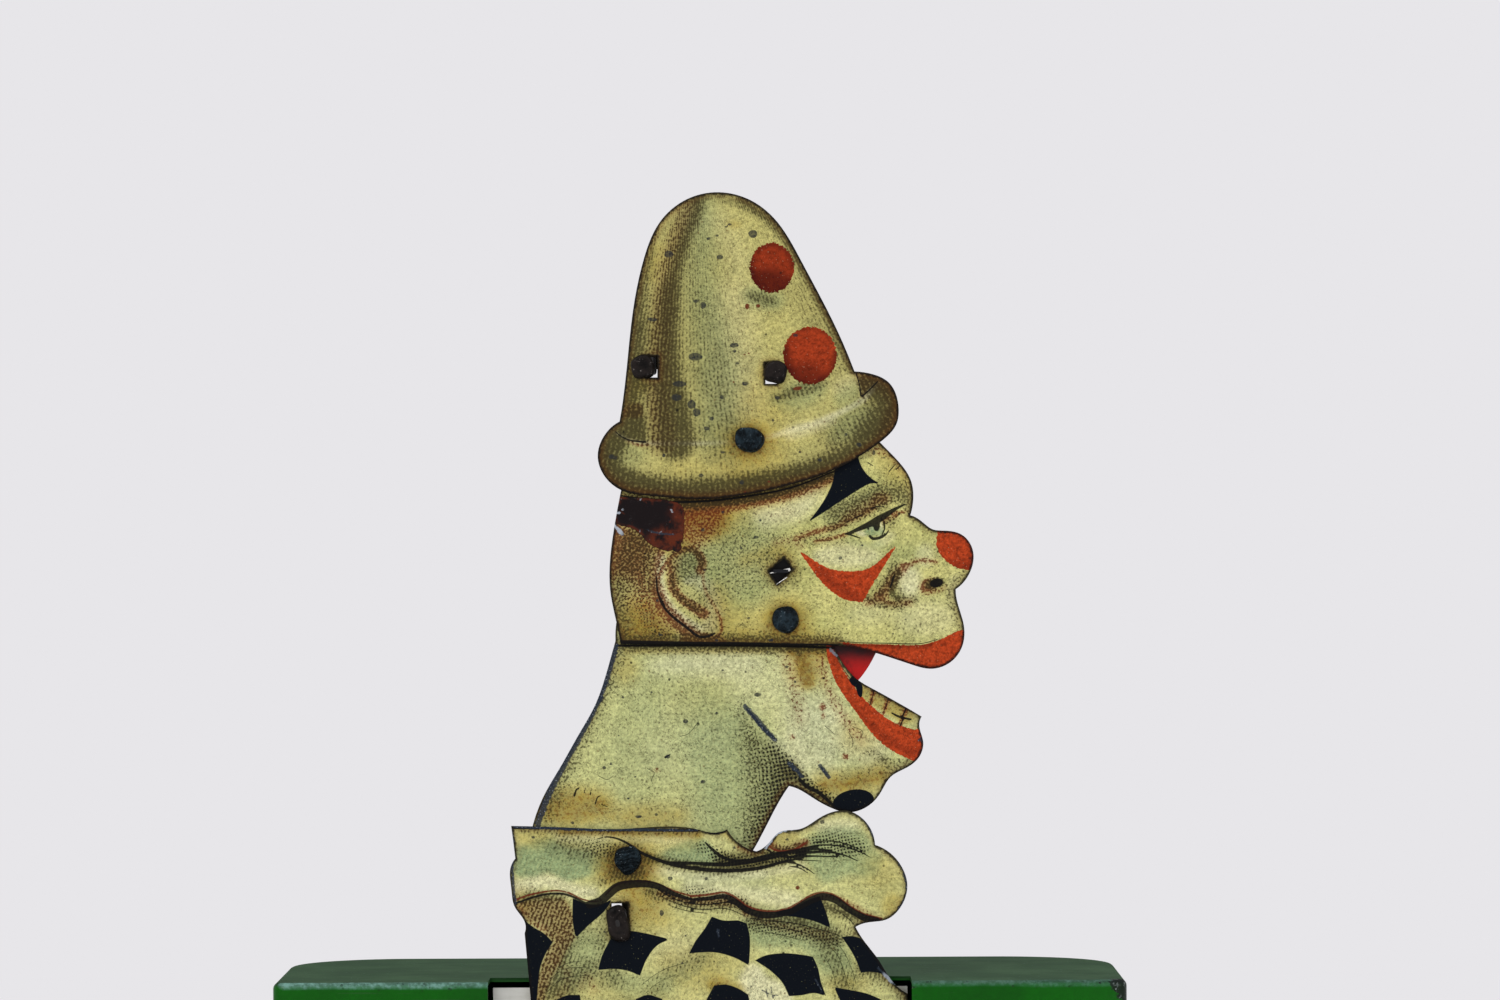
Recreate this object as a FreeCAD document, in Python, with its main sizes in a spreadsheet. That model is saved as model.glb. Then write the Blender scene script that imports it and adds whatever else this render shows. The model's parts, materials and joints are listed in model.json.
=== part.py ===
"""Tin clockwork clown: a flat jointed figure that nods, opens its mouth and tips its hat.

The figure is made of flat tin plates that stand one behind the other and turn about rivets.
A spring barrel inside the case drives a small crank, whose rod rocks the neck plate.
X runs across the case, Y from front to back and Z upwards; the origin is the middle of the underside.
"""
import FreeCAD, Part
import math
import os
from types import SimpleNamespace

import Sketcher
from FreeCAD import Placement, Rotation, Vector
from fcgear.fcgear import FCWireBuilder
from fcgear.involute import CreateExternalGear

# Driving dimensions, in millimetres and degrees
SIZES = (
    # Case
    ("case_width", 106.4),
    ("case_depth", 45.0),
    ("case_height", 53.0),
    ("case_gauge", 0.5),
    ("case_rear_radius", 15.0),
    ("case_front_radius", 1.5),
    ("case_top_bend", 0.8),
    ("notch_width", 52.8),
    ("notch_depth", 8.0),
    ("notch_drop", 18.0),
    ("base_gauge", 0.5),
    ("base_flange", 5.0),
    ("base_fit", 0.05),
    ("case_screw_shank", 0.9),
    ("case_screw_head", 1.8),
    ("case_screw_rise", 2.9),
    ("case_screw_front", 14.0),
    ("case_screw_rear", 1.0),
    ("screw_play", 0.1),
    # Flat figure
    ("tin_gauge", 0.4),
    ("plate_gap", 0.3),
    ("figure_setback", 3.5),
    ("torso_width", 49.6),
    ("torso_foot_height", 20.0),
    ("jaw_height", 38.5),
    ("head_height", 33.7),
    ("hat_height", 38.3),
    ("neck_pivot_x", -8.9),
    ("neck_pivot_rise", 15.1),
    ("head_pivot_over", 19.8),
    ("head_pivot_rise", 29.8),
    ("hat_pivot_over", -4.4),
    ("hat_pivot_share", 0.6677),
    ("rivet_shank", 1.2),
    ("rivet_head", 1.65),
    ("rivet_dome", 0.8),
    ("rivet_tail", 1.7),
    ("pivot_play", 0.05),
    ("collar_slot_over", -1.1),
    ("collar_slot_drop", 7.7),
    ("collar_slot_width", 2.0),
    ("collar_slot_height", 4.3),
    ("cheek_slot_over", -0.6),
    ("cheek_slot_rise", 6.1),
    ("cheek_slot_width", 2.9),
    ("hat_slot_width", 1.4),
    ("hat_slot_height", 2.6),
    ("left_hat_slot_over", -12.2),
    ("left_hat_slot_rise", 9.15),
    ("right_hat_slot_over", 2.7),
    ("right_hat_slot_rise", 8.3),
    ("hat_fold_width", 2.6),
    ("hat_fold_height", 2.4),
    ("hat_fold_lift", 0.25),
    ("collar_fold_width", 2.2),
    ("collar_fold_height", 3.6),
    ("fold_corner", 0.95),
    # Links between the plates
    ("link_width", 3.4),
    ("link_waist_share", 0.65),
    ("link_pin", 0.8),
    ("link_pin_head", 1.5),
    ("link_play", 0.25),
    ("pin_head_height", 0.2),
    ("torso_pin_over", 8.25),
    ("torso_pin_drop", 7.1),
    ("mouth_pin_over", -6.25),
    ("mouth_pin_rise", 2.5),
    ("neck_pin_over", -4.1),
    ("neck_pin_drop", 2.5),
    ("hat_pin_over", 8.6),
    ("hat_pin_rise", 6.9),
    ("rod_pin_over", 6.9),
    ("rod_pin_drop", 34.1),
    ("tail_width", 5.0),
    ("bracket_gauge", 0.7),
    ("bracket_width", 12.0),
    ("bracket_foot", 12.0),
    ("bracket_head_margin", 2.6),
    ("standoff_radius", 2.0),
    ("standoff_bore", 1.15),
    ("standoff_height", 24.0),
    ("left_standoff_x", -15.0),
    ("right_standoff_x", 23.0),
    ("torso_screw_shank", 1.05),
    ("torso_screw_head", 2.0),
    # Movement frame
    ("movement_setback", 7.3),
    ("movement_plate", 0.8),
    ("movement_space", 24.1),
    ("movement_left", -46.0),
    ("movement_right", 40.0),
    ("front_plate_shoulder", 33.0),
    ("front_plate_neck", 26.0),
    ("front_plate_top_gap", 0.7),
    ("rear_plate_top", 44.0),
    ("foot_length", 8.0),
    ("foot_width", 10.0),
    ("left_foot_x", -35.0),
    ("right_foot_x", 30.0),
    ("base_rivet_shank", 1.0),
    ("base_rivet_head", 1.8),
    ("pillar_radius", 2.5),
    ("pillar_stud", 1.5),
    ("nut_width", 5.0),
    ("nut_height", 1.6),
    ("left_pillar_x", -43.0),
    ("right_pillar_x", 36.5),
    ("low_pillar_z", 6.5),
    ("high_pillar_z", 30.5),
    # Spring barrel and winding work
    ("barrel_x", -22.0),
    ("barrel_z", 25.0),
    ("arbor_pivot", 1.5),
    ("arbor_body", 2.2),
    ("arbor_rear_pivot", 1.8),
    ("running_fit", 0.04),
    ("barrel_radius", 15.0),
    ("barrel_wall", 0.5),
    ("barrel_length", 13.0),
    ("barrel_gap", 8.2),
    ("spring_gauge", 0.35),
    ("spring_inner_radius", 3.4),
    ("spring_turns", 8.0),
    ("spring_side_gap", 0.6),
    ("ratchet_tip", 7.0),
    ("ratchet_root", 6.0),
    ("ratchet_teeth", 24),
    ("ratchet_gap", 0.4),
    ("ratchet_thickness", 1.2),
    ("click_pivot_over", 9.0),
    ("click_pivot_rise", 7.6),
    ("click_boss", 2.0),
    ("click_pin", 1.0),
    ("click_clearance", 0.12),
    ("arbor_square", 2.6),
    ("arbor_reach", 11.0),
    ("key_gap", 1.2),
    ("key_hub", 3.4),
    ("key_hub_length", 9.0),
    ("key_bow_reach", 12.5),
    ("key_bow_radius", 5.6),
    ("key_bow_gauge", 1.6),
    ("key_bow_length", 12.0),
    ("key_pin_radius", 0.6),
    ("escutcheon_radius", 5.2),
    ("escutcheon_height", 0.8),
    ("keyhole_radius", 3.0),
    # Wheel train
    ("great_wheel_teeth", 48),
    ("great_module", 0.75),
    ("centre_wheel_teeth", 40),
    ("centre_module", 0.6),
    ("crank_wheel_teeth", 36),
    ("crank_module", 0.5),
    ("pinion_leaves", 10),
    ("pinion_shift", 0.3),
    ("pressure_angle", 20.0),
    ("addendum_share", 1.0),
    ("dedendum_share", 1.25),
    ("root_fillet_share", 0.2),
    ("mesh_backlash", 0.1),
    ("wheel_gauge", 0.9),
    ("great_wheel_gauge", 1.2),
    ("train_arbor", 1.0),
    ("train_pivot", 0.7),
    ("pivot_shake", 0.15),
    ("centre_angle", -20.0),
    ("crank_angle", 36.0),
    ("fly_angle", 20.0),
    ("crank_wheel_gap", 1.4),
    ("centre_wheel_gap", 4.0),
    ("crank_radius", 2.9),
    ("crank_disc_radius", 5.0),
    ("crank_disc_gauge", 0.7),
    ("crank_disc_gap", 0.3),
    ("crank_pin_radius", 0.8),
    ("crank_pin_gap", 0.2),
    ("rod_width", 3.2),
    ("fly_reach", 8.5),
    ("fly_length", 9.0),
    ("fly_gauge", 0.4),
    ("fly_hub", 1.8),
    ("fly_gap", 8.0),
    ("brake_disc_radius", 5.0),
    ("brake_disc_gauge", 0.8),
    ("brake_disc_gap", 1.2),
    ("stop_pivot_x", 34.0),
    ("stop_pivot_z", 20.0),
    ("stop_boss", 2.6),
    ("stop_arm_width", 3.0),
    ("stop_reach", 5.8),
    ("stop_brake_gap", 1.2),
    ("stop_screw_shank", 1.2),
    ("stop_screw_head", 2.2),
    ("stop_slot_height", 8.0),
    ("stop_slot_play", 0.6),
)


class Size:
    """A length that keeps its value together with the rule that it is worked out by."""

    def __init__(self, value, rule):
        self.value = float(value)
        self.rule = rule

    def __float__(self):
        return self.value

    def __neg__(self):
        return Size(-self.value, f"(-{self.rule})")

    def __add__(self, other):
        other = as_size(other)
        return Size(self.value + other.value, f"({self.rule} + {other.rule})")

    def __sub__(self, other):
        other = as_size(other)
        return Size(self.value - other.value, f"({self.rule} - {other.rule})")

    def __mul__(self, other):
        other = as_size(other)
        return Size(self.value * other.value, f"({self.rule} * {other.rule})")

    def __truediv__(self, other):
        other = as_size(other)
        return Size(self.value / other.value, f"({self.rule} / {other.rule})")

    def __radd__(self, other):
        return as_size(other) + self

    def __rsub__(self, other):
        return as_size(other) - self

    def __rmul__(self, other):
        return as_size(other) * self


def as_size(number):
    """A plain number as a Size; a Size stays as it is."""
    if isinstance(number, Size):
        return number
    return Size(number, f"({number})")


def cosine(angle):
    """Cosine of an angle in degrees."""
    return Size(math.cos(math.radians(float(angle))), f"cos({angle.rule})")


def sine(angle):
    """Sine of an angle in degrees."""
    return Size(math.sin(math.radians(float(angle))), f"sin({angle.rule})")


doc = FreeCAD.newDocument("tin_clown")
sheet = doc.addObject("Spreadsheet::Sheet", "sizes")
for row, (alias, value) in enumerate(SIZES, start=1):
    sheet.set(f"A{row}", alias)
    sheet.set(f"B{row}", str(value))
    sheet.setAlias(f"B{row}", alias)
doc.recompute()
s = SimpleNamespace(**{alias: Size(sheet.get(alias), f"sizes.{alias}") for alias, _ in SIZES})
zero = as_size(0.0)

# Shared places, each worked out from the sizes above
case_front = -s.case_depth / 2
case_rear = s.case_depth / 2
figure_front = case_front + s.figure_setback
layer_pitch = s.tin_gauge + s.plate_gap
neck_pivot = (s.neck_pivot_x, s.case_height + s.neck_pivot_rise)
head_pivot = (neck_pivot[0] + s.head_pivot_over, neck_pivot[1] + s.head_pivot_rise)
hat_pivot_rise = s.head_height * s.hat_pivot_share
hat_pivot = (head_pivot[0] + s.hat_pivot_over, head_pivot[1] + hat_pivot_rise)
torso_pin = (neck_pivot[0] + s.torso_pin_over, neck_pivot[1] - s.torso_pin_drop)
mouth_pin = (head_pivot[0] + s.mouth_pin_over, head_pivot[1] + s.mouth_pin_rise)
neck_pin = (head_pivot[0] + s.neck_pin_over, head_pivot[1] - s.neck_pin_drop)
hat_pin = (hat_pivot[0] + s.hat_pin_over, hat_pivot[1] + s.hat_pin_rise)
rod_pin = (neck_pivot[0] + s.rod_pin_over, neck_pivot[1] - s.rod_pin_drop)
front_plate_front = case_front + s.movement_setback
front_plate_rear = front_plate_front + s.movement_plate
rear_plate_front = front_plate_rear + s.movement_space
rear_plate_rear = rear_plate_front + s.movement_plate
barrel = (s.barrel_x, s.barrel_z)


def mesh_distance(teeth, module):
    """Centre distance of a wheel and its pinion, with the running backlash."""
    return (teeth + s.pinion_leaves) * module / 2 + s.mesh_backlash


def next_arbor(arbor, distance, angle):
    """Place of an arbor at a distance and a direction from another one."""
    return (arbor[0] + distance * cosine(angle), arbor[1] + distance * sine(angle))


centre = next_arbor(barrel, mesh_distance(s.great_wheel_teeth, s.great_module), s.centre_angle)
crank = next_arbor(centre, mesh_distance(s.centre_wheel_teeth, s.centre_module), s.crank_angle)
fly = next_arbor(crank, mesh_distance(s.crank_wheel_teeth, s.crank_module), s.fly_angle)

pieces = []


def finished(obj, label):
    """Name an object after its sub-part and count it among the pieces."""
    obj.Label = label
    pieces.append(obj)
    return obj


def bind(obj, prop, length):
    """Tie a property of an object to the rule of a length."""
    obj.setExpression(prop, as_size(length).rule)


def put(obj, x=zero, y=zero, z=zero):
    """Tie the place of an object to three lengths."""
    bind(obj, "Placement.Base.x", x)
    bind(obj, "Placement.Base.y", y)
    bind(obj, "Placement.Base.z", z)
    return obj


def layer_rear(layer):
    """Rear face of a layer of figure plates: 0 holds the torso and head, 1 the neck."""
    return figure_front + s.tin_gauge + layer_pitch * layer


def new_sketch(body, plane, name, offset=zero):
    """Sketch on one of the body's own origin planes, moved along that plane's normal."""
    sketch = body.newObject("Sketcher::SketchObject", name)
    support = [item for item in body.Origin.OriginFeatures if item.Role == plane][0]
    sketch.AttachmentSupport = [(support, "")]
    sketch.MapMode = "FlatFace"
    bind(sketch, "AttachmentOffset.Base.z", offset)
    return sketch


def tie_point(sketch, index, position, x, y):
    """Tie one point of a sketch to its distances from the sketch's origin."""
    for kind, axis, length in (("DistanceX", -2, x), ("DistanceY", -1, y)):
        if float(length) == 0.0:
            sketch.addConstraint(Sketcher.Constraint("PointOnObject", index, position, axis))
            continue
        made = Sketcher.Constraint(kind, -1, 1, index, position, float(length))
        number = sketch.addConstraint(made)
        bind(sketch, f"Constraints[{number}]", length)


def draw_polygon(sketch, corners):
    """Closed polygon whose corners are tied to lengths."""
    corners = [(as_size(x), as_size(y)) for x, y in corners]
    points = [Vector(float(x), float(y), 0) for x, y in corners]
    first = sketch.GeometryCount
    count = len(points)
    lines = [Part.LineSegment(points[i], points[(i + 1) % count]) for i in range(count)]
    sketch.addGeometry(lines, False)
    for i in range(count):
        after = first + (i + 1) % count
        sketch.addConstraint(Sketcher.Constraint("Coincident", first + i, 2, after, 1))
        tie_point(sketch, first + i, 1, *corners[i])


def draw_rectangle(sketch, low_x, high_x, low_y, high_y):
    """Rectangle between two pairs of lengths."""
    draw_polygon(sketch, [(low_x, low_y), (high_x, low_y), (high_x, high_y), (low_x, high_y)])


def draw_circle(sketch, x, y, radius):
    """Circle whose centre and radius are tied to lengths."""
    x, y, radius = as_size(x), as_size(y), as_size(radius)
    centre_point = Vector(float(x), float(y), 0)
    index = sketch.addGeometry(Part.Circle(centre_point, Vector(0, 0, 1), float(radius)), False)
    number = sketch.addConstraint(Sketcher.Constraint("Radius", index, float(radius)))
    bind(sketch, f"Constraints[{number}]", radius)
    tie_point(sketch, index, 3, x, y)


def draw_rounded_box(sketch, half_width, front, rear, front_radius, rear_radius):
    """Plan of the case: straight sides with small front corners and large rear corners."""
    w, f, r = float(half_width), float(front), float(rear)
    fr, rr = float(front_radius), float(rear_radius)
    flats = (
        (Vector(-w + fr, f, 0), Vector(w - fr, f, 0)),
        (Vector(w, f + fr, 0), Vector(w, r - rr, 0)),
        (Vector(w - rr, r, 0), Vector(-w + rr, r, 0)),
        (Vector(-w, r - rr, 0), Vector(-w, f + fr, 0)),
    )
    bends = (
        (Vector(w - fr, f + fr, 0), fr, -90),
        (Vector(w - rr, r - rr, 0), rr, 0),
        (Vector(-w + rr, r - rr, 0), rr, 90),
        (Vector(-w + fr, f + fr, 0), fr, 180),
    )
    normal = Vector(0, 0, 1)
    shapes = []
    for (start, end), (middle, radius, turn) in zip(flats, bends):
        shapes.append(Part.LineSegment(start, end))
        circle = Part.Circle(middle, normal, radius)
        shapes.append(Part.ArcOfCircle(circle, math.radians(turn), math.radians(turn + 90)))
    sketch.addGeometry(shapes, False)
    for i in range(8):
        sketch.addConstraint(Sketcher.Constraint("Tangent", i, 2, (i + 1) % 8, 1))
    for i in (0, 4):
        sketch.addConstraint(Sketcher.Constraint("Horizontal", i))
    for i in (2, 6):
        sketch.addConstraint(Sketcher.Constraint("Vertical", i))
    limits = (
        ("DistanceX", -1, 1, 2, 1, half_width),
        ("DistanceX", 6, 1, -1, 1, half_width),
        ("DistanceY", -1, 1, 0, 1, front),
        ("DistanceY", -1, 1, 4, 1, rear),
        ("Radius", 1, front_radius),
        ("Radius", 3, rear_radius),
        ("Radius", 5, rear_radius),
        ("Radius", 7, front_radius),
    )
    for *place, length in limits:
        number = sketch.addConstraint(Sketcher.Constraint(*place, float(length)))
        bind(sketch, f"Constraints[{number}]", length)


def pad(body, sketch, length, reverse=False, both_ways=False):
    """Pad a sketch by a length."""
    feature = body.newObject("PartDesign::Pad", "pad")
    feature.Profile = sketch
    feature.Reversed = reverse
    feature.Midplane = both_ways
    bind(feature, "Length", length)
    return feature


def pocket(body, sketch, length, reverse=False, both_ways=False):
    """Cut a sketch into the body by a length, and make sure that it removed material."""
    doc.recompute()
    before = body.Shape.Volume
    feature = body.newObject("PartDesign::Pocket", "pocket")
    feature.Profile = sketch
    feature.Reversed = reverse
    feature.Midplane = both_ways
    bind(feature, "Length", length)
    doc.recompute()
    if body.Shape.Volume >= before:
        raise ValueError(f"{sketch.Label} of {body.Label} cuts nothing")
    return feature


def new_body(label):
    """PartDesign body of one sub-part."""
    return finished(doc.addObject("PartDesign::Body", label), label)


def turned(label, profile, x, y, z, count_piece=True):
    """Turned piece about an axis along Y, from (radius, distance along the axis) corners."""
    body = doc.addObject("PartDesign::Body", label)
    sketch = new_sketch(body, "XY_Plane", f"{label}_profile")
    draw_polygon(sketch, profile)
    feature = body.newObject("PartDesign::Revolution", "turn")
    feature.Profile = sketch
    feature.ReferenceAxis = (sketch, ["V_Axis"])
    feature.Angle = 360
    put(body, x, y, z)
    if count_piece:
        finished(body, label)
    return body


def bar(name, radius, length, x, y, z):
    """Round bar along Y that starts at y."""
    item = doc.addObject("Part::Cylinder", name)
    item.Placement = Placement(Vector(), Rotation(Vector(1, 0, 0), -90))
    bind(item, "Radius", radius)
    bind(item, "Height", length)
    return put(item, x, y, z)


def block(name, x, y, z):
    """Box between three pairs of lengths."""
    item = doc.addObject("Part::Box", name)
    for prop, (low, high) in zip(("Length", "Width", "Height"), (x, y, z)):
        bind(item, prop, as_size(high) - low)
    return put(item, as_size(x[0]), as_size(y[0]), as_size(z[0]))


def joined(name, items):
    """Several overlapping or touching shapes as one solid."""
    item = doc.addObject("Part::MultiFuse", name)
    item.Shapes = items
    item.Refine = True
    return item


def grouped(label, items):
    """Identical separate solids kept in one sub-part."""
    item = doc.addObject("Part::Compound", label)
    item.Links = items
    return finished(item, label)


def folded_end(name, x, y, z):
    """Folded end of a tab: a flat pad with round corners, over its three ranges."""
    corner = s.fold_corner
    inner_x, inner_z = (x[0] + corner, x[1] - corner), (z[0] + corner, z[1] - corner)
    parts = [block(f"{name}_upright", inner_x, y, z), block(f"{name}_across", x, y, inner_z)]
    for corner_x in inner_x:
        for corner_z in inner_z:
            parts.append(bar(f"{name}_corner", corner, y[1] - y[0], corner_x, y[0], corner_z))
    return joined(name, parts)


def less(name, base, tool):
    """A shape with another one cut away."""
    item = doc.addObject("Part::Cut", name)
    item.Base = base
    item.Tool = tool
    return item


def domed_rivet(label, pivot, front, rear_face, radius_tail):
    """Rivet along Y with a low domed head in front and a flat spread tail behind.

    The dome is a ring of flats: its corners lie on an arc from the rim to the top.
    """
    shank_end = rear_face - front
    rim = s.rivet_head
    rise = s.rivet_dome
    profile = [
        (zero, -rise),
        (rim * 0.35, -rise * 0.94),
        (rim * 0.7, -rise * 0.74),
        (rim * 0.93, -rise * 0.42),
        (rim, -rise * 0.12),
        (rim, zero),
        (s.rivet_shank, zero),
        (s.rivet_shank, shank_end),
        (radius_tail, shank_end),
        (radius_tail, shank_end + s.tin_gauge),
        (zero, shank_end + s.tin_gauge),
    ]
    return turned(label, profile, pivot[0], front, pivot[1])


# Outlines of the figure plates
# Each one is drawn on a fine square grid from its plate's pivot, x to the right and z upwards.
# A stretch is a smooth curve through its points, or a straight line where it has two.
HAT_OUTLINE = (
    ((105, 68), (92, 100), (51.5, 180), (26.5, 220), (2, 239.5), (-37, 247.5), (-63.5, 240),
     (-87.5, 220), (-105.5, 180), (-114.5, 140), (-124, 60), (-130, 19)),
    ((-130, 19), (-146, 4), (-152, -16), (-145, -36), (-128, -50), (-100, -55.5), (-50, -59),
     (20, -50), (80, -32), (130, -3), (147, 16), (149, 30), (139, 57), (120, 66), (105, 68)),
)
HEAD_OUTLINE = (
    ((95, 177), (115, 156), (126, 138), (128, 120), (125, 104)),
    ((125, 104), (138, 96.5), (147, 90), (160, 88.5), (177, 84), (187, 70), (184, 46), (170, 30)),
    ((170, 30), (173, 12), (178, -6), (176, -28), (163, -44), (145, -49.5), (125, -45),
     (95, -35), (50, -26)),
    ((50, -26), (-165, -23.5)),
    ((-165, -23.5), (-170, 2), (-175, 28), (-171.5, 90), (-164, 130), (-145, 180), (-115, 205),
     (-75, 218), (-35, 220), (15, 210), (55, 195), (95, 177)),
)
JAW_OUTLINE = (
    ((-12, 218), (-22, 183), (-33, 153), (-50, 123), (-67, 93), (-84.5, 63), (-96, 32), (-98, 20),
     (-95, 8), (-82, 0), (-67, -12), (-27, -27), (20, -30), (95, -20), (125, 8)),
    ((125, 8), (136, 28), (149, 53), (161, 72)),
    ((161, 72), (168, 70), (185, 60), (203, 50), (221, 45.5), (239, 51), (252, 64), (263, 81),
     (278, 89.5), (291, 100), (295.5, 116), (292, 129), (294, 141)),
    ((294, 141), (272, 154), (247, 168), (229, 179), (216, 194), (206, 212)),
    ((206, 212), (203, 233), (173, 256), (133, 266), (73, 278), (13, 272), (-12, 218)),
)
COLLAR_OUTLINE = (
    ((279, -136), (259, -117), (250, -102), (238.5, -87), (227, -69)),
    ((227, -69), (243, -64), (257, -62), (273, -48), (279, -26), (276, -14), (263, 4), (247, 13)),
    ((247, 13), (246, 20), (236, 38), (218, 47.5), (208, 47), (191, 40), (171, 29), (151, 26),
     (143, 18), (128, 7)),
    ((128, 7), (111, 15), (99, 29)),
    ((99, 29), (83, 26), (70, 29), (-7, 30), (-67, 32), (-117, 33.5)),
    ((-117, 33.5), (-115, 18), (-113, 1)),
    ((-113, 1), (-118, -9), (-117, -30), (-114, -47), (-105, -60), (-104, -74)),
    ((-104, -74), (-98, -142)),
)
MOUTH_OUTLINE = (
    ((-50, 35), (-66, 25), (-62, 7), (-40, 2), (-15, -8)),
    ((-15, -8), (5, -20), (30, -35), (60, -72)),
    ((60, -72), (75, -58), (90, -34), (95, -18), (83, 2), (50, 25), (20, 66)),
    ((20, 66), (-8, 66)),
    ((-8, 66), (-20, 45), (-50, 35)),
)


def extent(outline, axis):
    """Width (axis 0) or height (axis 1) of an outline on its own grid."""
    values = [point[axis] for stretch in outline for point in stretch]
    return max(values) - min(values)


def stretch_curve(points):
    """Straight line through two points, or one smooth curve through more."""
    if len(points) == 2:
        return Part.LineSegment(*points)
    curve = Part.BSplineCurve()
    curve.interpolate(points)
    return curve


def draw_outline(sketch, outline, grid):
    """Chain of smooth stretches, scaled from the outline's grid to millimetres."""
    for stretch in outline:
        points = [Vector(x * grid, z * grid, 0) for x, z in stretch]
        sketch.addGeometry(stretch_curve(points), False)


def tin_plate(label, outline, grid, layer, pivot, holes):
    """Flat tin plate of one layer, with its pivot at the body's origin and round holes."""
    body = new_body(label)
    sketch = new_sketch(body, "XZ_Plane", f"{label}_outline")
    draw_outline(sketch, outline, grid)
    for x, z, radius in holes:
        draw_circle(sketch, x, z, radius)
    pad(body, sketch, s.tin_gauge)
    put(body, pivot[0], layer_rear(layer), pivot[1])
    return body


def cut_slot(body, name, x, z, width, height):
    """Upright slot through a figure plate, centred on a place measured from its pivot."""
    sketch = new_sketch(body, "XZ_Plane", name)
    draw_rectangle(sketch, x - width / 2, x + width / 2, z - height / 2, z + height / 2)
    pocket(body, sketch, s.tin_gauge * 4, both_ways=True)


def build_case():
    """Painted case with its notch for the figure, keyhole, lever slot and screw holes."""
    body = new_body("case_shell")
    outer = new_sketch(body, "XY_Plane", "case_plan")
    half_width = s.case_width / 2
    draw_rounded_box(outer, half_width, case_front, case_rear, s.case_front_radius, s.case_rear_radius)
    solid = pad(body, outer, s.case_height)
    doc.recompute()
    top = float(s.case_height)
    rim = [
        f"Edge{number}"
        for number, edge in enumerate(solid.Shape.Edges, start=1)
        if all(abs(vertex.Z - top) < 1e-6 for vertex in edge.Vertexes)
    ]
    bend = body.newObject("PartDesign::Fillet", "top_bend")
    bend.Base = (solid, rim)
    bind(bend, "Radius", s.case_top_bend)
    inner = new_sketch(body, "XY_Plane", "case_inside")
    draw_rounded_box(
        inner,
        half_width - s.case_gauge,
        case_front + s.case_gauge,
        case_rear - s.case_gauge,
        s.case_front_radius - s.case_gauge,
        s.case_rear_radius - s.case_gauge,
    )
    pocket(body, inner, s.case_height - s.case_gauge, reverse=True)
    notch = new_sketch(body, "XZ_Plane", "figure_notch", -case_front - s.notch_depth)
    half_notch = s.notch_width / 2
    over_top = s.case_height + s.case_gauge
    draw_rectangle(notch, -half_notch, half_notch, s.case_height - s.notch_drop, over_top)
    pocket(body, notch, s.notch_depth + s.case_gauge, reverse=True)
    keyhole = new_sketch(body, "XZ_Plane", "keyhole")
    draw_circle(keyhole, *barrel, s.keyhole_radius)
    pocket(body, keyhole, s.case_depth)
    screws = new_sketch(body, "YZ_Plane", "case_screw_holes")
    for y in (-s.case_screw_front, -s.case_screw_rear):
        draw_circle(screws, y, s.case_screw_rise, s.case_screw_shank + s.screw_play)
    pocket(body, screws, s.case_width * 2, both_ways=True)
    slot = new_sketch(body, "YZ_Plane", "lever_slot")
    play, half_slot = s.stop_slot_play, s.stop_slot_height / 2
    low, high = s.stop_pivot_z - half_slot, s.stop_pivot_z + half_slot
    draw_rectangle(slot, stop_layer[0] - play, stop_layer[1] + play, low, high)
    pocket(body, slot, s.case_width, reverse=True)


def build_base():
    """Tray that closes the underside: a floor with an upturned flange inside the case walls."""
    body = new_body("base_plate")
    wall = s.case_gauge + s.base_fit
    outer = new_sketch(body, "XY_Plane", "base_plan")
    half_width = s.case_width / 2 - wall
    front, rear = case_front + wall, case_rear - wall
    front_radius, rear_radius = s.case_front_radius - wall, s.case_rear_radius - wall
    draw_rounded_box(outer, half_width, front, rear, front_radius, rear_radius)
    pad(body, outer, s.base_flange)
    gauge = s.base_gauge
    inner = new_sketch(body, "XY_Plane", "tray_inside", gauge)
    draw_rounded_box(
        inner, half_width - gauge, front + gauge, rear - gauge, front_radius - gauge, rear_radius - gauge
    )
    pocket(body, inner, s.base_flange, reverse=True)
    screws = new_sketch(body, "YZ_Plane", "flange_screw_holes")
    for y in (-s.case_screw_front, -s.case_screw_rear):
        draw_circle(screws, y, s.case_screw_rise, s.case_screw_shank)
    pocket(body, screws, s.case_width * 2, both_ways=True)
    rivets = new_sketch(body, "XY_Plane", "base_rivet_holes")
    for x, y in foot_rivets:
        draw_circle(rivets, x, y, s.base_rivet_shank + s.running_fit)
    pocket(body, rivets, s.base_gauge * 2, both_ways=True)


def build_case_screws():
    """Four round-headed screws, two through each side of the case into the flange."""
    head = s.case_screw_head
    screws = []
    for side in (-1, 1):
        for y in (-s.case_screw_front, -s.case_screw_rear):
            shank = doc.addObject("Part::Cylinder", "screw_shank")
            dome = doc.addObject("Part::Cone", "screw_head")
            for item in (shank, dome):
                item.Placement = Placement(Vector(), Rotation(Vector(0, 1, 0), 90 * side))
            bind(shank, "Radius", s.case_screw_shank)
            bind(shank, "Height", head * 1.5 + s.case_gauge)
            put(shank, (s.case_width / 2 - head * 1.5) * side, y, s.case_screw_rise)
            bind(dome, "Radius1", head)
            bind(dome, "Radius2", head * 0.6)
            bind(dome, "Height", head * 0.55)
            put(dome, s.case_width / 2 * side, y, s.case_screw_rise)
            screws.append(joined("case_screw", [shank, dome]))
    grouped("case_screws", screws)


def movement_holes(sketch, arbor_radius):
    """Pivot holes of the four arbors and the stud holes of the pillars in one movement plate."""
    draw_circle(sketch, *barrel, arbor_radius + s.running_fit)
    for arbor in (centre, fly):
        draw_circle(sketch, *arbor, s.train_pivot + s.running_fit)
    for x, z in pillar_places:
        draw_circle(sketch, x, z, s.pillar_stud + s.running_fit)


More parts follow.
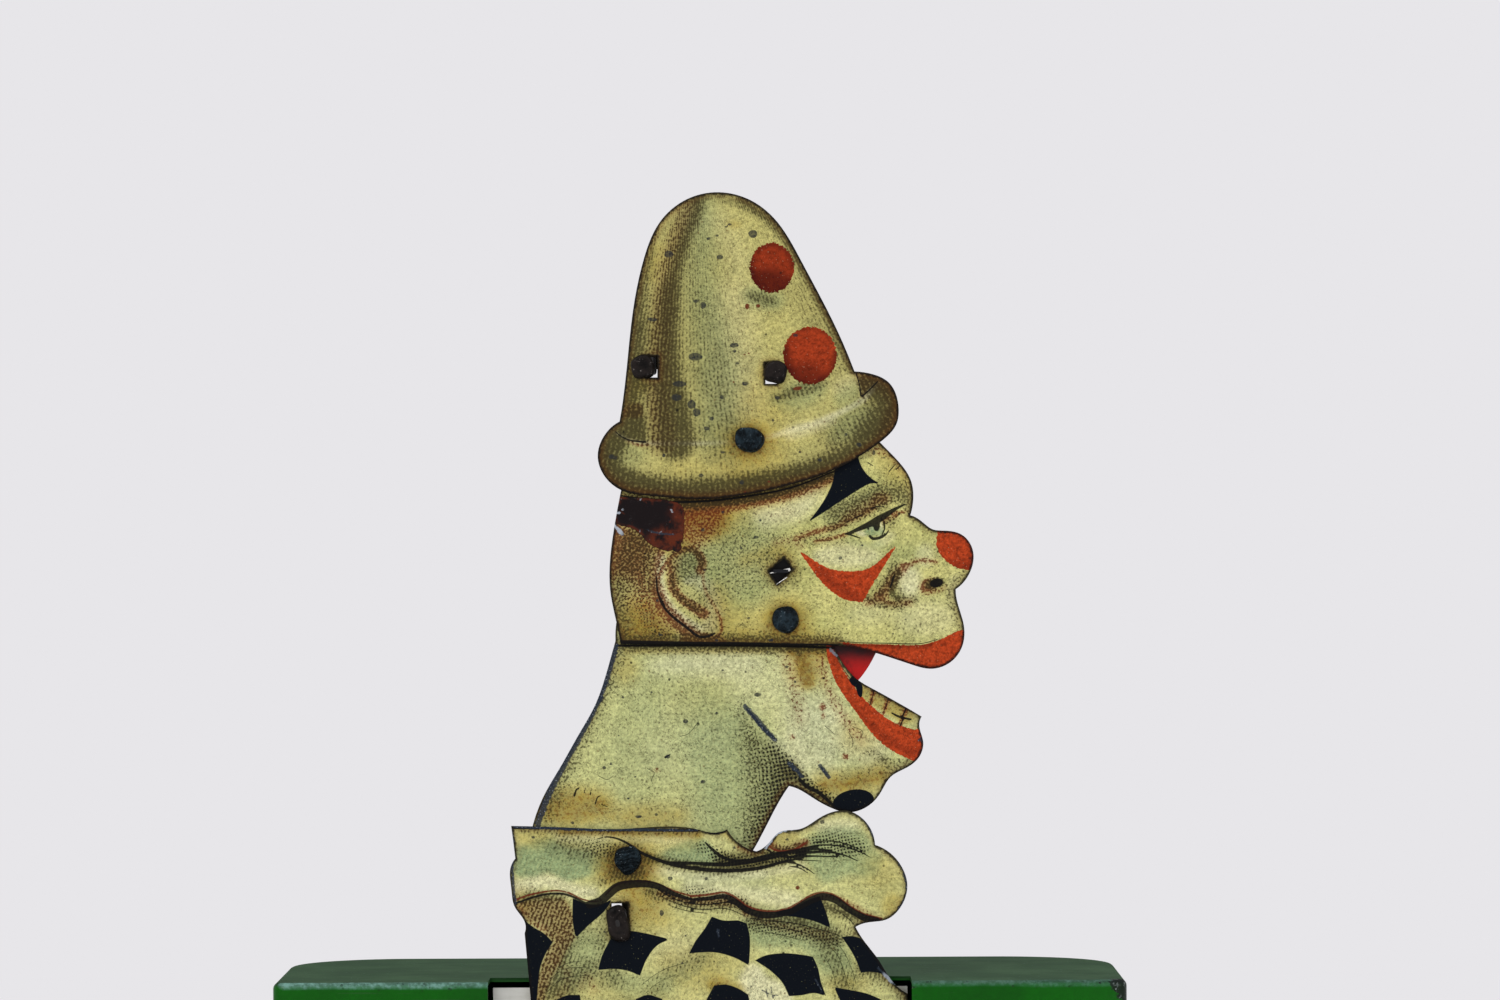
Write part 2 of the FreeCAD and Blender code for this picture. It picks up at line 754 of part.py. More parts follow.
def add_feet(body, direction):
    """Two feet bent from the lower edge of a movement plate, each with a rivet hole."""
    feet = new_sketch(body, "XY_Plane", "feet", s.base_gauge)
    for x in (s.left_foot_x, s.right_foot_x):
        draw_rectangle(feet, x - s.foot_width / 2, x + s.foot_width / 2, zero, s.foot_length * direction)
    pad(body, feet, s.movement_plate)
    holes = new_sketch(body, "XY_Plane", "foot_rivet_holes", s.base_gauge)
    for x in (s.left_foot_x, s.right_foot_x):
        draw_circle(holes, x, s.foot_length * 0.6 * direction, s.base_rivet_shank + s.running_fit)
    pocket(body, holes, s.movement_plate * 2, reverse=True)


def build_movement_plates():
    """Front and rear plates that carry the arbors between them and stand on bent feet."""
    bottom = s.base_gauge
    front_plate = new_body("front_plate")
    outline = new_sketch(front_plate, "XZ_Plane", "front_plate_outline")
    shoulder, neck = s.front_plate_shoulder, s.front_plate_neck
    top = s.case_height - s.case_gauge - s.front_plate_top_gap
    draw_polygon(
        outline,
        [
            (s.movement_left, bottom),
            (s.movement_right, bottom),
            (s.movement_right, shoulder),
            (neck, shoulder),
            (neck, top),
            (-neck, top),
            (-neck, shoulder),
            (s.movement_left, shoulder),
        ],
    )
    movement_holes(outline, s.arbor_pivot)
    draw_circle(outline, *crank, s.train_arbor + s.running_fit)
    for x in (s.left_standoff_x, s.right_standoff_x):
        draw_circle(outline, x, s.standoff_height, s.torso_screw_shank)
    for z in bracket_rivet_heights:
        draw_circle(outline, bracket_rivet_x, z, s.base_rivet_shank + s.running_fit)
    pad(front_plate, outline, s.movement_plate)
    add_feet(front_plate, 1)
    put(front_plate, y=front_plate_rear)
    rear_plate = new_body("rear_plate")
    outline = new_sketch(rear_plate, "XZ_Plane", "rear_plate_outline")
    draw_rectangle(outline, s.movement_left, s.movement_right, bottom, s.rear_plate_top)
    movement_holes(outline, s.arbor_rear_pivot)
    draw_circle(outline, *crank, s.train_pivot + s.running_fit)
    draw_circle(outline, *click_pivot, s.click_pin)
    draw_circle(outline, s.stop_pivot_x, s.stop_pivot_z, s.stop_screw_shank)
    pad(rear_plate, outline, s.movement_plate, reverse=True)
    add_feet(rear_plate, -1)
    put(rear_plate, y=rear_plate_front)


def build_frame_fasteners():
    """Pillars, their nuts, and the rivets that hold the feet to the base."""
    pillars, nuts = [], []
    stud = s.movement_plate + s.nut_height
    for x, z in pillar_places:
        profile = [
            (zero, -stud),
            (s.pillar_stud, -stud),
            (s.pillar_stud, zero),
            (s.pillar_radius, zero),
            (s.pillar_radius, s.movement_space),
            (s.pillar_stud, s.movement_space),
            (s.pillar_stud, s.movement_space + stud),
            (zero, s.movement_space + stud),
        ]
        pillars.append(turned("pillar", profile, x, front_plate_rear, z, count_piece=False))
        for y in (front_plate_front - s.nut_height, rear_plate_rear):
            blank = doc.addObject("Part::Prism", "nut_blank")
            blank.Polygon = 6
            blank.Placement = Placement(Vector(), Rotation(Vector(1, 0, 0), -90))
            bind(blank, "Circumradius", s.nut_width * 0.577)
            bind(blank, "Height", s.nut_height)
            put(blank, x, y, z)
            nuts.append(less("nut", blank, bar("nut_thread", s.pillar_stud, s.nut_height, x, y, z)))
    grouped("pillars", pillars)
    grouped("pillar_nuts", nuts)
    rivets = []
    for x, y in foot_rivets:
        shank = doc.addObject("Part::Cylinder", "base_rivet_shank")
        bind(shank, "Radius", s.base_rivet_shank)
        bind(shank, "Height", s.base_gauge + s.movement_plate)
        put(shank, x, y)
        head = doc.addObject("Part::Cone", "base_rivet_head")
        bind(head, "Radius1", s.base_rivet_head)
        bind(head, "Radius2", s.base_rivet_shank)
        bind(head, "Height", s.movement_plate)
        put(head, x, y, s.base_gauge + s.movement_plate)
        rivets.append(joined("base_rivet", [shank, head]))
    grouped("base_rivets", rivets)


def tooth_ring(name, module, teeth, shift):
    """Closed involute outline of a wheel or pinion in the XZ plane."""
    builder = FCWireBuilder()
    CreateExternalGear(
        builder,
        float(module),
        int(float(teeth)),
        float(s.pressure_angle),
        True,
        float(s.addendum_share),
        float(s.dedendum_share),
        float(s.root_fillet_share),
        shift,
    )
    ring = doc.addObject("Part::Feature", name)
    ring.Shape = Part.Wire([edge.toShape() for edge in builder.wire])
    return ring


def toothed(label, module, teeth, shift, arbor, front, gauge, bore, turn, windows=0, window_radius=1.0):
    """Wheel or pinion on an arbor: its teeth turned by an angle, with a bore and round windows."""
    ring = tooth_ring(f"{label}_teeth", module, teeth, shift)
    ring.Placement = Placement(Vector(), Rotation(Vector(0, 0, 1), float(turn)))
    blank = doc.addObject("Part::Extrusion", f"{label}_blank")
    blank.Base = ring
    blank.DirMode = "Custom"
    blank.Dir = Vector(0, 0, 1)
    blank.Solid = True
    bind(blank, "LengthFwd", gauge)
    hole = doc.addObject("Part::Cylinder", f"{label}_bore")
    bind(hole, "Radius", bore)
    bind(hole, "Height", gauge)
    tools = [hole]
    for i in range(windows):
        angle = math.tau * i / windows
        reach = module * teeth * 0.29
        window = doc.addObject("Part::Cylinder", f"{label}_window")
        bind(window, "Radius", window_radius)
        bind(window, "Height", gauge)
        put(window, reach * round(math.cos(angle), 6), reach * round(math.sin(angle), 6))
        tools.append(window)
    wheel = less(label, blank, joined(f"{label}_openings", tools) if windows else hole)
    wheel.Placement = Placement(Vector(), Rotation(Vector(1, 0, 0), 90))
    put(wheel, arbor[0], front + gauge, arbor[1])
    return finished(wheel, label)


def mesh_turn(driver_teeth, driver_turn, direction, teeth):
    """Turn of a pinion that meshes with a wheel in a direction, both from tooth-on-X."""
    wheel_phase = (direction - driver_turn) * driver_teeth / 360.0
    pinion_phase = 0.5 - wheel_phase
    return direction + 180.0 - pinion_phase * 360.0 / teeth


def arbor_profile(body_radius, pivot_radius, front_reach, rear_reach):
    """Corners of a plain arbor that runs between the movement plates on two thinner pivots."""
    shake = s.pivot_shake
    return [
        (zero, -front_reach),
        (pivot_radius, -front_reach),
        (pivot_radius, shake),
        (body_radius, shake),
        (body_radius, s.movement_space - shake),
        (pivot_radius, s.movement_space - shake),
        (pivot_radius, s.movement_space + rear_reach),
        (zero, s.movement_space + rear_reach),
    ]


def build_barrel():
    """Spring barrel: great wheel, drum and lid that turn together on the winding arbor."""
    bore = s.arbor_body + s.running_fit
    shift = -float(s.pinion_shift)
    teeth, gauge = s.great_wheel_teeth, s.great_wheel_gauge
    toothed("great_wheel", s.great_module, teeth, shift, barrel, great_wheel_front, gauge, bore, 0.0)
    x, z = barrel
    outer = s.barrel_radius - s.barrel_wall
    drum_front = great_wheel_front + gauge
    drum = bar("drum_outside", s.barrel_radius, s.barrel_length, x, drum_front, z)
    inside = bar("drum_inside", outer, s.barrel_length, x, drum_front, z)
    rivet_height = drum_front + s.barrel_length / 2
    hook = doc.addObject("Part::Cylinder", "spring_rivet_hole")
    hook.Placement = Placement(Vector(), Rotation(Vector(0, 1, 0), 90))
    bind(hook, "Radius", s.key_pin_radius)
    bind(hook, "Height", s.barrel_radius + s.barrel_wall)
    put(hook, x, rivet_height, z)
    finished(less("barrel_drum", drum, joined("drum_openings", [inside, hook])), "barrel_drum")
    lid_front = drum_front + s.barrel_length
    lid = bar("lid_disc", s.barrel_radius, s.barrel_wall, x, lid_front, z)
    lid_bore = bar("lid_bore", bore, s.barrel_wall, x, lid_front, z)
    finished(less("barrel_lid", lid, lid_bore), "barrel_lid")
    build_mainspring(outer, drum_front, rivet_height)
    rivet = doc.addObject("Part::Cylinder", "spring_rivet")
    rivet.Placement = Placement(Vector(), Rotation(Vector(0, 1, 0), 90))
    bind(rivet, "Radius", s.key_pin_radius)
    bind(rivet, "Height", s.barrel_wall + s.spring_gauge * 2)
    put(rivet, x + outer - s.spring_gauge, rivet_height, z)
    finished(rivet, "spring_rivet")


def build_mainspring(outer, drum_front, rivet_height):
    """Flat spring wound in a steady spiral from the arbor to the wall of the drum."""
    gauge, inner = float(s.spring_gauge), float(s.spring_inner_radius)
    turns, steps = float(s.spring_turns), 16
    count = int(turns * steps)
    last = float(outer) - gauge

    def side(offset):
        """Points of one side of the strip, a share of the gauge outside its inner face."""
        points = []
        for i in range(count + 1):
            radius = inner + (last - inner) * i / count + offset
            angle = math.tau * (i - count) / steps
            points.append(Vector(radius * math.cos(angle), radius * math.sin(angle), 0))
        return points

    near, far = side(0.0), side(gauge)
    edges = [
        stretch_curve(near),
        Part.LineSegment(near[-1], far[-1]),
        stretch_curve(far[::-1]),
        Part.LineSegment(far[0], near[0]),
    ]
    strip = doc.addObject("Part::Feature", "spring_strip_edge")
    strip.Shape = Part.Wire([edge.toShape() for edge in edges])
    coil = doc.addObject("Part::Extrusion", "spring_coil")
    coil.Base = strip
    coil.DirMode = "Custom"
    coil.Dir = Vector(0, 0, 1)
    coil.Solid = True
    height = s.barrel_length - s.spring_side_gap * 2
    bind(coil, "LengthFwd", height)
    hole = doc.addObject("Part::Cylinder", "spring_eye")
    hole.Placement = Placement(Vector(), Rotation(Vector(0, 1, 0), 90))
    bind(hole, "Radius", s.key_pin_radius)
    bind(hole, "Height", s.barrel_wall + s.spring_gauge * 2)
    put(hole, outer - s.spring_gauge - s.barrel_wall, zero, height / 2)
    spring = less("mainspring", coil, hole)
    spring.Placement = Placement(Vector(), Rotation(Vector(1, 0, 0), 90))
    put(spring, barrel[0], rivet_height + height / 2, barrel[1])
    finished(spring, "mainspring")


def build_winding_work():
    """Winding arbor with its ratchet, key and click."""
    square_start = case_rear + s.escutcheon_height + s.key_gap
    square_end = square_start + s.arbor_reach
    length = square_start - front_plate_rear
    front_reach = s.movement_plate + s.pivot_shake
    shake = s.pivot_shake
    profile = [
        (zero, -front_reach),
        (s.arbor_pivot, -front_reach),
        (s.arbor_pivot, shake),
        (s.arbor_body, shake),
        (s.arbor_body, s.movement_space - shake),
        (s.arbor_rear_pivot, s.movement_space - shake),
        (s.arbor_rear_pivot, length),
        (zero, length),
    ]
    shaft = turned("arbor_shaft", profile, barrel[0], front_plate_rear, barrel[1], count_piece=False)
    half = s.arbor_square / 2
    square = block(
        "arbor_end",
        (barrel[0] - half, barrel[0] + half),
        (square_start, square_end),
        (barrel[1] - half, barrel[1] + half),
    )
    pin_y = square_start + s.key_hub_length * 0.3
    whole = joined("arbor_blank", [shaft, square])
    finished(less("winding_arbor", whole, cross_pin("arbor_pin_hole", pin_y)), "winding_arbor")
    finished(cross_pin("key_pin", pin_y), "key_pin")
    build_key(square_start, pin_y)
    ratchet_front = rear_plate_rear + s.ratchet_gap
    teeth = int(float(s.ratchet_teeth))
    corners = []
    for i in range(teeth):
        start, end = 90.0 + 360.0 * (i - 1) / teeth, 90.0 + 360.0 * i / teeth
        corners.append(polar(s.ratchet_tip, start))
        corners.append(polar(s.ratchet_root, end))
    ratchet = flat_feature("ratchet_outline", corners)
    blank = thick("ratchet_blank", ratchet, s.ratchet_thickness, barrel, ratchet_front)
    bore_radius = s.arbor_rear_pivot + s.running_fit
    bore = bar("ratchet_bore", bore_radius, s.ratchet_thickness, barrel[0], ratchet_front, barrel[1])
    finished(less("ratchet_wheel", blank, bore), "ratchet_wheel")
    build_click(ratchet_front)


def polar(radius, degrees):
    """Point at a radius and an angle."""
    angle = math.radians(degrees)
    return Vector(float(radius) * math.cos(angle), 0, float(radius) * math.sin(angle))


def flat_feature(name, corners):
    """Closed outline through corners in the XZ plane."""
    item = doc.addObject("Part::Feature", name)
    item.Shape = Part.makePolygon(corners + corners[:1])
    return item


def thick(name, outline, gauge, place, front):
    """Flat outline of the XZ plane thickened towards the rear."""
    item = doc.addObject("Part::Extrusion", name)
    item.Base = outline
    item.DirMode = "Custom"
    item.Dir = Vector(0, 1, 0)
    item.Solid = True
    bind(item, "LengthFwd", gauge)
    return put(item, place[0], front, place[1])


def cross_pin(name, pin_y):
    """Pin across the key's hub and the square end of the arbor."""
    pin = doc.addObject("Part::Cylinder", name)
    pin.Placement = Placement(Vector(), Rotation(Vector(0, 1, 0), 90))
    bind(pin, "Radius", s.key_pin_radius)
    bind(pin, "Height", s.key_hub * 2)
    return put(pin, barrel[0] - s.key_hub, pin_y, barrel[1])


def build_key(hub_front, pin_y):
    """Butterfly key: a hub with a square socket and two round wings."""
    x, z = barrel
    hub = bar("key_hub", s.key_hub, s.key_hub_length, x, hub_front, z)
    wing_y = hub_front + s.key_hub_length * 0.9 + s.key_bow_radius
    half = s.key_bow_gauge / 2
    reach = s.key_bow_reach - s.key_bow_radius
    wings = []
    for side in (-1, 1):
        wing = doc.addObject("Part::Cylinder", "key_wing")
        bind(wing, "Radius", s.key_bow_radius)
        bind(wing, "Height", s.key_bow_gauge)
        wings.append(put(wing, x + reach * side, wing_y, z - half))
    waist_y = (hub_front + s.key_hub_length * 0.7, wing_y + s.key_hub)
    waist = block("key_waist", (x - reach, x + reach), waist_y, (z - half, z + half))
    body = joined("key_blank", [hub, waist] + wings)
    play = s.arbor_square / 2 + s.running_fit
    socket = block(
        "key_socket",
        (x - play, x + play),
        (hub_front, hub_front + s.arbor_reach + s.running_fit),
        (z - play, z + play),
    )
    openings = joined("key_openings", [socket, cross_pin("key_pin_hole", pin_y)])
    finished(less("winding_key", body, openings), "winding_key")


def build_click(front):
    """Click that drops into the ratchet, its shouldered pin and its spring."""
    rise, over = float(s.click_pivot_rise), float(s.click_pivot_over)
    root, tip, gap = float(s.ratchet_root), float(s.ratchet_tip), float(s.click_clearance)
    boss = float(s.click_boss)
    pitch = 360.0 / float(s.ratchet_teeth)
    next_tip = polar(tip + gap * 1.5, 90.0 - pitch)
    corners = [
        Vector(gap - over, 0, root + gap - rise),
        Vector(next_tip.x - over, 0, next_tip.z - rise),
        Vector(-boss * 0.6, 0, -boss * 0.8),
        Vector(0, 0, boss * 0.9),
        Vector(-over * 0.55, 0, boss * 0.75),
        Vector(gap - over, 0, root + 2.2 * boss * 0.6 - rise),
    ]
    thickness = s.ratchet_thickness
    x, z = click_pivot
    arm = thick("click_arm", flat_feature("click_outline", corners), thickness, click_pivot, front)
    eye = bar("click_eye", s.click_boss, thickness, x, front, z)
    hole = bar("click_hole", s.click_pin + s.running_fit, thickness, x, front, z)
    finished(less("click", joined("click_blank", [arm, eye]), hole), "click")
    reach = s.movement_plate + s.ratchet_gap + s.ratchet_thickness + s.pivot_shake
    profile = [
        (zero, zero),
        (s.click_pin, zero),
        (s.click_pin, reach),
        (s.click_boss, reach),
        (s.click_boss, reach + s.movement_plate),
        (zero, reach + s.movement_plate),
    ]
    turned("click_screw", profile, x, rear_plate_front, z)
    strip_top = z + s.click_boss * 3
    x = x - s.click_pivot_over * 0.55
    half = s.tin_gauge / 2
    upright = block(
        "click_spring_leaf",
        (x - half, x + half),
        (rear_plate_rear, front + thickness),
        (z + s.click_boss * 0.75 + s.pivot_play, strip_top),
    )
    foot = block(
        "click_spring_foot",
        (x - half, x + s.click_boss * 2),
        (rear_plate_rear, front + thickness),
        (strip_top - s.tin_gauge, strip_top),
    )
    finished(joined("click_spring", [upright, foot]), "click_spring")


def build_train():
    """Centre, crank and fly arbors with their wheels and pinions, each in mesh at rest."""
    shift = float(s.pinion_shift)
    leaves = float(s.pinion_leaves)
    bore = s.train_arbor
    reach = s.movement_plate + s.pivot_shake
    plain = arbor_profile(s.train_arbor, s.train_pivot, reach, reach)
    turned("centre_arbor", plain, centre[0], front_plate_rear, centre[1])
    turned("fly_arbor", plain, fly[0], front_plate_rear, fly[1])
    disc_front = front_plate_front - s.crank_disc_gap - s.crank_disc_gauge
    crank_front = front_plate_rear - disc_front
    through = [
        (zero, -crank_front),
        (s.train_arbor, -crank_front),
        (s.train_arbor, s.movement_space - s.pivot_shake),
        (s.train_pivot, s.movement_space - s.pivot_shake),
        (s.train_pivot, s.movement_space + reach),
        (zero, s.movement_space + reach),
    ]
    turned("crank_arbor", through, crank[0], front_plate_rear, crank[1])
    centre_pinion_turn = mesh_turn(float(s.great_wheel_teeth), 0.0, float(s.centre_angle), leaves)
    overhang = s.wheel_gauge
    toothed(
        "centre_pinion", s.great_module, s.pinion_leaves, shift, centre, great_wheel_front - overhang,
        s.great_wheel_gauge + overhang * 2, bore, centre_pinion_turn,
    )
    toothed(
        "centre_wheel", s.centre_module, s.centre_wheel_teeth, -shift, centre, centre_wheel_front,
        s.wheel_gauge, bore, centre_pinion_turn, windows=4, window_radius=s.centre_module * 4,
    )
    wheel_teeth = float(s.centre_wheel_teeth)
    crank_pinion_turn = mesh_turn(wheel_teeth, centre_pinion_turn, float(s.crank_angle), leaves)
    toothed(
        "crank_pinion", s.centre_module, s.pinion_leaves, shift, crank, centre_wheel_front - overhang / 2,
        s.wheel_gauge + overhang, bore, crank_pinion_turn,
    )
    toothed(
        "crank_wheel", s.crank_module, s.crank_wheel_teeth, -shift, crank, crank_wheel_front,
        s.wheel_gauge, bore, crank_pinion_turn, windows=4, window_radius=s.crank_module * 3.6,
    )
    fly_pinion_turn = mesh_turn(float(s.crank_wheel_teeth), crank_pinion_turn, float(s.fly_angle), leaves)
    toothed(
        "fly_pinion", s.crank_module, s.pinion_leaves, shift, fly, crank_wheel_front - overhang / 2,
        s.wheel_gauge + overhang, bore, fly_pinion_turn,
    )
    build_crank_disc(disc_front)
    build_fly()


def build_crank_disc(disc_front):
    """Disc on the front end of the crank arbor with an eccentric pin for the rod."""
    disc = bar("crank_disc_blank", s.crank_disc_radius, s.crank_disc_gauge, crank[0], disc_front, crank[1])
    bore = bar("crank_disc_bore", s.train_arbor, s.crank_disc_gauge, crank[0], disc_front, crank[1])
    away = math.hypot(float(crank[0] - rod_pin[0]), float(crank[1] - rod_pin[1]))
    pin_x = crank[0] + (crank[0] - rod_pin[0]) * s.crank_radius / away
    pin_z = crank[1] + (crank[1] - rod_pin[1]) * s.crank_radius / away
    tip = layer_rear(2) + s.crank_pin_gap
    pin_hole = bar("crank_pin_hole", s.crank_pin_radius, s.crank_disc_gauge, pin_x, disc_front, pin_z)
    finished(less("crank_disc", disc, joined("crank_disc_openings", [bore, pin_hole])), "crank_disc")
    length = disc_front + s.crank_disc_gauge - tip
    finished(bar("crank_pin", s.crank_pin_radius, length, pin_x, tip, pin_z), "crank_pin")
    eye = s.crank_pin_radius + s.link_play
    link("drive_rod", rod_pin, (pin_x, pin_z), 2, s.rod_width, s.link_pin + s.pivot_play, eye)


def build_fly():
    """Air brake: a two-bladed fly and a braking disc on the fastest arbor."""
    y = front_plate_rear + s.fly_gap
    half = s.fly_gauge / 2
    x, z = fly
    across, along = (x - s.fly_reach, x + s.fly_reach), (y, y + s.fly_length)
    blade = block("fly_sheet", across, along, (z - half, z + half))
    hub = bar("fly_hub", s.fly_hub, s.fly_length, fly[0], y, fly[1])
    bore = bar("fly_bore", s.train_arbor, s.fly_length, fly[0], y, fly[1])
    finished(less("fly_blades", joined("fly_blank", [blade, hub]), bore), "fly_blades")
    disc = bar("brake_blank", s.brake_disc_radius, s.brake_disc_gauge, fly[0], stop_layer[0], fly[1])
    hole = bar("brake_bore", s.train_arbor, s.brake_disc_gauge, fly[0], stop_layer[0], fly[1])
    finished(less("brake_disc", disc, hole), "brake_disc")


def build_stop_lever():
    """Stop lever: a strip whose inner end lifts against the braking disc."""
    x, z = s.stop_pivot_x, s.stop_pivot_z
    half = s.stop_arm_width / 2
    handle_end = s.case_width / 2 + s.stop_reach
    arm = block("lever_arm", (fly[0] - half, handle_end), stop_layer, (z - half, z + half))
    shoe_top = fly[1] - s.brake_disc_radius - s.stop_brake_gap
    shoe = block("lever_shoe", (fly[0] - half, fly[0] + half), stop_layer, (z - half, shoe_top))
    thumb = block(
        "lever_thumb",
        (handle_end - s.stop_arm_width * 0.4, handle_end),
        (stop_layer[0] - s.stop_arm_width, stop_layer[1] + s.stop_arm_width),
        (z - half, z + half),
    )
    boss = bar("lever_boss", s.stop_boss, s.brake_disc_gauge, x, stop_layer[0], z)
    hole = bar("lever_hole", s.stop_screw_shank + s.running_fit, s.brake_disc_gauge, x, stop_layer[0], z)
    finished(less("stop_lever", joined("lever_blank", [arm, shoe, thumb, boss]), hole), "stop_lever")
    shoulder = s.stop_screw_head
    head = s.movement_plate
    start = -(rear_plate_front - stop_layer[0]) - s.pivot_shake
    profile = [
        (zero, start - head),
        (shoulder, start - head),
        (shoulder, start),
        (s.stop_screw_shank, start),
        (s.stop_screw_shank, s.movement_plate),
        (zero, s.movement_plate),
    ]
    turned("stop_lever_screw", profile, x, rear_plate_front, z)


def link(label, start, end, layer, width, start_hole, end_hole):
    """Flat link between two pivots of one layer, with a round eye at each end and a narrower waist."""
    length_x, length_z = end[0] - start[0], end[1] - start[1]
    run = math.hypot(float(length_x), float(length_z))
    direction = Vector(float(length_x) / run, float(length_z) / run, 0)
    half = float(width) / 2
    waist = half * float(s.link_waist_share)
    side = Vector(-direction.y, direction.x, 0) * waist
    eye_reach = direction * math.sqrt(half**2 - waist**2)
    near, far = eye_reach, direction * run - eye_reach
    near_tip, far_tip = direction * -half, direction * (run + half)
    body = new_body(label)
    sketch = new_sketch(body, "XZ_Plane", f"{label}_outline")
    curves = [
        Part.LineSegment(near + side, far + side),
        Part.Arc(far + side, far_tip, far - side),
        Part.LineSegment(far - side, near - side),
        Part.Arc(near - side, near_tip, near + side),
    ]
    sketch.addGeometry(curves, False)
    draw_circle(sketch, zero, zero, start_hole)
    draw_circle(sketch, length_x, length_z, end_hole)
    pad(body, sketch, s.tin_gauge)
    put(body, start[0], layer_rear(layer), start[1])
    return body


def link_rivet(label, place, front, rear):
    """Small pin of a link, with a thin flat head in front and a spread tail behind."""
    length = rear - front
    head = s.pin_head_height
    profile = [
        (zero, -head),
        (s.link_pin_head, -head),
        (s.link_pin_head, zero),
        (s.link_pin, zero),
        (s.link_pin, length),
        (s.link_pin_head, length),
        (s.link_pin_head, length + head),
        (zero, length + head),
    ]
    return turned(label, profile, place[0], front, place[1])


def build_torso():
    """Collar and costume plate, the bracket that holds it and its standoffs."""
    grid = float(s.torso_width) / extent(COLLAR_OUTLINE, 0)
    foot = (float(s.torso_foot_height) - float(neck_pivot[1])) / grid
    right, left = COLLAR_OUTLINE[0][0], COLLAR_OUTLINE[-1][-1]
    feet = ((left, (left[0], foot)), ((left[0], foot), (right[0], foot)), ((right[0], foot), right))
    holes = [(zero, zero, s.rivet_shank)]
    for x in (s.left_standoff_x, s.right_standoff_x):
        radius = s.torso_screw_shank + s.screw_play
        holes.append((x - neck_pivot[0], s.standoff_height - neck_pivot[1], radius))
    body = tin_plate("torso_plate", COLLAR_OUTLINE + feet, grid, 0, neck_pivot, holes)
    width, height = s.collar_slot_width, s.collar_slot_height
    cut_slot(body, "collar_slot", s.collar_slot_over, -s.collar_slot_drop, width, height)
    build_torso_bracket()
    standoffs, screws = [], []
    for x in (s.left_standoff_x, s.right_standoff_x):
        place = (x, layer_rear(0), s.standoff_height)
        tube = bar("standoff_tube", s.standoff_radius, front_plate_front - layer_rear(0), *place)
        bore = bar("standoff_bore", s.standoff_bore, front_plate_front - layer_rear(0), *place)
        standoffs.append(less("standoff", tube, bore))
        length = front_plate_rear - figure_front
        profile = [
            (zero, -s.movement_plate),
            (s.torso_screw_head, -s.movement_plate),
            (s.torso_screw_head, zero),
            (s.torso_screw_shank, zero),
            (s.torso_screw_shank, length),
            (zero, length),
        ]
        screws.append(turned("torso_screw", profile, x, figure_front, s.standoff_height, count_piece=False))
    grouped("torso_standoffs", standoffs)
    grouped("torso_screws", screws)
    domed_rivet("neck_rivet", neck_pivot, figure_front, layer_rear(1) + s.pivot_play * 2, s.rivet_tail)


def build_torso_bracket():
    """Upright strip on the front plate with a tab that is bent forward through the collar slot."""
    gauge = s.bracket_gauge
    front = front_plate_front - gauge
    left = bracket_left
    right = left + s.bracket_width
    top = torso_pin[1] + s.bracket_head_margin
    strip = block("bracket_strip", (left, right), (front, front_plate_front), (bracket_bottom, top))
    fold_low = neck_pivot[1] - s.collar_slot_drop - s.collar_slot_height / 2 + s.screw_play
    rise = (fold_low, fold_low + s.collar_fold_height)
    neck_rise = (rise[0] + s.fold_corner, rise[1] - s.fold_corner)
    tab = block("bracket_tab", (left, left + gauge), (figure_front - gauge, front_plate_front), neck_rise)
    inner = left + gauge
    across = (inner - s.collar_fold_width, inner)
    fold = folded_end("bracket_fold", across, (figure_front - gauge, figure_front), rise)
    hole_radius = s.base_rivet_shank + s.running_fit
    holes = [
        bar("bracket_rivet_hole", hole_radius, gauge * 3, bracket_rivet_x, front - gauge, z)
        for z in bracket_rivet_heights
    ]
    holes.append(bar("bracket_pin_hole", s.link_pin, gauge * 3, torso_pin[0], front - gauge, torso_pin[1]))
    blank = joined("bracket_blank", [strip, tab, fold])
    finished(less("torso_bracket", blank, joined("bracket_holes", holes)), "torso_bracket")
    rivets = []
    for z in bracket_rivet_heights:
        head = s.tin_gauge
        length = gauge + s.movement_plate
        profile = [
            (zero, -head),
            (s.base_rivet_head, -head),
            (s.base_rivet_head, zero),
            (s.base_rivet_shank, zero),
            (s.base_rivet_shank, length),
            (s.base_rivet_head, length),
            (s.base_rivet_head, length + head),
            (zero, length + head),
        ]
        rivets.append(turned("bracket_rivet", profile, bracket_rivet_x, front, z, count_piece=False))
    grouped("bracket_rivets", rivets)
    head_face = layer_rear(3) - s.tin_gauge - s.pivot_play * 2
    link_rivet("torso_link_pin", torso_pin, head_face, front_plate_front)


def build_neck():
    """Neck plate with the lower jaw, a tail that reaches down to the drive rod, and a welded stud."""
    grid = float(s.jaw_height) / extent(JAW_OUTLINE, 1)
    run = s.pivot_play
    holes = [
        (zero, zero, s.rivet_shank + run),
        (s.head_pivot_over, s.head_pivot_rise, s.rivet_shank + run),
    ]
    body = tin_plate("neck_plate", JAW_OUTLINE, grid, 1, neck_pivot, holes)
    tail = new_sketch(body, "XZ_Plane", "tail_outline")
    half = s.tail_width / 2
    x, z = s.rod_pin_over, -s.rod_pin_drop
    root = -s.rivet_tail * 1.5
    chamfer = half * 0.5
    draw_polygon(
        tail,
        [
            (x - half, root),
            (x - half, z - half + chamfer),
            (x - chamfer, z - half),
            (x + chamfer, z - half),
            (x + half, z - half + chamfer),
            (x + half, root),
        ],
    )
    draw_circle(tail, x, z, s.link_pin)
    pad(body, tail, s.tin_gauge)
    rear = layer_rear(1)
    link_rivet("neck_link_pin", neck_pin, rear + s.pin_head_height, layer_rear(4) + s.pivot_play)
    link_rivet("rod_rivet", rod_pin, rear - s.tin_gauge, layer_rear(2) + s.pivot_play)


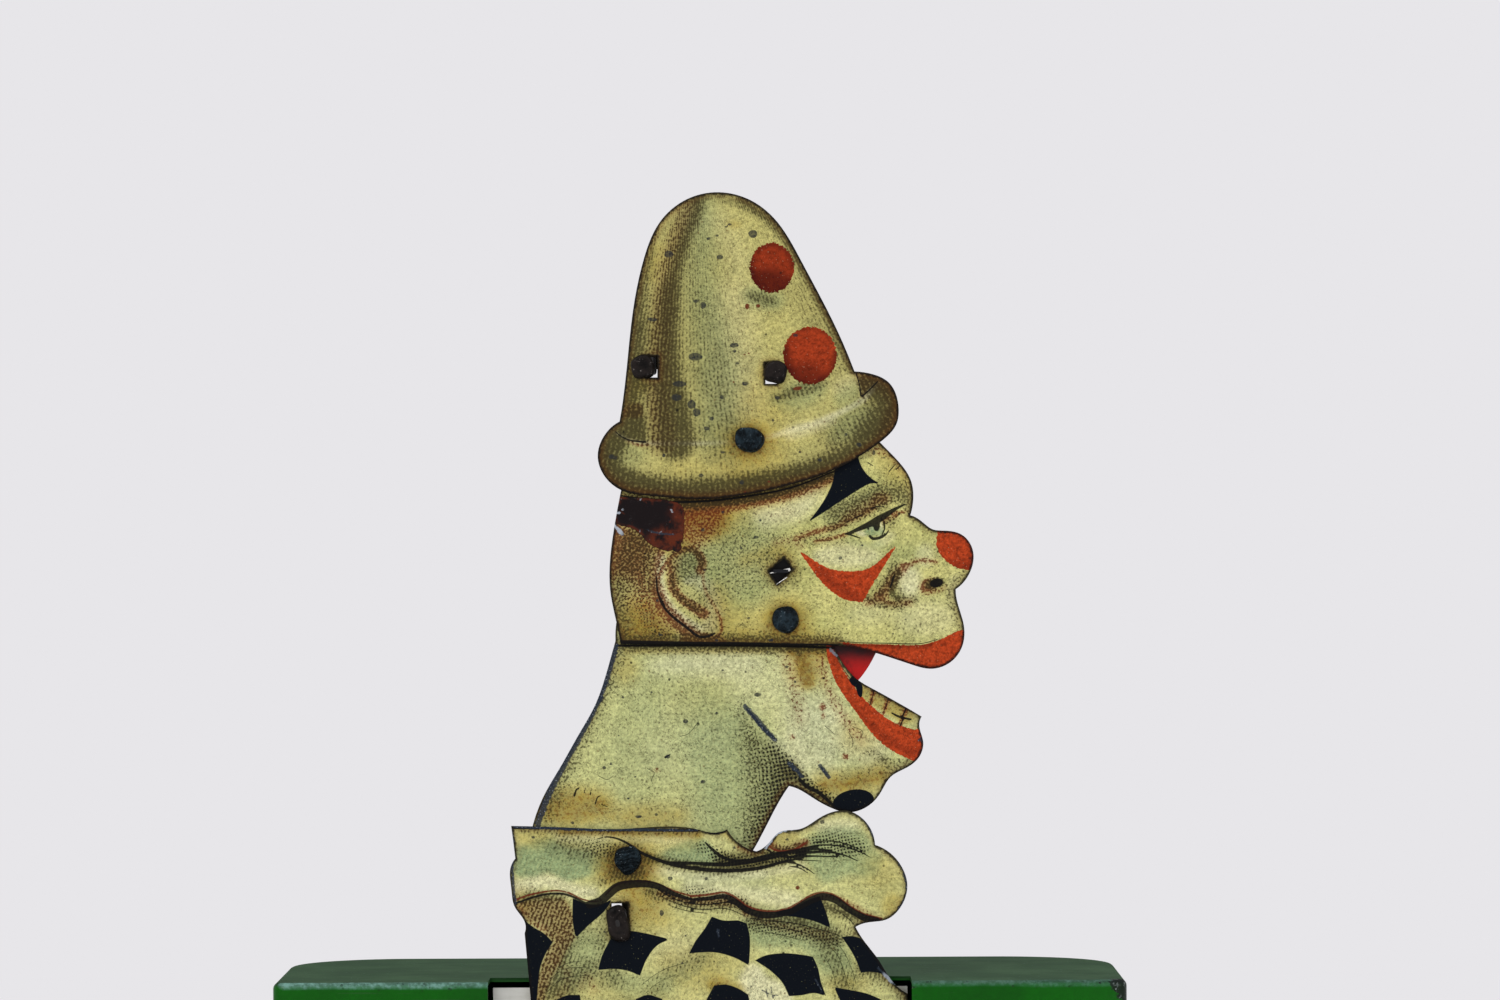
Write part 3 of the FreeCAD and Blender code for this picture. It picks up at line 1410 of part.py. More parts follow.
def build_head():
    """Head plate, the red mouth lining behind it and the rivets that join them."""
    grid = float(s.head_height) / extent(HEAD_OUTLINE, 1)
    holes = [(zero, zero, s.rivet_shank), (s.hat_pivot_over, hat_pivot_rise, s.rivet_shank)]
    head = tin_plate("head_plate", HEAD_OUTLINE, grid, 0, head_pivot, holes)
    slot = new_sketch(head, "XZ_Plane", "cheek_slot")
    x, z, half = s.cheek_slot_over, s.cheek_slot_rise, s.cheek_slot_width / 2
    low, high = half * 0.3, half * 1.1
    right, left = (x + half, z + half * 0.2), (x - half, z)
    draw_polygon(slot, [left, (x - low, z - high), right, (x + low, z + high)])
    pocket(head, slot, s.tin_gauge * 4, both_ways=True)
    pin = (s.mouth_pin_over, s.mouth_pin_rise, s.link_pin)
    holes = [(zero, zero, s.rivet_shank), pin]
    lining = tin_plate("mouth_plate", MOUTH_OUTLINE, grid, 2, head_pivot, holes)
    pieces.remove(lining)
    blade = s.tin_gauge / 2
    reach = s.cheek_slot_width * 0.32
    tab = block(
        "cheek_tab",
        (head_pivot[0] + x - reach, head_pivot[0] + x + reach),
        (figure_front - s.tin_gauge * 1.5, layer_rear(2)),
        (head_pivot[1] + z - blade, head_pivot[1] + z + blade),
    )
    finished(joined("mouth_lining", [lining, tab]), "mouth_lining")
    domed_rivet("head_rivet", head_pivot, figure_front, layer_rear(2), s.rivet_head)
    link_rivet("mouth_link_pin", mouth_pin, layer_rear(2) - s.tin_gauge, layer_rear(3) + s.pivot_play)


def build_hat():
    """Hat plate, its rivet and the bracket whose two tabs are folded over in the hat's slots."""
    grid = float(s.hat_height) / extent(HAT_OUTLINE, 1)
    run = s.pivot_play
    hat = tin_plate("hat_plate", HAT_OUTLINE, grid, -1, hat_pivot, [(zero, zero, s.rivet_shank + run)])
    width, height = s.hat_slot_width, s.hat_slot_height
    cut_slot(hat, "left_hat_slot", s.left_hat_slot_over, s.left_hat_slot_rise, width, height)
    cut_slot(hat, "right_hat_slot", s.right_hat_slot_over, s.right_hat_slot_rise, width, height)
    hat_front = layer_rear(-1) - s.tin_gauge
    domed_rivet("hat_rivet", hat_pivot, hat_front, layer_rear(0), s.rivet_tail)
    gauge = s.tin_gauge
    rear = layer_rear(1)
    strip_low = hat_pivot[1] + s.right_hat_slot_rise + gauge * 1.5
    strip_high = strip_low + s.link_width * 0.8
    parts = []
    left_slot = (s.left_hat_slot_over, s.left_hat_slot_rise, gauge / 2)
    right_slot = (s.right_hat_slot_over, s.right_hat_slot_rise, s.hat_fold_width * 0.7)
    for over, rise, beyond in (left_slot, right_slot):
        slot_x, slot_z = hat_pivot[0] + over, hat_pivot[1] + rise
        half_slot = s.hat_slot_height / 2
        blade = (slot_x - gauge / 2, slot_x + gauge / 2)
        blade_height = (slot_z - half_slot * 0.2, slot_z + half_slot * 0.9)
        parts.append(block("hat_tab", blade, (hat_front - gauge, rear), blade_height))
        edge, low = slot_x + beyond, slot_z - half_slot + s.hat_fold_lift
        across, upright = (edge - s.hat_fold_width, edge), (low, low + s.hat_fold_height)
        parts.append(folded_end("hat_fold", across, (hat_front - gauge, hat_front), upright))
    left = hat_pivot[0] + s.left_hat_slot_over - gauge / 2
    arm_half = s.link_width / 2
    arm_left, arm_right = hat_pin[0] - arm_half, hat_pin[0] + arm_half
    strip = block("hat_strip", (left, arm_right), (rear - gauge, rear), (strip_low, strip_high))
    arm = block("hat_arm", (arm_left, arm_right), (rear - gauge, rear), (hat_pin[1], strip_high))
    eye = bar("hat_arm_end", arm_half, gauge, hat_pin[0], rear - gauge, hat_pin[1])
    hole = bar("hat_arm_hole", s.link_pin, gauge, hat_pin[0], rear - gauge, hat_pin[1])
    blank = joined("hat_bracket_blank", parts + [strip, arm, eye])
    finished(less("hat_bracket", blank, hole), "hat_bracket")
    link_rivet("hat_link_pin", hat_pin, rear - gauge, layer_rear(4) + s.pivot_play)


def build_links():
    """The two push links that turn the head on the neck and the hat on the head."""
    play = s.link_play
    snug = s.link_pin + s.pivot_play
    link("head_link", torso_pin, mouth_pin, 3, s.link_width, snug, s.link_pin + play)
    link("hat_link", neck_pin, hat_pin, 4, s.link_width, snug, s.link_pin + play)


def build_escutcheon():
    """Ring that lines the keyhole in the rear wall."""
    x, z = barrel
    ring = bar("escutcheon_ring", s.escutcheon_radius, s.escutcheon_height, x, case_rear, z)
    sleeve_start = case_rear - s.case_gauge
    length = s.case_gauge + s.escutcheon_height
    sleeve = bar("escutcheon_sleeve", s.keyhole_radius - s.running_fit, s.case_gauge, x, sleeve_start, z)
    bore = bar("escutcheon_bore", s.arbor_rear_pivot + s.pivot_shake, length, x, sleeve_start, z)
    finished(less("key_escutcheon", joined("escutcheon_blank", [ring, sleeve]), bore), "key_escutcheon")


# Places that several pieces share
great_wheel_front = front_plate_rear + s.barrel_gap
centre_wheel_front = front_plate_rear + s.centre_wheel_gap
crank_wheel_front = front_plate_rear + s.crank_wheel_gap
stop_rear = rear_plate_front - s.brake_disc_gap
stop_layer = (stop_rear - s.brake_disc_gauge, stop_rear)
click_pivot = (barrel[0] + s.click_pivot_over, barrel[1] + s.click_pivot_rise)
pillar_places = [
    (x, z) for x in (s.left_pillar_x, s.right_pillar_x) for z in (s.low_pillar_z, s.high_pillar_z)
]
foot_rivets = [
    (x, y)
    for x in (s.left_foot_x, s.right_foot_x)
    for y in (front_plate_rear + s.foot_length * 0.6, rear_plate_front - s.foot_length * 0.6)
]
slot_right = neck_pivot[0] + s.collar_slot_over + s.collar_slot_width / 2
bracket_left = slot_right - s.bracket_gauge - s.screw_play
bracket_bottom = s.case_height - s.bracket_foot
bracket_rivet_x = bracket_left + s.bracket_width / 2
bracket_rivet_heights = [bracket_bottom + s.bracket_foot * share for share in (0.2, 0.7)]

build_case()
build_base()
build_case_screws()
build_escutcheon()
build_movement_plates()
build_frame_fasteners()
build_barrel()
build_winding_work()
build_train()
build_stop_lever()
build_torso()
build_neck()
build_head()
build_hat()
build_links()
doc.recompute()

for obj in doc.Objects:
    if "Invalid" in obj.State or "Error" in obj.State:
        raise ValueError(f"{obj.Label} failed: {obj.State}")
for item in pieces:
    if item.Shape.isNull() or not item.Shape.isValid() or not item.Shape.Solids:
        raise ValueError(f"{item.Label} has no valid solid")
os.makedirs("parts", exist_ok=True)
for item in pieces:
    item.Shape.exportStep(f"parts/{item.Label}.step")
    print(f"{item.Label}: {len(item.Shape.Solids)} solid(s), {item.Shape.Volume:.1f} mm3")
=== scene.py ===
"""A tin clockwork clown: a flat printed figure, cut in four jointed plates, that nods above a green case.

The printed plates are made here as fine sheets whose points carry the drawing as distances, so
that each line and patch keeps a sharp edge. The rivets and the folded tabs are shaped here too.
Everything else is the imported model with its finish.
"""

import json
import logging
import math
from dataclasses import dataclass, field
from enum import Enum
from typing import Any

import bpy
import numpy as np
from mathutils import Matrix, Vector, geometry

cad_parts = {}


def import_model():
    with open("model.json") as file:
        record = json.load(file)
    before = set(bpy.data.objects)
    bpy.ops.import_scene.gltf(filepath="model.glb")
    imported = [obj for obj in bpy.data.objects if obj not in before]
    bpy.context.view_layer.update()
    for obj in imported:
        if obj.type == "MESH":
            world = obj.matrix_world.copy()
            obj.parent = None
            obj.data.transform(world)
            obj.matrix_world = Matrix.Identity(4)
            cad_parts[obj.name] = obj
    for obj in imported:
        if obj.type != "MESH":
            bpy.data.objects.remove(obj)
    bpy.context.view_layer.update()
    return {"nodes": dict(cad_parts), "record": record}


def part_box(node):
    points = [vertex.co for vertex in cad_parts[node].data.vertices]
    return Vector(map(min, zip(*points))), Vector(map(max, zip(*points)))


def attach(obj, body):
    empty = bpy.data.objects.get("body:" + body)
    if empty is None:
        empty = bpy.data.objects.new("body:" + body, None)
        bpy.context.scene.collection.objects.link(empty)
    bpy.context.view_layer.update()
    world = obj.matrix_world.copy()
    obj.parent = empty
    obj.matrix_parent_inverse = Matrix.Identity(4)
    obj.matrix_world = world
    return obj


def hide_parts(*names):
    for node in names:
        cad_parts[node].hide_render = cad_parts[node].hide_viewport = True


log = logging.getLogger("clown")

MM = 0.001  # metres
PER_METRE = 1000.0  # millimetres
UNITS_PER_MM = 8.0  # drawing units in a millimetre
DRAWING_LEFT = 698.0  # u of the middle of the case
DRAWING_BASE = 987.0  # v at the height below
DRAWING_RISE = 52.0  # height in millimetres that the drawing is counted from
REACH = 3.0  # greatest depth in millimetres that the layers tell apart
WELD = 0.0004  # distance in millimetres below which two points of a piece are one
SHARP_BEND = math.radians(50)  # faces that meet at more than this are shaded apart

Array = np.ndarray
Points = tuple[tuple[float, float], ...]


def drawn(points: Any) -> Array:
    """Turn places of the drawing into millimetres.

    The drawing counts eighths of a millimetre, to the right and downwards: x = (u - left) / 8
    and z = rise + (base - v) / 8.

    Args:
        points: Pairs (u, v) of the drawing.

    Returns:
        An array of pairs (x, z) in millimetres.
    """
    pairs = np.asarray(points, float).reshape(-1, 2)
    x = (pairs[:, 0] - DRAWING_LEFT) / UNITS_PER_MM
    z = DRAWING_RISE + (DRAWING_BASE - pairs[:, 1]) / UNITS_PER_MM
    return np.stack([x, z], axis=1)


def smooth(points: Array, closed: bool, spans: int = 6) -> Array:
    """Lead a smooth curve through a row of points.

    Each span is the cubic through its two ends whose slopes there are half the step between the
    neighbours on either side.

    Args:
        points: The points that the curve passes through.
        closed: Whether the last point leads back to the first.
        spans: Number of steps between two points.

    Returns:
        The points of the curve in order.
    """
    if closed:
        before, after, later = (np.roll(points, k, axis=0) for k in (1, -1, -2))
        start = points
    else:
        padded = np.concatenate([points[:1] * 2 - points[1:2], points, points[-1:] * 2 - points[-2:-1]])
        before, start, after, later = padded[:-3], padded[1:-2], padded[2:-1], padded[3:]
    t = (np.arange(spans) / spans)[None, :, None]
    p0, p1, p2, p3 = (row[:, None, :] for row in (before, start, after, later))
    curve = 0.5 * (
        2 * p1
        + (p2 - p0) * t
        + (2 * p0 - 5 * p1 + 4 * p2 - p3) * t**2
        + (3 * p1 - p0 - 3 * p2 + p3) * t**3
    )
    curve = curve.reshape(-1, 2)
    return curve if closed else np.concatenate([curve, points[-1:]])


def span_distances(places: Array, starts: Array, ends: Array) -> tuple[Array, Array]:
    """Measure from places to straight spans.

    The distance to a span is the length from the place to its foot on the span, where the foot's
    share along the span is held between 0 and 1.

    Args:
        places: Places (x, z), n of them.
        starts: Starts of the spans, m of them.
        ends: Ends of the spans.

    Returns:
        The distances and the shares along each span, both n by m.
    """
    along = ends - starts
    length = np.maximum((along**2).sum(axis=1), 1e-12)
    off_x = places[:, :1] - starts[:, 0]
    off_z = places[:, 1:] - starts[:, 1]
    share = np.clip((off_x * along[:, 0] + off_z * along[:, 1]) / length, 0.0, 1.0)
    gap = np.hypot(off_x - share * along[:, 0], off_z - share * along[:, 1])
    return gap, share


def inside_spans(places: Array, starts: Array, ends: Array) -> Array:
    """Tell which places lie inside closed outlines.

    A place is inside when an odd number of spans lie to one side of it. The side is chosen along
    the longer way across the places, so that few spans have to be looked at.

    Args:
        places: Places (x, z).
        starts: Starts of the spans.
        ends: Ends of the spans.

    Returns:
        True for each place that is inside.
    """
    across = np.ptp(places, axis=0)
    order = slice(None) if across[0] >= across[1] else slice(None, None, -1)
    places, starts, ends = places[:, order], starts[:, order], ends[:, order]
    low, high = places[:, 1].min(), places[:, 1].max()
    met = (np.minimum(starts[:, 1], ends[:, 1]) <= high) & (np.maximum(starts[:, 1], ends[:, 1]) >= low)
    starts, ends = starts[met], ends[met]
    x, z = places[:, :1], places[:, 1:]
    rise = ends[:, 1] - starts[:, 1]
    level = np.where(rise == 0.0, 1.0, rise)
    crossing = starts[:, 0] + (z - starts[:, 1]) / level * (ends[:, 0] - starts[:, 0])
    passed = ((starts[:, 1] <= z) != (ends[:, 1] <= z)) & (x < crossing)
    return passed.sum(axis=1) % 2 == 1


def in_blocks(places: Array, measure: Any, block: int = 1500) -> Array:
    """Apply a measure to the places a block at a time, which keeps the tables small."""
    rows = [measure(places[k : k + block]) for k in range(0, len(places), block)]
    return np.concatenate(rows) if rows else np.zeros(0)


def outline_depth(places: Array, starts: Array, ends: Array, reach: float = REACH) -> Array:
    """Depth inside closed outlines in millimetres.

    The depth is the distance to the nearest span, counted positive within and negative outside,
    and it is held at the reach, so that only spans near a block are measured.

    Args:
        places: Places (x, z).
        starts: Starts of the spans.
        ends: Ends of the spans.
        reach: Greatest depth that is told apart.

    Returns:
        The depth of each place.
    """
    span_low, span_high = np.minimum(starts, ends), np.maximum(starts, ends)

    def measure(part: Array) -> Array:
        """Depth of one block of places.

        Args:
            part: Places of the block.

        Returns:
            Their depths.
        """
        low, high = part.min(axis=0) - reach, part.max(axis=0) + reach
        near = ((span_low <= high) & (span_high >= low)).all(axis=1)
        gap = np.full(len(part), reach)
        if near.any():
            gap = np.minimum(span_distances(part, starts[near], ends[near])[0].min(axis=1), reach)
        return np.where(inside_spans(part, starts, ends), gap, -gap)

    return in_blocks(places, measure)


@dataclass(frozen=True)
class Patch:
    """A printed area, bounded by smooth arcs that meet in corners.

    Attributes:
        arcs: Each arc's points in the drawing, the arcs in order round the area.
    """

    arcs: tuple[Points, ...]

    def outline(self) -> Array:
        """Closed outline of the area in millimetres.

        Returns:
            The outline's points in order.
        """
        if len(self.arcs) == 1:
            return smooth(drawn(self.arcs[0]), closed=True)
        return np.concatenate([smooth(drawn(arc), closed=False)[:-1] for arc in self.arcs])

    def depth(self, places: Array) -> Array:
        """Depth of each place inside the area, held at the drawing's reach away from it.

        Args:
            places: Places (x, z) in millimetres.

        Returns:
            The depths in millimetres.
        """
        outline = self.outline()
        depth = np.full(len(places), -REACH)
        low, high = outline.min(axis=0) - REACH, outline.max(axis=0) + REACH
        near = ((places > low) & (places < high)).all(axis=1)
        depth[near] = outline_depth(places[near], outline, np.roll(outline, -1, axis=0))
        return depth

    def key_points(self) -> Array:
        """Places where a sheet needs a point of its own: the corners between arcs."""
        return np.concatenate([drawn(arc)[:1] for arc in self.arcs])


@dataclass(frozen=True)
class Stroke:
    """A printed line whose width changes evenly along it.

    Attributes:
        points: The line's points in the drawing.
        start: Width at its first point, in drawing units.
        end: Width at its last point.
        swell: Extra width at its middle.
    """

    points: Points
    start: float
    end: float
    swell: float = 0.0

    def depth(self, places: Array) -> Array:
        """Half of the line's width less the distance to the line, at each place.

        Args:
            places: Places (x, z) in millimetres.

        Returns:
            The depths in millimetres.
        """
        line = smooth(drawn(self.points), closed=False, spans=4)
        count = len(line) - 1
        widest = (max(self.start, self.end) + self.swell) / UNITS_PER_MM / 2
        depth = np.full(len(places), -REACH)
        low, high = line.min(axis=0) - REACH - widest, line.max(axis=0) + REACH + widest
        near = ((places > low) & (places < high)).all(axis=1)

        def measure(part: Array) -> Array:
            """Depth of one block of places.

            Args:
                part: Places of the block.

            Returns:
                Their depths.
            """
            gap, share = span_distances(part, line[:-1], line[1:])
            along = (np.arange(count) + share) / count
            width = self.start + (self.end - self.start) * along + self.swell * 4 * along * (1 - along)
            return (width / UNITS_PER_MM / 2 - gap).max(axis=1)

        depth[near] = in_blocks(places[near], measure)
        return np.maximum(depth, -REACH)

    def key_points(self, step: float = 0.16) -> Array:
        """Places where a sheet needs a point of its own: along the middle of a thin line.

        Args:
            step: Spacing of the places in millimetres.

        Returns:
            The places.
        """
        line = smooth(drawn(self.points), closed=False, spans=4)
        run = np.concatenate([[0.0], np.cumsum(np.linalg.norm(np.diff(line, axis=0), axis=1))])
        at = np.linspace(0.0, run[-1], max(int(run[-1] / step), 2))
        return np.stack([np.interp(at, run, line[:, k]) for k in (0, 1)], axis=1)


def blot(centre: tuple[float, float], across: float, high: float, turn: float = 0.0) -> Patch:
    """An oval area: the points of an ellipse, turned about its centre.

    Args:
        centre: Its centre in the drawing.
        across: Its full width in drawing units.
        high: Its full height.
        turn: Turn in degrees, clockwise in the drawing.

    Returns:
        The area.
    """
    angle = np.linspace(0.0, 2 * math.pi, 12, endpoint=False)
    turned = math.radians(turn)
    u, v = across / 2 * np.cos(angle), high / 2 * np.sin(angle)
    x = centre[0] + u * math.cos(turned) - v * math.sin(turned)
    y = centre[1] + u * math.sin(turned) + v * math.cos(turned)
    return Patch((tuple(zip(x.tolist(), y.tolist())),))


@dataclass(frozen=True)
class Tone:
    """A soft tone: full inside a shape and fading to nothing over a width outside its edge.

    Attributes:
        shape: The patch or stroke that the tone spreads from.
        fade: Width of the fade in drawing units.
        strength: Tone inside, from 0 to 1.
        inner: Share of the fade that lies inside the edge.
    """

    shape: Patch | Stroke
    fade: float
    strength: float = 1.0
    inner: float = 0.25

    def value(self, places: Array) -> Array:
        """Tone at each place: the smooth step of the depth across the fade.

        Args:
            places: Places (x, z) in millimetres.

        Returns:
            The tone, from 0 to its strength.
        """
        width = self.fade / UNITS_PER_MM
        share = np.clip(self.shape.depth(places) / width + 1.0 - self.inner, 0.0, 1.0)
        return self.strength * share**2 * (3 - 2 * share)


class Print(str, Enum):
    """The layers of the print, each a number at every point of a sheet."""

    RED = "red"
    MAROON = "maroon"
    INK = "ink"
    LINE = "line"
    FLECK = "fleck"
    WEAR = "wear"
    VARNISH = "varnish"
    SHADE = "shade"
    DOTS = "dots"
    WARM = "warm"
    COOL = "cool"
    PALE = "pale"
    RUST = "rust"
    DEEP = "deep"
    RIM = "rim"
    RUN = "run"


SHARP_LAYERS = (Print.RED, Print.MAROON, Print.INK, Print.LINE, Print.FLECK, Print.WEAR, Print.VARNISH)
SOFT_LAYERS = (Print.SHADE, Print.DOTS, Print.WARM, Print.COOL, Print.PALE, Print.RUST, Print.DEEP)
KEPT_WHOLE = (Print.LINE, Print.MAROON, Print.INK, Print.RED, Print.WEAR)  # get points of their own


@dataclass(frozen=True)
class Artwork:
    """What is printed on one plate, layer by layer.

    Attributes:
        shapes: Patches and lines of each sharp layer, and tones of each soft one.
        rays: Place in the drawing from which the fine shading lines spread.
        ray_span: Distance from there at which the lines stand at their usual spacing.
    """

    shapes: dict[Print, tuple[Patch | Stroke | Tone, ...]]
    rays: tuple[float, float]
    ray_span: float

    def layers(self, places: Array) -> dict[Print, Array]:
        """Work out every layer at the places.

        A sharp layer is the greatest depth of its shapes. A soft layer is what remains of 1 when
        each tone takes its share away, taken from 1. The run of the shading lines is the angle
        about their common point times the usual distance from it.

        Args:
            places: Places (x, z) in millimetres.

        Returns:
            Each layer's value at the places.
        """
        found: dict[Print, Array] = {}
        for layer in SHARP_LAYERS:
            depth = np.full(len(places), -REACH)
            for shape in self.shapes.get(layer, ()):
                depth = np.maximum(depth, shape.depth(places))
            found[layer] = depth
        for layer in SOFT_LAYERS:
            left = np.ones(len(places))
            for tone in self.shapes.get(layer, ()):
                left *= 1 - tone.value(places)
            found[layer] = 1 - left
        apex = drawn(self.rays)[0]
        angle = np.arctan2(places[:, 0] - apex[0], apex[1] - places[:, 1])
        found[Print.RUN] = angle * self.ray_span / UNITS_PER_MM
        return found

    def key_points(self) -> Array:
        """Places where the sheet needs points of its own, so that thin lines and corners stay whole."""
        rows = [shape.key_points() for layer in KEPT_WHOLE for shape in self.shapes.get(layer, ())]
        return np.concatenate(rows)


Row = tuple[float, ...]


def paired(row: Row) -> Points:
    """Points of a row of numbers that gives u and v in turn."""
    return tuple(zip(row[::2], row[1::2]))


def area(*arcs: Row) -> Patch:
    """Build an area from the arcs round it.

    Args:
        arcs: Each arc's u and v in turn, from one corner to the last point before the next corner,
            which is the start of the next arc. A single arc is a smooth closed curve.

    Returns:
        The area.
    """
    if len(arcs) == 1:
        return Patch((paired(arcs[0]),))
    return Patch(tuple(paired(arc + later[:2]) for arc, later in zip(arcs, arcs[1:] + arcs[:1])))


def spots(*rows: Row) -> tuple[Patch, ...]:
    """Oval spots, each from its centre's u and v, its width, its height and any turn."""
    return tuple(blot(row[:2], *row[2:]) for row in rows)


def lines(*rows: Row) -> tuple[Stroke, ...]:
    """Sharp lines, each from its widths at start and end, its swell at the middle, then u and v in turn."""
    return tuple(Stroke(paired(row[3:]), *row[:3]) for row in rows)


def strokes(*rows: Row) -> tuple[Tone, ...]:
    """Soft strokes, each from its widths at start and end, its fade, its strength, then u and v in turn."""
    return tuple(Tone(Stroke(paired(row[4:]), *row[:2]), *row[2:4]) for row in rows)


def glows(*rows: Row) -> tuple[Tone, ...]:
    """Soft ovals, each from its centre's u and v, its width, height, fade, strength and any turn."""
    return tuple(Tone(blot(row[:2], *row[2:4], *row[6:]), *row[4:6]) for row in rows)


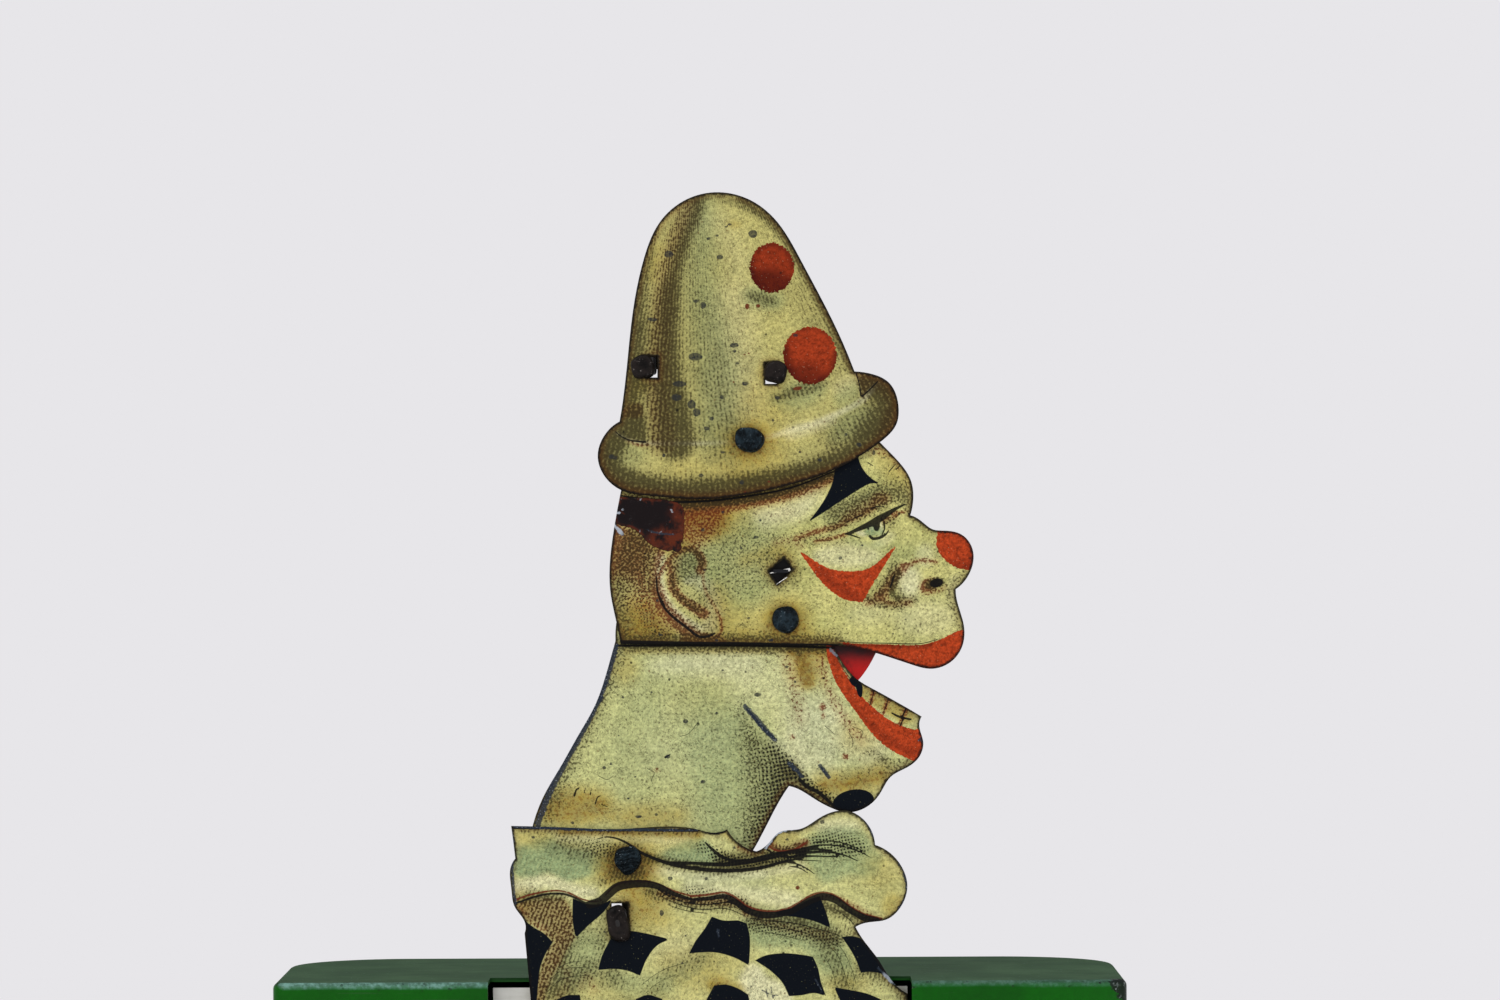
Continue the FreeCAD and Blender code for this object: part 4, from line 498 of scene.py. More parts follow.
HAT_ART = Artwork({
    Print.RED: spots((772.8, 268, 44.5, 50), (810.6, 355.8, 53.5, 57.5)),
    Print.MAROON: spots(
        (798, 388.5, 9, 4, -8), (748, 306.5, 4.5, 6), (759, 306, 4.5, 4), (745, 354.5, 3, 2), (749, 353.5, 2.5, 2),
        (734, 382, 2.5, 2.5), (624, 410, 2.5, 2), (745, 492, 3, 2), (769, 481.5, 5, 2.5),
    ),
    Print.LINE: lines(
        (1, 2, 0, 616, 431, 622, 436, 630, 439.5, 640, 441, 646, 441.5),
        (1.2, 1.6, 0, 878, 382, 870, 390, 862.5, 397), (1.4, 1, 0, 861, 396, 860, 386, 856.5, 374),
    ),
    Print.FLECK: spots(
        (754, 234, 9, 8), (721, 257, 6.5, 5), (670, 254, 9, 7), (697, 301, 6, 3.5), (704, 305, 6, 7),
        (696, 356.5, 14, 8), (735, 345, 9, 5), (735, 351, 4, 3), (738, 363, 5, 3), (746, 383.5, 7, 4),
        (680, 383.5, 14, 6), (677, 397, 11, 7), (692, 404, 8, 9), (707, 428, 6, 4), (712, 418.5, 5, 4),
        (722, 397, 5, 4.5), (653, 319, 10, 4), (742, 482, 5, 5), (820, 460, 5, 4), (778, 398, 5, 4),
        (701, 475, 5, 4), (846, 435, 4, 3), (710, 238.5, 5, 3), (718, 235.5, 4, 2.5), (612, 456, 6, 5),
        (723, 452, 4, 3), (800, 452, 3, 2.5), (664, 455, 4, 3), (773, 420, 3, 3), (796, 335.5, 6, 3),
        (731, 224.5, 5, 2.5), (727, 227, 3, 2), (859, 445, 6, 4), (697, 412, 8, 8), (616, 457, 4, 4),
    ),
    Print.SHADE: strokes(
        (3, 9, 12, 0.85, 701, 196, 697, 215, 686, 240, 678, 265, 672, 290, 670, 315),
        (7, 30, 16, 0.92, 672, 290, 670, 315, 669, 340, 669, 365, 671, 390, 674, 415, 677, 441),
        (4, 18, 16, 0.52, 690, 206, 680, 226, 670, 255, 663, 290, 658, 330, 655, 380, 656, 438),
        (8, 34, 22, 0.3, 700, 202, 694, 225, 688, 260, 690, 300, 698, 340, 708, 380, 716, 440),
        (10, 20, 34, 0.22, 712, 260, 718, 300, 724, 340, 730, 380, 736, 440),
        (30, 26, 20, 1, 610, 438, 604, 454, 607, 472, 620, 486),
        (22, 20, 20, 1, 878, 384, 890, 400, 887, 418, 870, 436),
        (6, 6, 30, 0.1, 636, 456, 660, 472, 700, 476, 740, 472),
        (18, 16, 16, 1, 618, 480, 660, 489, 700, 491, 740, 487, 790, 478, 840, 461, 876, 440),
        (8, 12, 18, 0.85, 650, 232, 643, 262, 639, 300, 635, 350, 630, 400),
        (3, 5, 12, 0.95, 744, 201, 778, 227, 804, 268, 832, 322, 853, 368),
        (6, 8, 30, 0.3, 800, 290, 820, 330, 840, 372), (16, 22, 34, 0.45, 836, 440, 858, 428, 874, 410),
        (6, 12, 22, 0.3, 640, 330, 640, 360, 636, 392), (4, 4, 14, 0.4, 660, 212, 690, 199, 716, 196, 745, 204),
    # The first two glows are the printed shadows of the pompoms; the last is painted shade under the left hat tab.
    ) + glows((762, 298, 30, 8, 9, 0.62, 12), (800, 391, 50, 8, 10, 0.62, -16), (640, 384, 20, 8, 12, 0.6)) + (
        Tone(area((627, 407, 635, 405), (642, 406, 644, 422), (645.5, 441, 632, 438, 616, 430)), 7, 0.97, 0.3),
        Tone(area((857, 374, 868, 376), (878, 381, 870, 388), (862.5, 396, 861, 386)), 6, 0.9, 0.4),
    ),
    Print.WARM: strokes(
        (5, 18, 16, 0.5, 692, 205, 680, 232, 670, 262, 664, 300, 661, 350, 660, 400, 664, 440),
        (10, 7, 13, 0.95, 606, 478, 620, 488, 650, 495, 700, 498, 740, 494, 790, 485),
        (9, 12, 12, 0.9, 790, 485, 840, 469, 878, 444, 896, 416), (10, 10, 16, 0.8, 878, 380, 895, 398, 893, 422),
        (8, 6, 14, 0.5, 650, 236, 660, 216, 676, 204), (8, 8, 14, 0.55, 600, 450, 604, 476, 618, 490),
        (2, 2, 5, 0.6, 628, 440, 640, 444, 648, 444),
    ) + (
        Tone(area((627, 406, 635, 404), (642, 405, 642.5, 412), (642, 416, 632, 417, 624, 416)), 5, 0.85, 0.4),
        Tone(area((857, 374, 868, 376), (878, 381, 870, 388), (862.5, 396, 861, 386)), 8, 0.8, 0.4),
    ),
    Print.PALE: strokes(
        (1.8, 2.4, 3.5, 0.85, 616, 432.5, 628, 438.5, 645, 442.5, 700, 443, 740, 442),
        (2.4, 3.4, 4.5, 1, 740, 442, 768, 437, 800, 428, 815, 424, 838, 414, 862, 401, 877, 384),
        (8, 5, 10, 0.6, 790, 433, 812, 427, 832, 420), (20, 26, 50, 0.35, 735, 300, 736, 350, 738, 400),
        (8, 8, 34, 0.2, 694, 220, 722, 226, 740, 260),
    ) + glows((846, 385, 20, 10, 16, 0.3, -30)),
    Print.COOL: strokes((10, 30, 30, 0.62, 704, 205, 702, 240, 702, 280, 708, 320, 716, 360, 724, 436)) + glows(
        (764, 298, 34, 14, 14, 0.7, 12), (799, 394, 50, 18, 16, 0.7, -18), (852, 424, 40, 18, 22, 0.6, -35),
        (628, 452, 24, 22, 22, 0.4), (848, 396, 24, 12, 14, 0.5, -30),
    ),
    Print.RUST: glows(
        (750, 442, 30, 24, 22, 1), (752, 446, 50, 30, 50, 0.6), (764, 404, 34, 26, 50, 0.4),
        (760, 478, 50, 10, 30, 0.4), (700, 472, 60, 10, 30, 0.3), (640, 384, 14, 10, 14, 0.5),
        (771, 372, 18, 14, 14, 0.55), (655, 262, 8, 30, 16, 0.4, 14), (735, 224, 10, 4, 8, 0.5),
        (630, 400, 12, 14, 14, 0.5),
    ),
    Print.DEEP: strokes(
        (4, 4, 14, 0.95, 751, 274, 757, 285, 768, 292, 780, 291, 790, 283),
        (3, 3, 9, 0.8, 751, 258, 750, 272, 756, 284), (1.5, 2.5, 7, 0.6, 756, 250, 772, 244, 788, 250, 795, 266),
        (4, 4, 13, 0.85, 785, 352, 788, 368, 797, 380, 810, 384.5, 824, 381),
        (3, 3, 10, 0.75, 822, 382, 834, 371, 838, 354), (1.5, 1.5, 7, 0.5, 785, 350, 790, 336, 803, 328),
        (1.5, 1.5, 7, 0.45, 803, 328, 820, 328, 833, 338),
    ) + glows(
        (773, 268, 46, 52, 6, 0.42), (768, 280, 30, 16, 14, 0.75), (812, 358, 54, 58, 6, 0.24),
        (806, 372, 30, 14, 12, 0.5),
    ),
}, rays=(690, 55), ray_span=300)

HEAD_ART = Artwork({
    Print.RED: (
        area((797, 549, 806, 555, 818, 563, 832, 569.5, 850, 571.5, 866, 569.5, 878, 562, 889, 551.5), (897, 545.5,
         889, 558, 879, 574, 869, 590), (862.5, 602.5, 850, 601, 839, 597, 827, 588, 817, 577, 807, 563)),
        area((938, 529, 960, 528, 975, 540, 978, 560), (969, 571, 957, 568.5, 947, 562.5, 940, 555, 936, 545)),
        area((838, 642, 862, 644, 885, 644.5, 905, 645.5, 922, 645, 937, 641, 948, 636, 956, 632), (966, 630,
         968, 650, 950, 672, 925, 674, 890, 664, 860, 654)),
    ),
    Print.INK: (
        area((836, 455, 835, 470, 832, 484, 826, 497, 819, 508, 812, 517), (807, 523, 815, 518, 826, 511, 838, 503,
         849, 496, 860, 489, 870, 484), (880, 484, 872, 479, 865, 472, 860, 463), (857, 450, 846, 448)),
    ),
    Print.VARNISH: (
        area((616, 496, 640, 497, 662, 499, 679, 503, 684, 511, 684, 524, 683, 538, 678, 547), (668, 551, 656, 547,
         647, 541, 640, 533, 631, 527, 617, 523, 614, 510)),
    ) + spots((676, 546, 12, 10, 40)),
    Print.LINE: lines(
        (1.6, 7.6, 0, 845, 534.3, 852, 532, 860, 528.6, 869.5, 524.5, 877, 520.5),
        (7.6, 1.4, 0, 877, 520.5, 887, 514.5, 895, 509.5, 905, 504.7),
        (2, 1.2, 0, 846, 534, 852, 535.6, 860, 538.4),
    ) + spots((876.6, 526.6, 6.4, 10, 8)) + lines(
        (2.4, 1.6, 0, 867.2, 525, 868.2, 529.5), (2.8, 3, 0, 869.6, 536.4, 872.8, 539, 878.5, 538.3, 882, 537),
        (2.4, 1.2, 0, 882, 537, 885.5, 535, 888.3, 531), (2, 1.2, 0, 883.8, 523.5, 884.4, 529, 882, 534.5),
        (1.8, 0.7, 0, 871.5, 508.6, 877, 506.9, 884, 506.7), (0.6, 1.2, 0, 843, 524.5, 852, 519.5, 862, 514.8),
    ) + spots((936, 583.4, 13.5, 9, -14)) + lines(
        (1.2, 1.4, 0.8, 894, 575, 892, 581, 890, 588), (0.6, 1.6, 0, 656.5, 578, 658, 592, 664, 605),
        (1, 2.2, 1.2, 656, 576, 657, 590, 662, 604, 671, 615, 681, 623, 690, 630, 698, 636, 707, 636, 714, 633),
        (1, 1, 0, 664, 546, 668, 543, 676, 540),
        (4.6, 2.4, 0, 620, 641.5, 680, 642.8, 740, 643.5, 800, 645, 838, 645.5),
        # This line is the painted shadow along the hat brim's lower edge.
        (1.5, 1.2, 1, 622, 495, 660, 501, 700, 501, 740, 497, 790, 488, 838, 470),
        (1.2, 0.8, 0, 896, 470, 903, 463), (1.2, 0.8, 0, 889, 472, 896, 464), (1.2, 0.8, 0, 868, 463, 873, 466),
        (1, 0.6, 0, 905, 481, 908, 489), (1.5, 1.5, 0, 908, 514, 911, 516),
        (0.7, 0.7, 0.3, 840, 641.5, 860, 643, 885, 643.5, 905, 644.3, 922, 643.8, 937, 639.8),
    ),
    Print.FLECK: spots(
        (703, 529.5, 4, 4), (756, 537, 6, 3), (840, 558, 4, 4), (748, 618, 4, 3), (791, 621, 3, 3),
        (760, 520, 3, 2.5), (862, 545.5, 3, 2.5), (838, 577, 3, 2), (741, 548, 3, 3), (770, 640, 5, 3),
        (716, 640, 4, 3), (892, 634, 3, 2), (723, 512, 4, 3), (657, 600, 3, 3), (905, 620, 3, 2), (660, 634, 5, 3),
        (808, 634, 3, 2), (850, 618, 2.5, 2), (780, 500, 3, 2), (704, 570, 3, 2), (874, 453, 3, 6),
        (868, 451, 3, 3), (884, 458, 3, 2), (818, 479, 3, 2), (754, 513, 3, 2),
    ),
    # Bare metal at the varnish's left edge, made bright by the DEEP glow further down, which also stands for the
    # varnish's painted glints; the last line is a painted highlight across its lower lobe.
    Print.WEAR: spots((618, 512, 5, 3.5)) + lines(
        (1.6, 4, 1, 614, 523, 617, 528, 622, 533), (1.6, 2, 1, 613, 500, 611, 520, 610, 545),
        (1, 1.6, 0.6, 644, 528, 660, 533, 676, 534),
    ),
    Print.WARM: strokes(
        # The first stroke is a warm brown band under the brim that deepens its painted shadow.
        (7, 4, 8, 0.95, 690, 506, 740, 503, 790, 493, 830, 478), (8, 6, 18, 0.85, 684, 500, 690, 512, 684, 530),
        (14, 8, 20, 0.75, 688, 502, 704, 506, 712, 518, 698, 538), (6, 3, 16, 0.55, 700, 506, 722, 508, 740, 503),
        (2, 4, 6, 0.95, 797, 538, 815, 532, 836, 526.7, 847, 521, 861.7, 514.4, 873, 508.3),
        (1.5, 2.2, 4, 0.95, 815, 541.5, 834, 538, 846, 534.3), (3, 5, 10, 0.6, 845, 517, 860, 508, 876, 501),
        (2.2, 1.2, 3, 0.95, 893, 514.5, 899, 513, 905, 512.3), (4, 3, 5, 0.75, 884, 521, 890, 518, 895, 516),
        (1.5, 3, 5, 0.75, 936, 562.5, 919, 561, 903, 568), (5, 7, 8, 0.95, 903, 568, 894, 577, 887, 588, 880, 596),
        (5, 3, 8, 0.75, 868, 602, 880, 600.5, 892, 604, 909, 602.5), (2, 2, 6, 0.5, 922, 592, 932, 593, 944, 588),
        (3, 6, 5, 1, 684, 549, 692, 548.5, 699, 554, 702.5, 562, 700, 570),
        (4, 4, 4, 0.9, 699, 554, 702, 562, 700, 569),
        (1.5, 2.5, 2.5, 1, 656, 592, 657, 582, 662, 569, 670, 558, 682, 550, 693, 547.5),
        (1, 1.4, 3, 0.7, 704, 566, 703, 580, 706, 592, 714, 606, 720, 618),
        (1.6, 2, 3, 0.9, 720, 618, 721, 630, 714, 637, 704, 634),
        (2.5, 9, 5, 1, 669, 560, 671, 573, 673, 588, 682, 599, 692, 606, 703, 613),
        (3, 6, 4, 0.9, 680, 597, 692, 606, 703, 613),
        (7, 10, 9, 1, 657, 590, 663, 606, 672, 617, 683, 627, 694, 637),
        (9, 5, 7, 0.95, 686, 638, 704, 638.5, 720, 640), (4, 5, 8, 0.8, 660, 552, 654, 570, 655, 590),
        (7, 6, 10, 0.55, 676, 552, 672, 570, 674, 588),
        (6, 3, 14, 0.75, 624, 500, 700, 503, 760, 499, 800, 489, 838, 474),
        (5, 3, 14, 0.5, 862, 448, 890, 452, 905, 470), (3, 3, 10, 0.35, 776, 543, 790, 540, 800, 545),
        (2, 2, 10, 0.15, 755, 512, 770, 516, 790, 512),
    ) + glows((881, 499, 15, 8, 9, 0.9, -12), (929, 585.5, 17, 10, 6, 1, -14)) + (
        Tone(area((600, 516, 640, 520, 664, 545, 660, 556, 655, 575, 656, 592, 662, 606, 650, 604, 630, 590,
         612, 584, 600, 580)), 30, 1, 0.7),
        Tone(area((612, 590, 640, 590, 664, 606, 676, 622, 664, 632, 640, 612, 618, 604)), 24, 0.45, 0.5),
    ),
    Print.SHADE: strokes(
        # The first stroke is the painted shadow under the hat brim.
        (7, 4, 4, 1, 640, 501, 690, 502, 745, 499, 790, 489, 834, 473),
        (2, 4, 4, 0.7, 684, 549, 692, 549, 699, 555, 702, 563),
        (1.5, 4, 4, 0.6, 671, 575, 674, 590, 684, 600, 698, 609),
        (22, 8, 22, 0.62, 642, 530, 632, 548, 624, 572, 618, 600, 620, 632),
        (10, 8, 14, 0.4, 652, 548, 648, 566, 650, 586), (9, 10, 12, 0.5, 838, 514, 858, 505, 880, 497, 900, 496),
        (4, 3, 5, 0.95, 898, 573, 893.5, 583, 891, 592, 898, 600),
        # This stroke widens the painted shadow under the brim.
        (8, 3, 12, 0.9, 628, 499, 680, 503, 730, 499, 790, 489, 836, 473),
        (5, 3, 10, 0.85, 620, 639, 720, 640, 838, 642), (4, 4, 24, 0.3, 660, 634, 740, 637, 838, 640),
        (8, 10, 16, 0.42, 832, 512, 856, 500, 884, 490, 900, 490), (6, 4, 9, 0.5, 830, 528, 856, 517, 884, 506),
        (4, 5, 10, 0.6, 894, 566, 887, 580, 880, 592), (3, 3, 8, 0.5, 897, 575, 896, 588, 903, 598, 914, 601),
        (3, 2, 14, 0.3, 800, 538, 826, 541, 845, 543), (3, 3, 10, 0.45, 908, 500, 910, 512, 930, 528),
        (4, 4, 9, 0.55, 868, 598, 880, 604, 900, 606), (3, 3, 14, 0.12, 884, 624, 910, 628, 935, 622),
        (3, 3, 10, 0.4, 905, 452, 914, 490, 912, 512), (3, 3, 10, 0.4, 962, 575, 948, 592, 955, 612, 962, 630),
    ) + glows(
        (889, 522, 10, 7, 8, 0.55), (934, 584, 17, 9, 5, 1, -14), (738, 560, 70, 60, 60, 0.34),
        (700, 610, 30, 40, 30, 0.3), (783, 572, 30, 30, 14, 0.35),
    ) + (
        Tone(area((668, 556, 674, 547, 690, 546, 702, 556, 702, 570, 694, 580, 684, 582, 672, 584)), 14, 0.5, 0.5),
    ),
    Print.DOTS: strokes(
        (8, 8, 16, 0.34, 648, 560, 640, 590, 646, 620, 660, 634),
        (3, 3, 6, 0.4, 664, 556, 658, 576, 660, 596, 676, 618),
    ),
    Print.COOL: strokes((4, 4, 8, 0.35, 850, 540, 866, 545, 880, 544)) + glows(
        (738, 560, 90, 70, 50, 0.6), (902, 556, 44, 20, 20, 0.25), (871, 531, 12, 9, 5, 1),
        (879, 532, 9, 6, 4, 0.8), (650, 614, 24, 30, 20, 0.4), (850, 506, 60, 16, 16, 0.4, -22),
        (686, 565, 16, 24, 10, 0.5),
    ),
    Print.PALE: strokes(
        (14, 12, 22, 0.8, 822, 470, 812, 490, 796, 508, 765, 516),
        (1.6, 1.2, 1.6, 1, 880.6, 523.5, 881.6, 527.5, 880.4, 531),
        (6, 8, 6, 0.85, 661, 556, 659, 580, 666, 602, 680, 618, 698, 630),
        (7, 10, 12, 0.7, 697, 578, 710, 592, 714, 610, 710, 626),
    ) + glows(
        (909, 582, 16, 24, 14, 0.9), (861, 533.5, 9, 3.5, 3.5, 0.9, 20), (871.5, 529, 3, 4, 2, 1),
        (884, 540, 20, 8, 8, 0.4, -30), (688, 580, 8, 6, 5, 0.6), (868, 614, 30, 10, 22, 0.35),
        (925, 618, 50, 24, 26, 0.45), (846, 556, 60, 16, 14, 0.7), (925, 556, 12, 16, 12, 0.5),
        (955, 590, 10, 24, 12, 0.3),
    ),
    Print.RUST: strokes(
        (8, 4, 22, 0.85, 700, 502, 760, 498, 830, 480), (4, 4, 16, 0.45, 745, 560, 775, 550, 790, 552),
    ) + glows(
        (704, 514, 46, 34, 26, 1, 20), (640, 618, 34, 30, 24, 0.85), (672, 540, 40, 20, 14, 0.8),
        (785, 622, 34, 32, 30, 1), (780, 566, 26, 24, 22, 0.5), (640, 634, 60, 12, 20, 0.9),
        (760, 640, 140, 8, 20, 0.7), (735, 625, 30, 22, 30, 0.5), (716, 606, 18, 34, 22, 0.5),
        (896, 470, 18, 40, 18, 0.45, -40), (728, 520, 30, 16, 30, 0.35),
    ),
    Print.DEEP: strokes(
        (2, 2, 10, 0.4, 822, 572, 840, 590, 860, 600), (2, 2, 9, 0.5, 950, 566, 968, 568, 974, 552),
        (2, 2, 8, 0.5, 870, 655, 905, 668, 940, 672), (2, 2, 5, 0.6, 845, 643, 890, 646, 930, 645),
    # This glow makes the bare metal at the varnish's left edge bright, partly as painted glints.
    ) + glows((617, 522, 14, 30, 4, 0.9)),
}, rays=(1600, -900), ray_span=1700)

NECK_ART = Artwork({
    Print.RED: (
        area((824, 640, 826, 652, 828.5, 664, 834, 680, 842, 694, 852, 708, 862, 722, 873, 736, 885, 747, 898, 755,
         912, 761), (926, 764, 932, 745), (927, 727, 915, 730, 902, 727, 888, 720, 876, 711, 864, 700, 853, 686,
         843, 671, 836, 657), (832, 640, 828, 638)),
    ),
    Print.MAROON: lines((0.8, 1.2, 0, 836, 657, 843, 670, 853, 684)),
    Print.INK: spots((852, 802, 42, 24, -10)) + (
        area((848, 680, 853, 676, 859, 681, 862, 688), (861, 699, 857, 695, 855, 688, 851, 685)),
    ),
    Print.LINE: lines(
        (1.2, 0.7, 0, 873.5, 690, 871.5, 698, 868.5, 706), (1.2, 0.7, 0, 888, 697, 885.5, 706, 882.5, 713),
        (1.8, 1.4, 0, 906.5, 704, 904, 712, 900, 719), (1.6, 1.8, 0.6, 891, 713.5, 899, 717.5, 910, 720),
        (1.8, 1.2, 0, 903, 718, 899, 727), (1.8, 1.8, 0, 866, 684, 880, 691, 900, 700, 921, 712),
        (1.6, 2.6, 1.2, 746, 709, 752, 716, 760, 726, 767, 733, 773, 738),
        (2, 1.4, 0, 790, 766, 793, 770, 798, 774), (2, 1.4, 0, 820.5, 768, 824, 773, 826, 775),
        # The first line here is the painted shadow of the head's lower edge along the top of the neck.
        (2.5, 2.5, 0, 615, 645, 700, 645, 780, 646, 834, 648), (2.4, 1.2, 0, 664, 757, 669, 754),
        (2.2, 1.2, 0, 573, 795, 575, 789, 578, 787), (1.4, 1, 0, 594, 803, 596, 797, 599, 795),
        (1, 1, 0, 600, 804, 606, 806), (1.2, 0.8, 0, 583, 792, 584, 787), (1.2, 0.8, 0, 589, 794, 590, 788),
        (0.6, 0.5, 0, 679, 736, 688, 733, 697, 722), (0.6, 0.5, 0, 646, 768, 653, 772, 650, 780),
        (0.6, 0.5, 0, 824, 726, 834, 735), (0.6, 0.5, 0, 848, 733, 852, 741, 851, 748),
        (0.6, 0.5, 0, 852, 727, 862, 732, 858, 741), (0.6, 0.4, 0, 597, 775, 606, 779, 612, 775),
        (3, 3, 1, 798, 779, 806, 787, 818, 793, 832, 806),
    ),
    Print.FLECK: spots(
        (757, 694.5, 8, 4), (684.5, 721, 5, 5), (622, 696.5, 3, 3), (633, 693, 3, 2), (651, 691.5, 3, 2.5),
        (641, 694.5, 3, 2), (603, 767, 4, 3.5), (702, 781.5, 5, 4), (674, 804, 5, 2), (571, 822, 5, 2.5),
        (681, 680, 3, 2), (786, 667, 4, 3), (794, 682, 3, 3), (716, 713, 3, 3), (610, 763, 3, 3),
        (722, 670, 2.5, 2), (655, 814, 4, 3), (637, 816, 7, 3), (641, 798, 3, 2), (767, 652, 3, 3),
        (700, 833, 2, 2), (736, 652, 2.5, 2), (605, 684, 8, 5), (600, 698, 6, 8), (646, 752, 2.5, 2),
        (690, 745, 2.5, 2), (618, 735, 2.5, 2), (744, 762, 2.5, 2), (634, 776, 2.5, 2), (667, 756, 5, 4),
        (650, 757, 2, 2), (627, 798, 3, 2), (655, 776, 2, 2),
    ),
    Print.WEAR: lines(
        (4.6, 5.6, 2, 616, 645, 609, 668, 600, 692, 588, 718, 570, 750, 550, 788, 536, 824),
        (4.4, 5, 1.4, 744, 706, 753, 716, 762, 727, 774, 740), (4.4, 3.4, 1, 788, 763, 794, 769, 801, 777),
        (4, 3, 1, 819, 766, 824, 772, 828, 778), (3, 2, 0, 918, 741, 921, 738),
        (1.2, 1.4, 0, 870, 685, 900, 698, 924, 712), (3, 3, 0, 830, 650, 836, 656), (3, 2, 0, 922, 742, 925, 738),
    ),
    Print.SHADE: strokes(
        (8, 5, 12, 0.85, 792, 772, 806, 790, 826, 802, 846, 812), (12, 8, 14, 0.5, 786, 768, 780, 792, 758, 840),
        # Both strokes on this line are painted shadow under the head's lower edge.
        (5, 4, 8, 0.95, 620, 644, 700, 645, 834, 649), (4, 4, 8, 0.3, 620, 650, 700, 651, 800, 653),
        (6, 8, 22, 0.5, 616, 655, 602, 690, 572, 750, 544, 810), (4, 4, 12, 0.22, 818, 770, 850, 776, 884, 764),
        (3, 3, 6, 0.2, 872, 688, 890, 700, 916, 716), (3, 3, 10, 0.4, 868, 752, 890, 764, 912, 768),
        (3, 3, 10, 0.45, 884, 776, 900, 766, 918, 758), (20, 20, 60, 0.12, 640, 700, 700, 720, 720, 800, 640, 800),
    ) + (
        Tone(area((740, 706, 756, 726, 772, 742, 788, 758, 800, 778, 812, 800, 800, 820), (760, 860, 742, 856,
         736, 830, 742, 800, 742, 770, 736, 735)), 26, 0.4, 0.5),
    ),
    Print.DOTS: strokes(
        (10, 8, 22, 0.6, 780, 768, 776, 800, 758, 842), (5, 5, 12, 0.75, 770, 748, 790, 768, 808, 786, 826, 798),
    ) + (
        Tone(area((736, 714, 748, 722, 762, 738, 776, 754, 790, 768, 798, 778, 790, 800), (770, 850, 748, 850,
         738, 838, 746, 806, 749, 780, 744, 750)), 24, 0.5, 0.7),
    ),
    Print.COOL: strokes((10, 10, 40, 0.3, 800, 700, 820, 740, 850, 764)) + glows(
        (640, 750, 60, 80, 60, 0.35), (660, 690, 60, 40, 60, 0.3),
    ) + (Tone(area((700, 700, 740, 716, 770, 756, 780, 800, 750, 850, 715, 850, 702, 800, 690, 740)), 46, 0.66),),
    Print.WARM: strokes(
        (6, 2, 18, 0.3, 786, 655, 792, 680, 800, 720), (4, 2, 12, 0.4, 820, 660, 828, 690, 842, 716, 860, 740),
        (2.5, 2, 3, 1, 873, 691, 871, 699, 868, 708), (2.5, 2, 3, 1, 888, 698, 885.5, 706, 882.5, 714),
        (2.5, 2.5, 3, 1, 906, 705, 904, 713, 899, 726), (2, 2, 8, 0.25, 866, 716, 880, 728, 900, 738),
    ) + glows(
        (821.5, 707, 5, 5, 3, 0.95), (822.5, 716, 2.5, 5, 2.5, 0.7), (844.5, 757, 5, 4, 3, 0.95),
        (791.5, 737, 4, 4, 3, 0.5), (655, 770, 5, 3, 4, 0.4),
    ),
    Print.PALE: strokes((6, 4, 10, 0.7, 776, 742, 790, 752, 800, 768)) + glows(
        (866, 746, 30, 26, 24, 0.8), (770, 684, 60, 40, 60, 0.6), (815, 735, 54, 60, 40, 1),
        (705, 664, 100, 12, 24, 0.85), (680, 740, 60, 60, 60, 0.25),
    ),
    Print.RUST: strokes(
        (12, 14, 6, 0.6, 862, 690, 882, 702, 904, 716), (10, 9, 9, 1, 799, 650, 803, 664, 807, 682),
        (6, 6, 9, 0.95, 790, 650, 820, 651, 832, 660), (3, 4, 7, 0.6, 626, 650, 720, 649.5, 780, 650),
        (14, 16, 7, 0.35, 866, 694, 885, 704, 908, 716), (12, 10, 24, 0.9, 824, 786, 850, 784, 880, 776),
    ) + glows(
        (570, 806, 74, 28, 24, 0.85, -4), (645, 816, 70, 14, 24, 0.6), (806, 664, 24, 34, 26, 0.7),
        (624, 668, 14, 20, 22, 0.5), (860, 735, 26, 24, 30, 0.45), (700, 700, 40, 20, 50, 0.2),
    ),
    Print.DEEP: strokes(
        (2, 2, 8, 0.3, 850, 700, 870, 726, 900, 748, 924, 754), (2, 2, 8, 0.4, 830, 642, 832, 652, 838, 664),
    ),
}, rays=(-300, -1200), ray_span=2100)

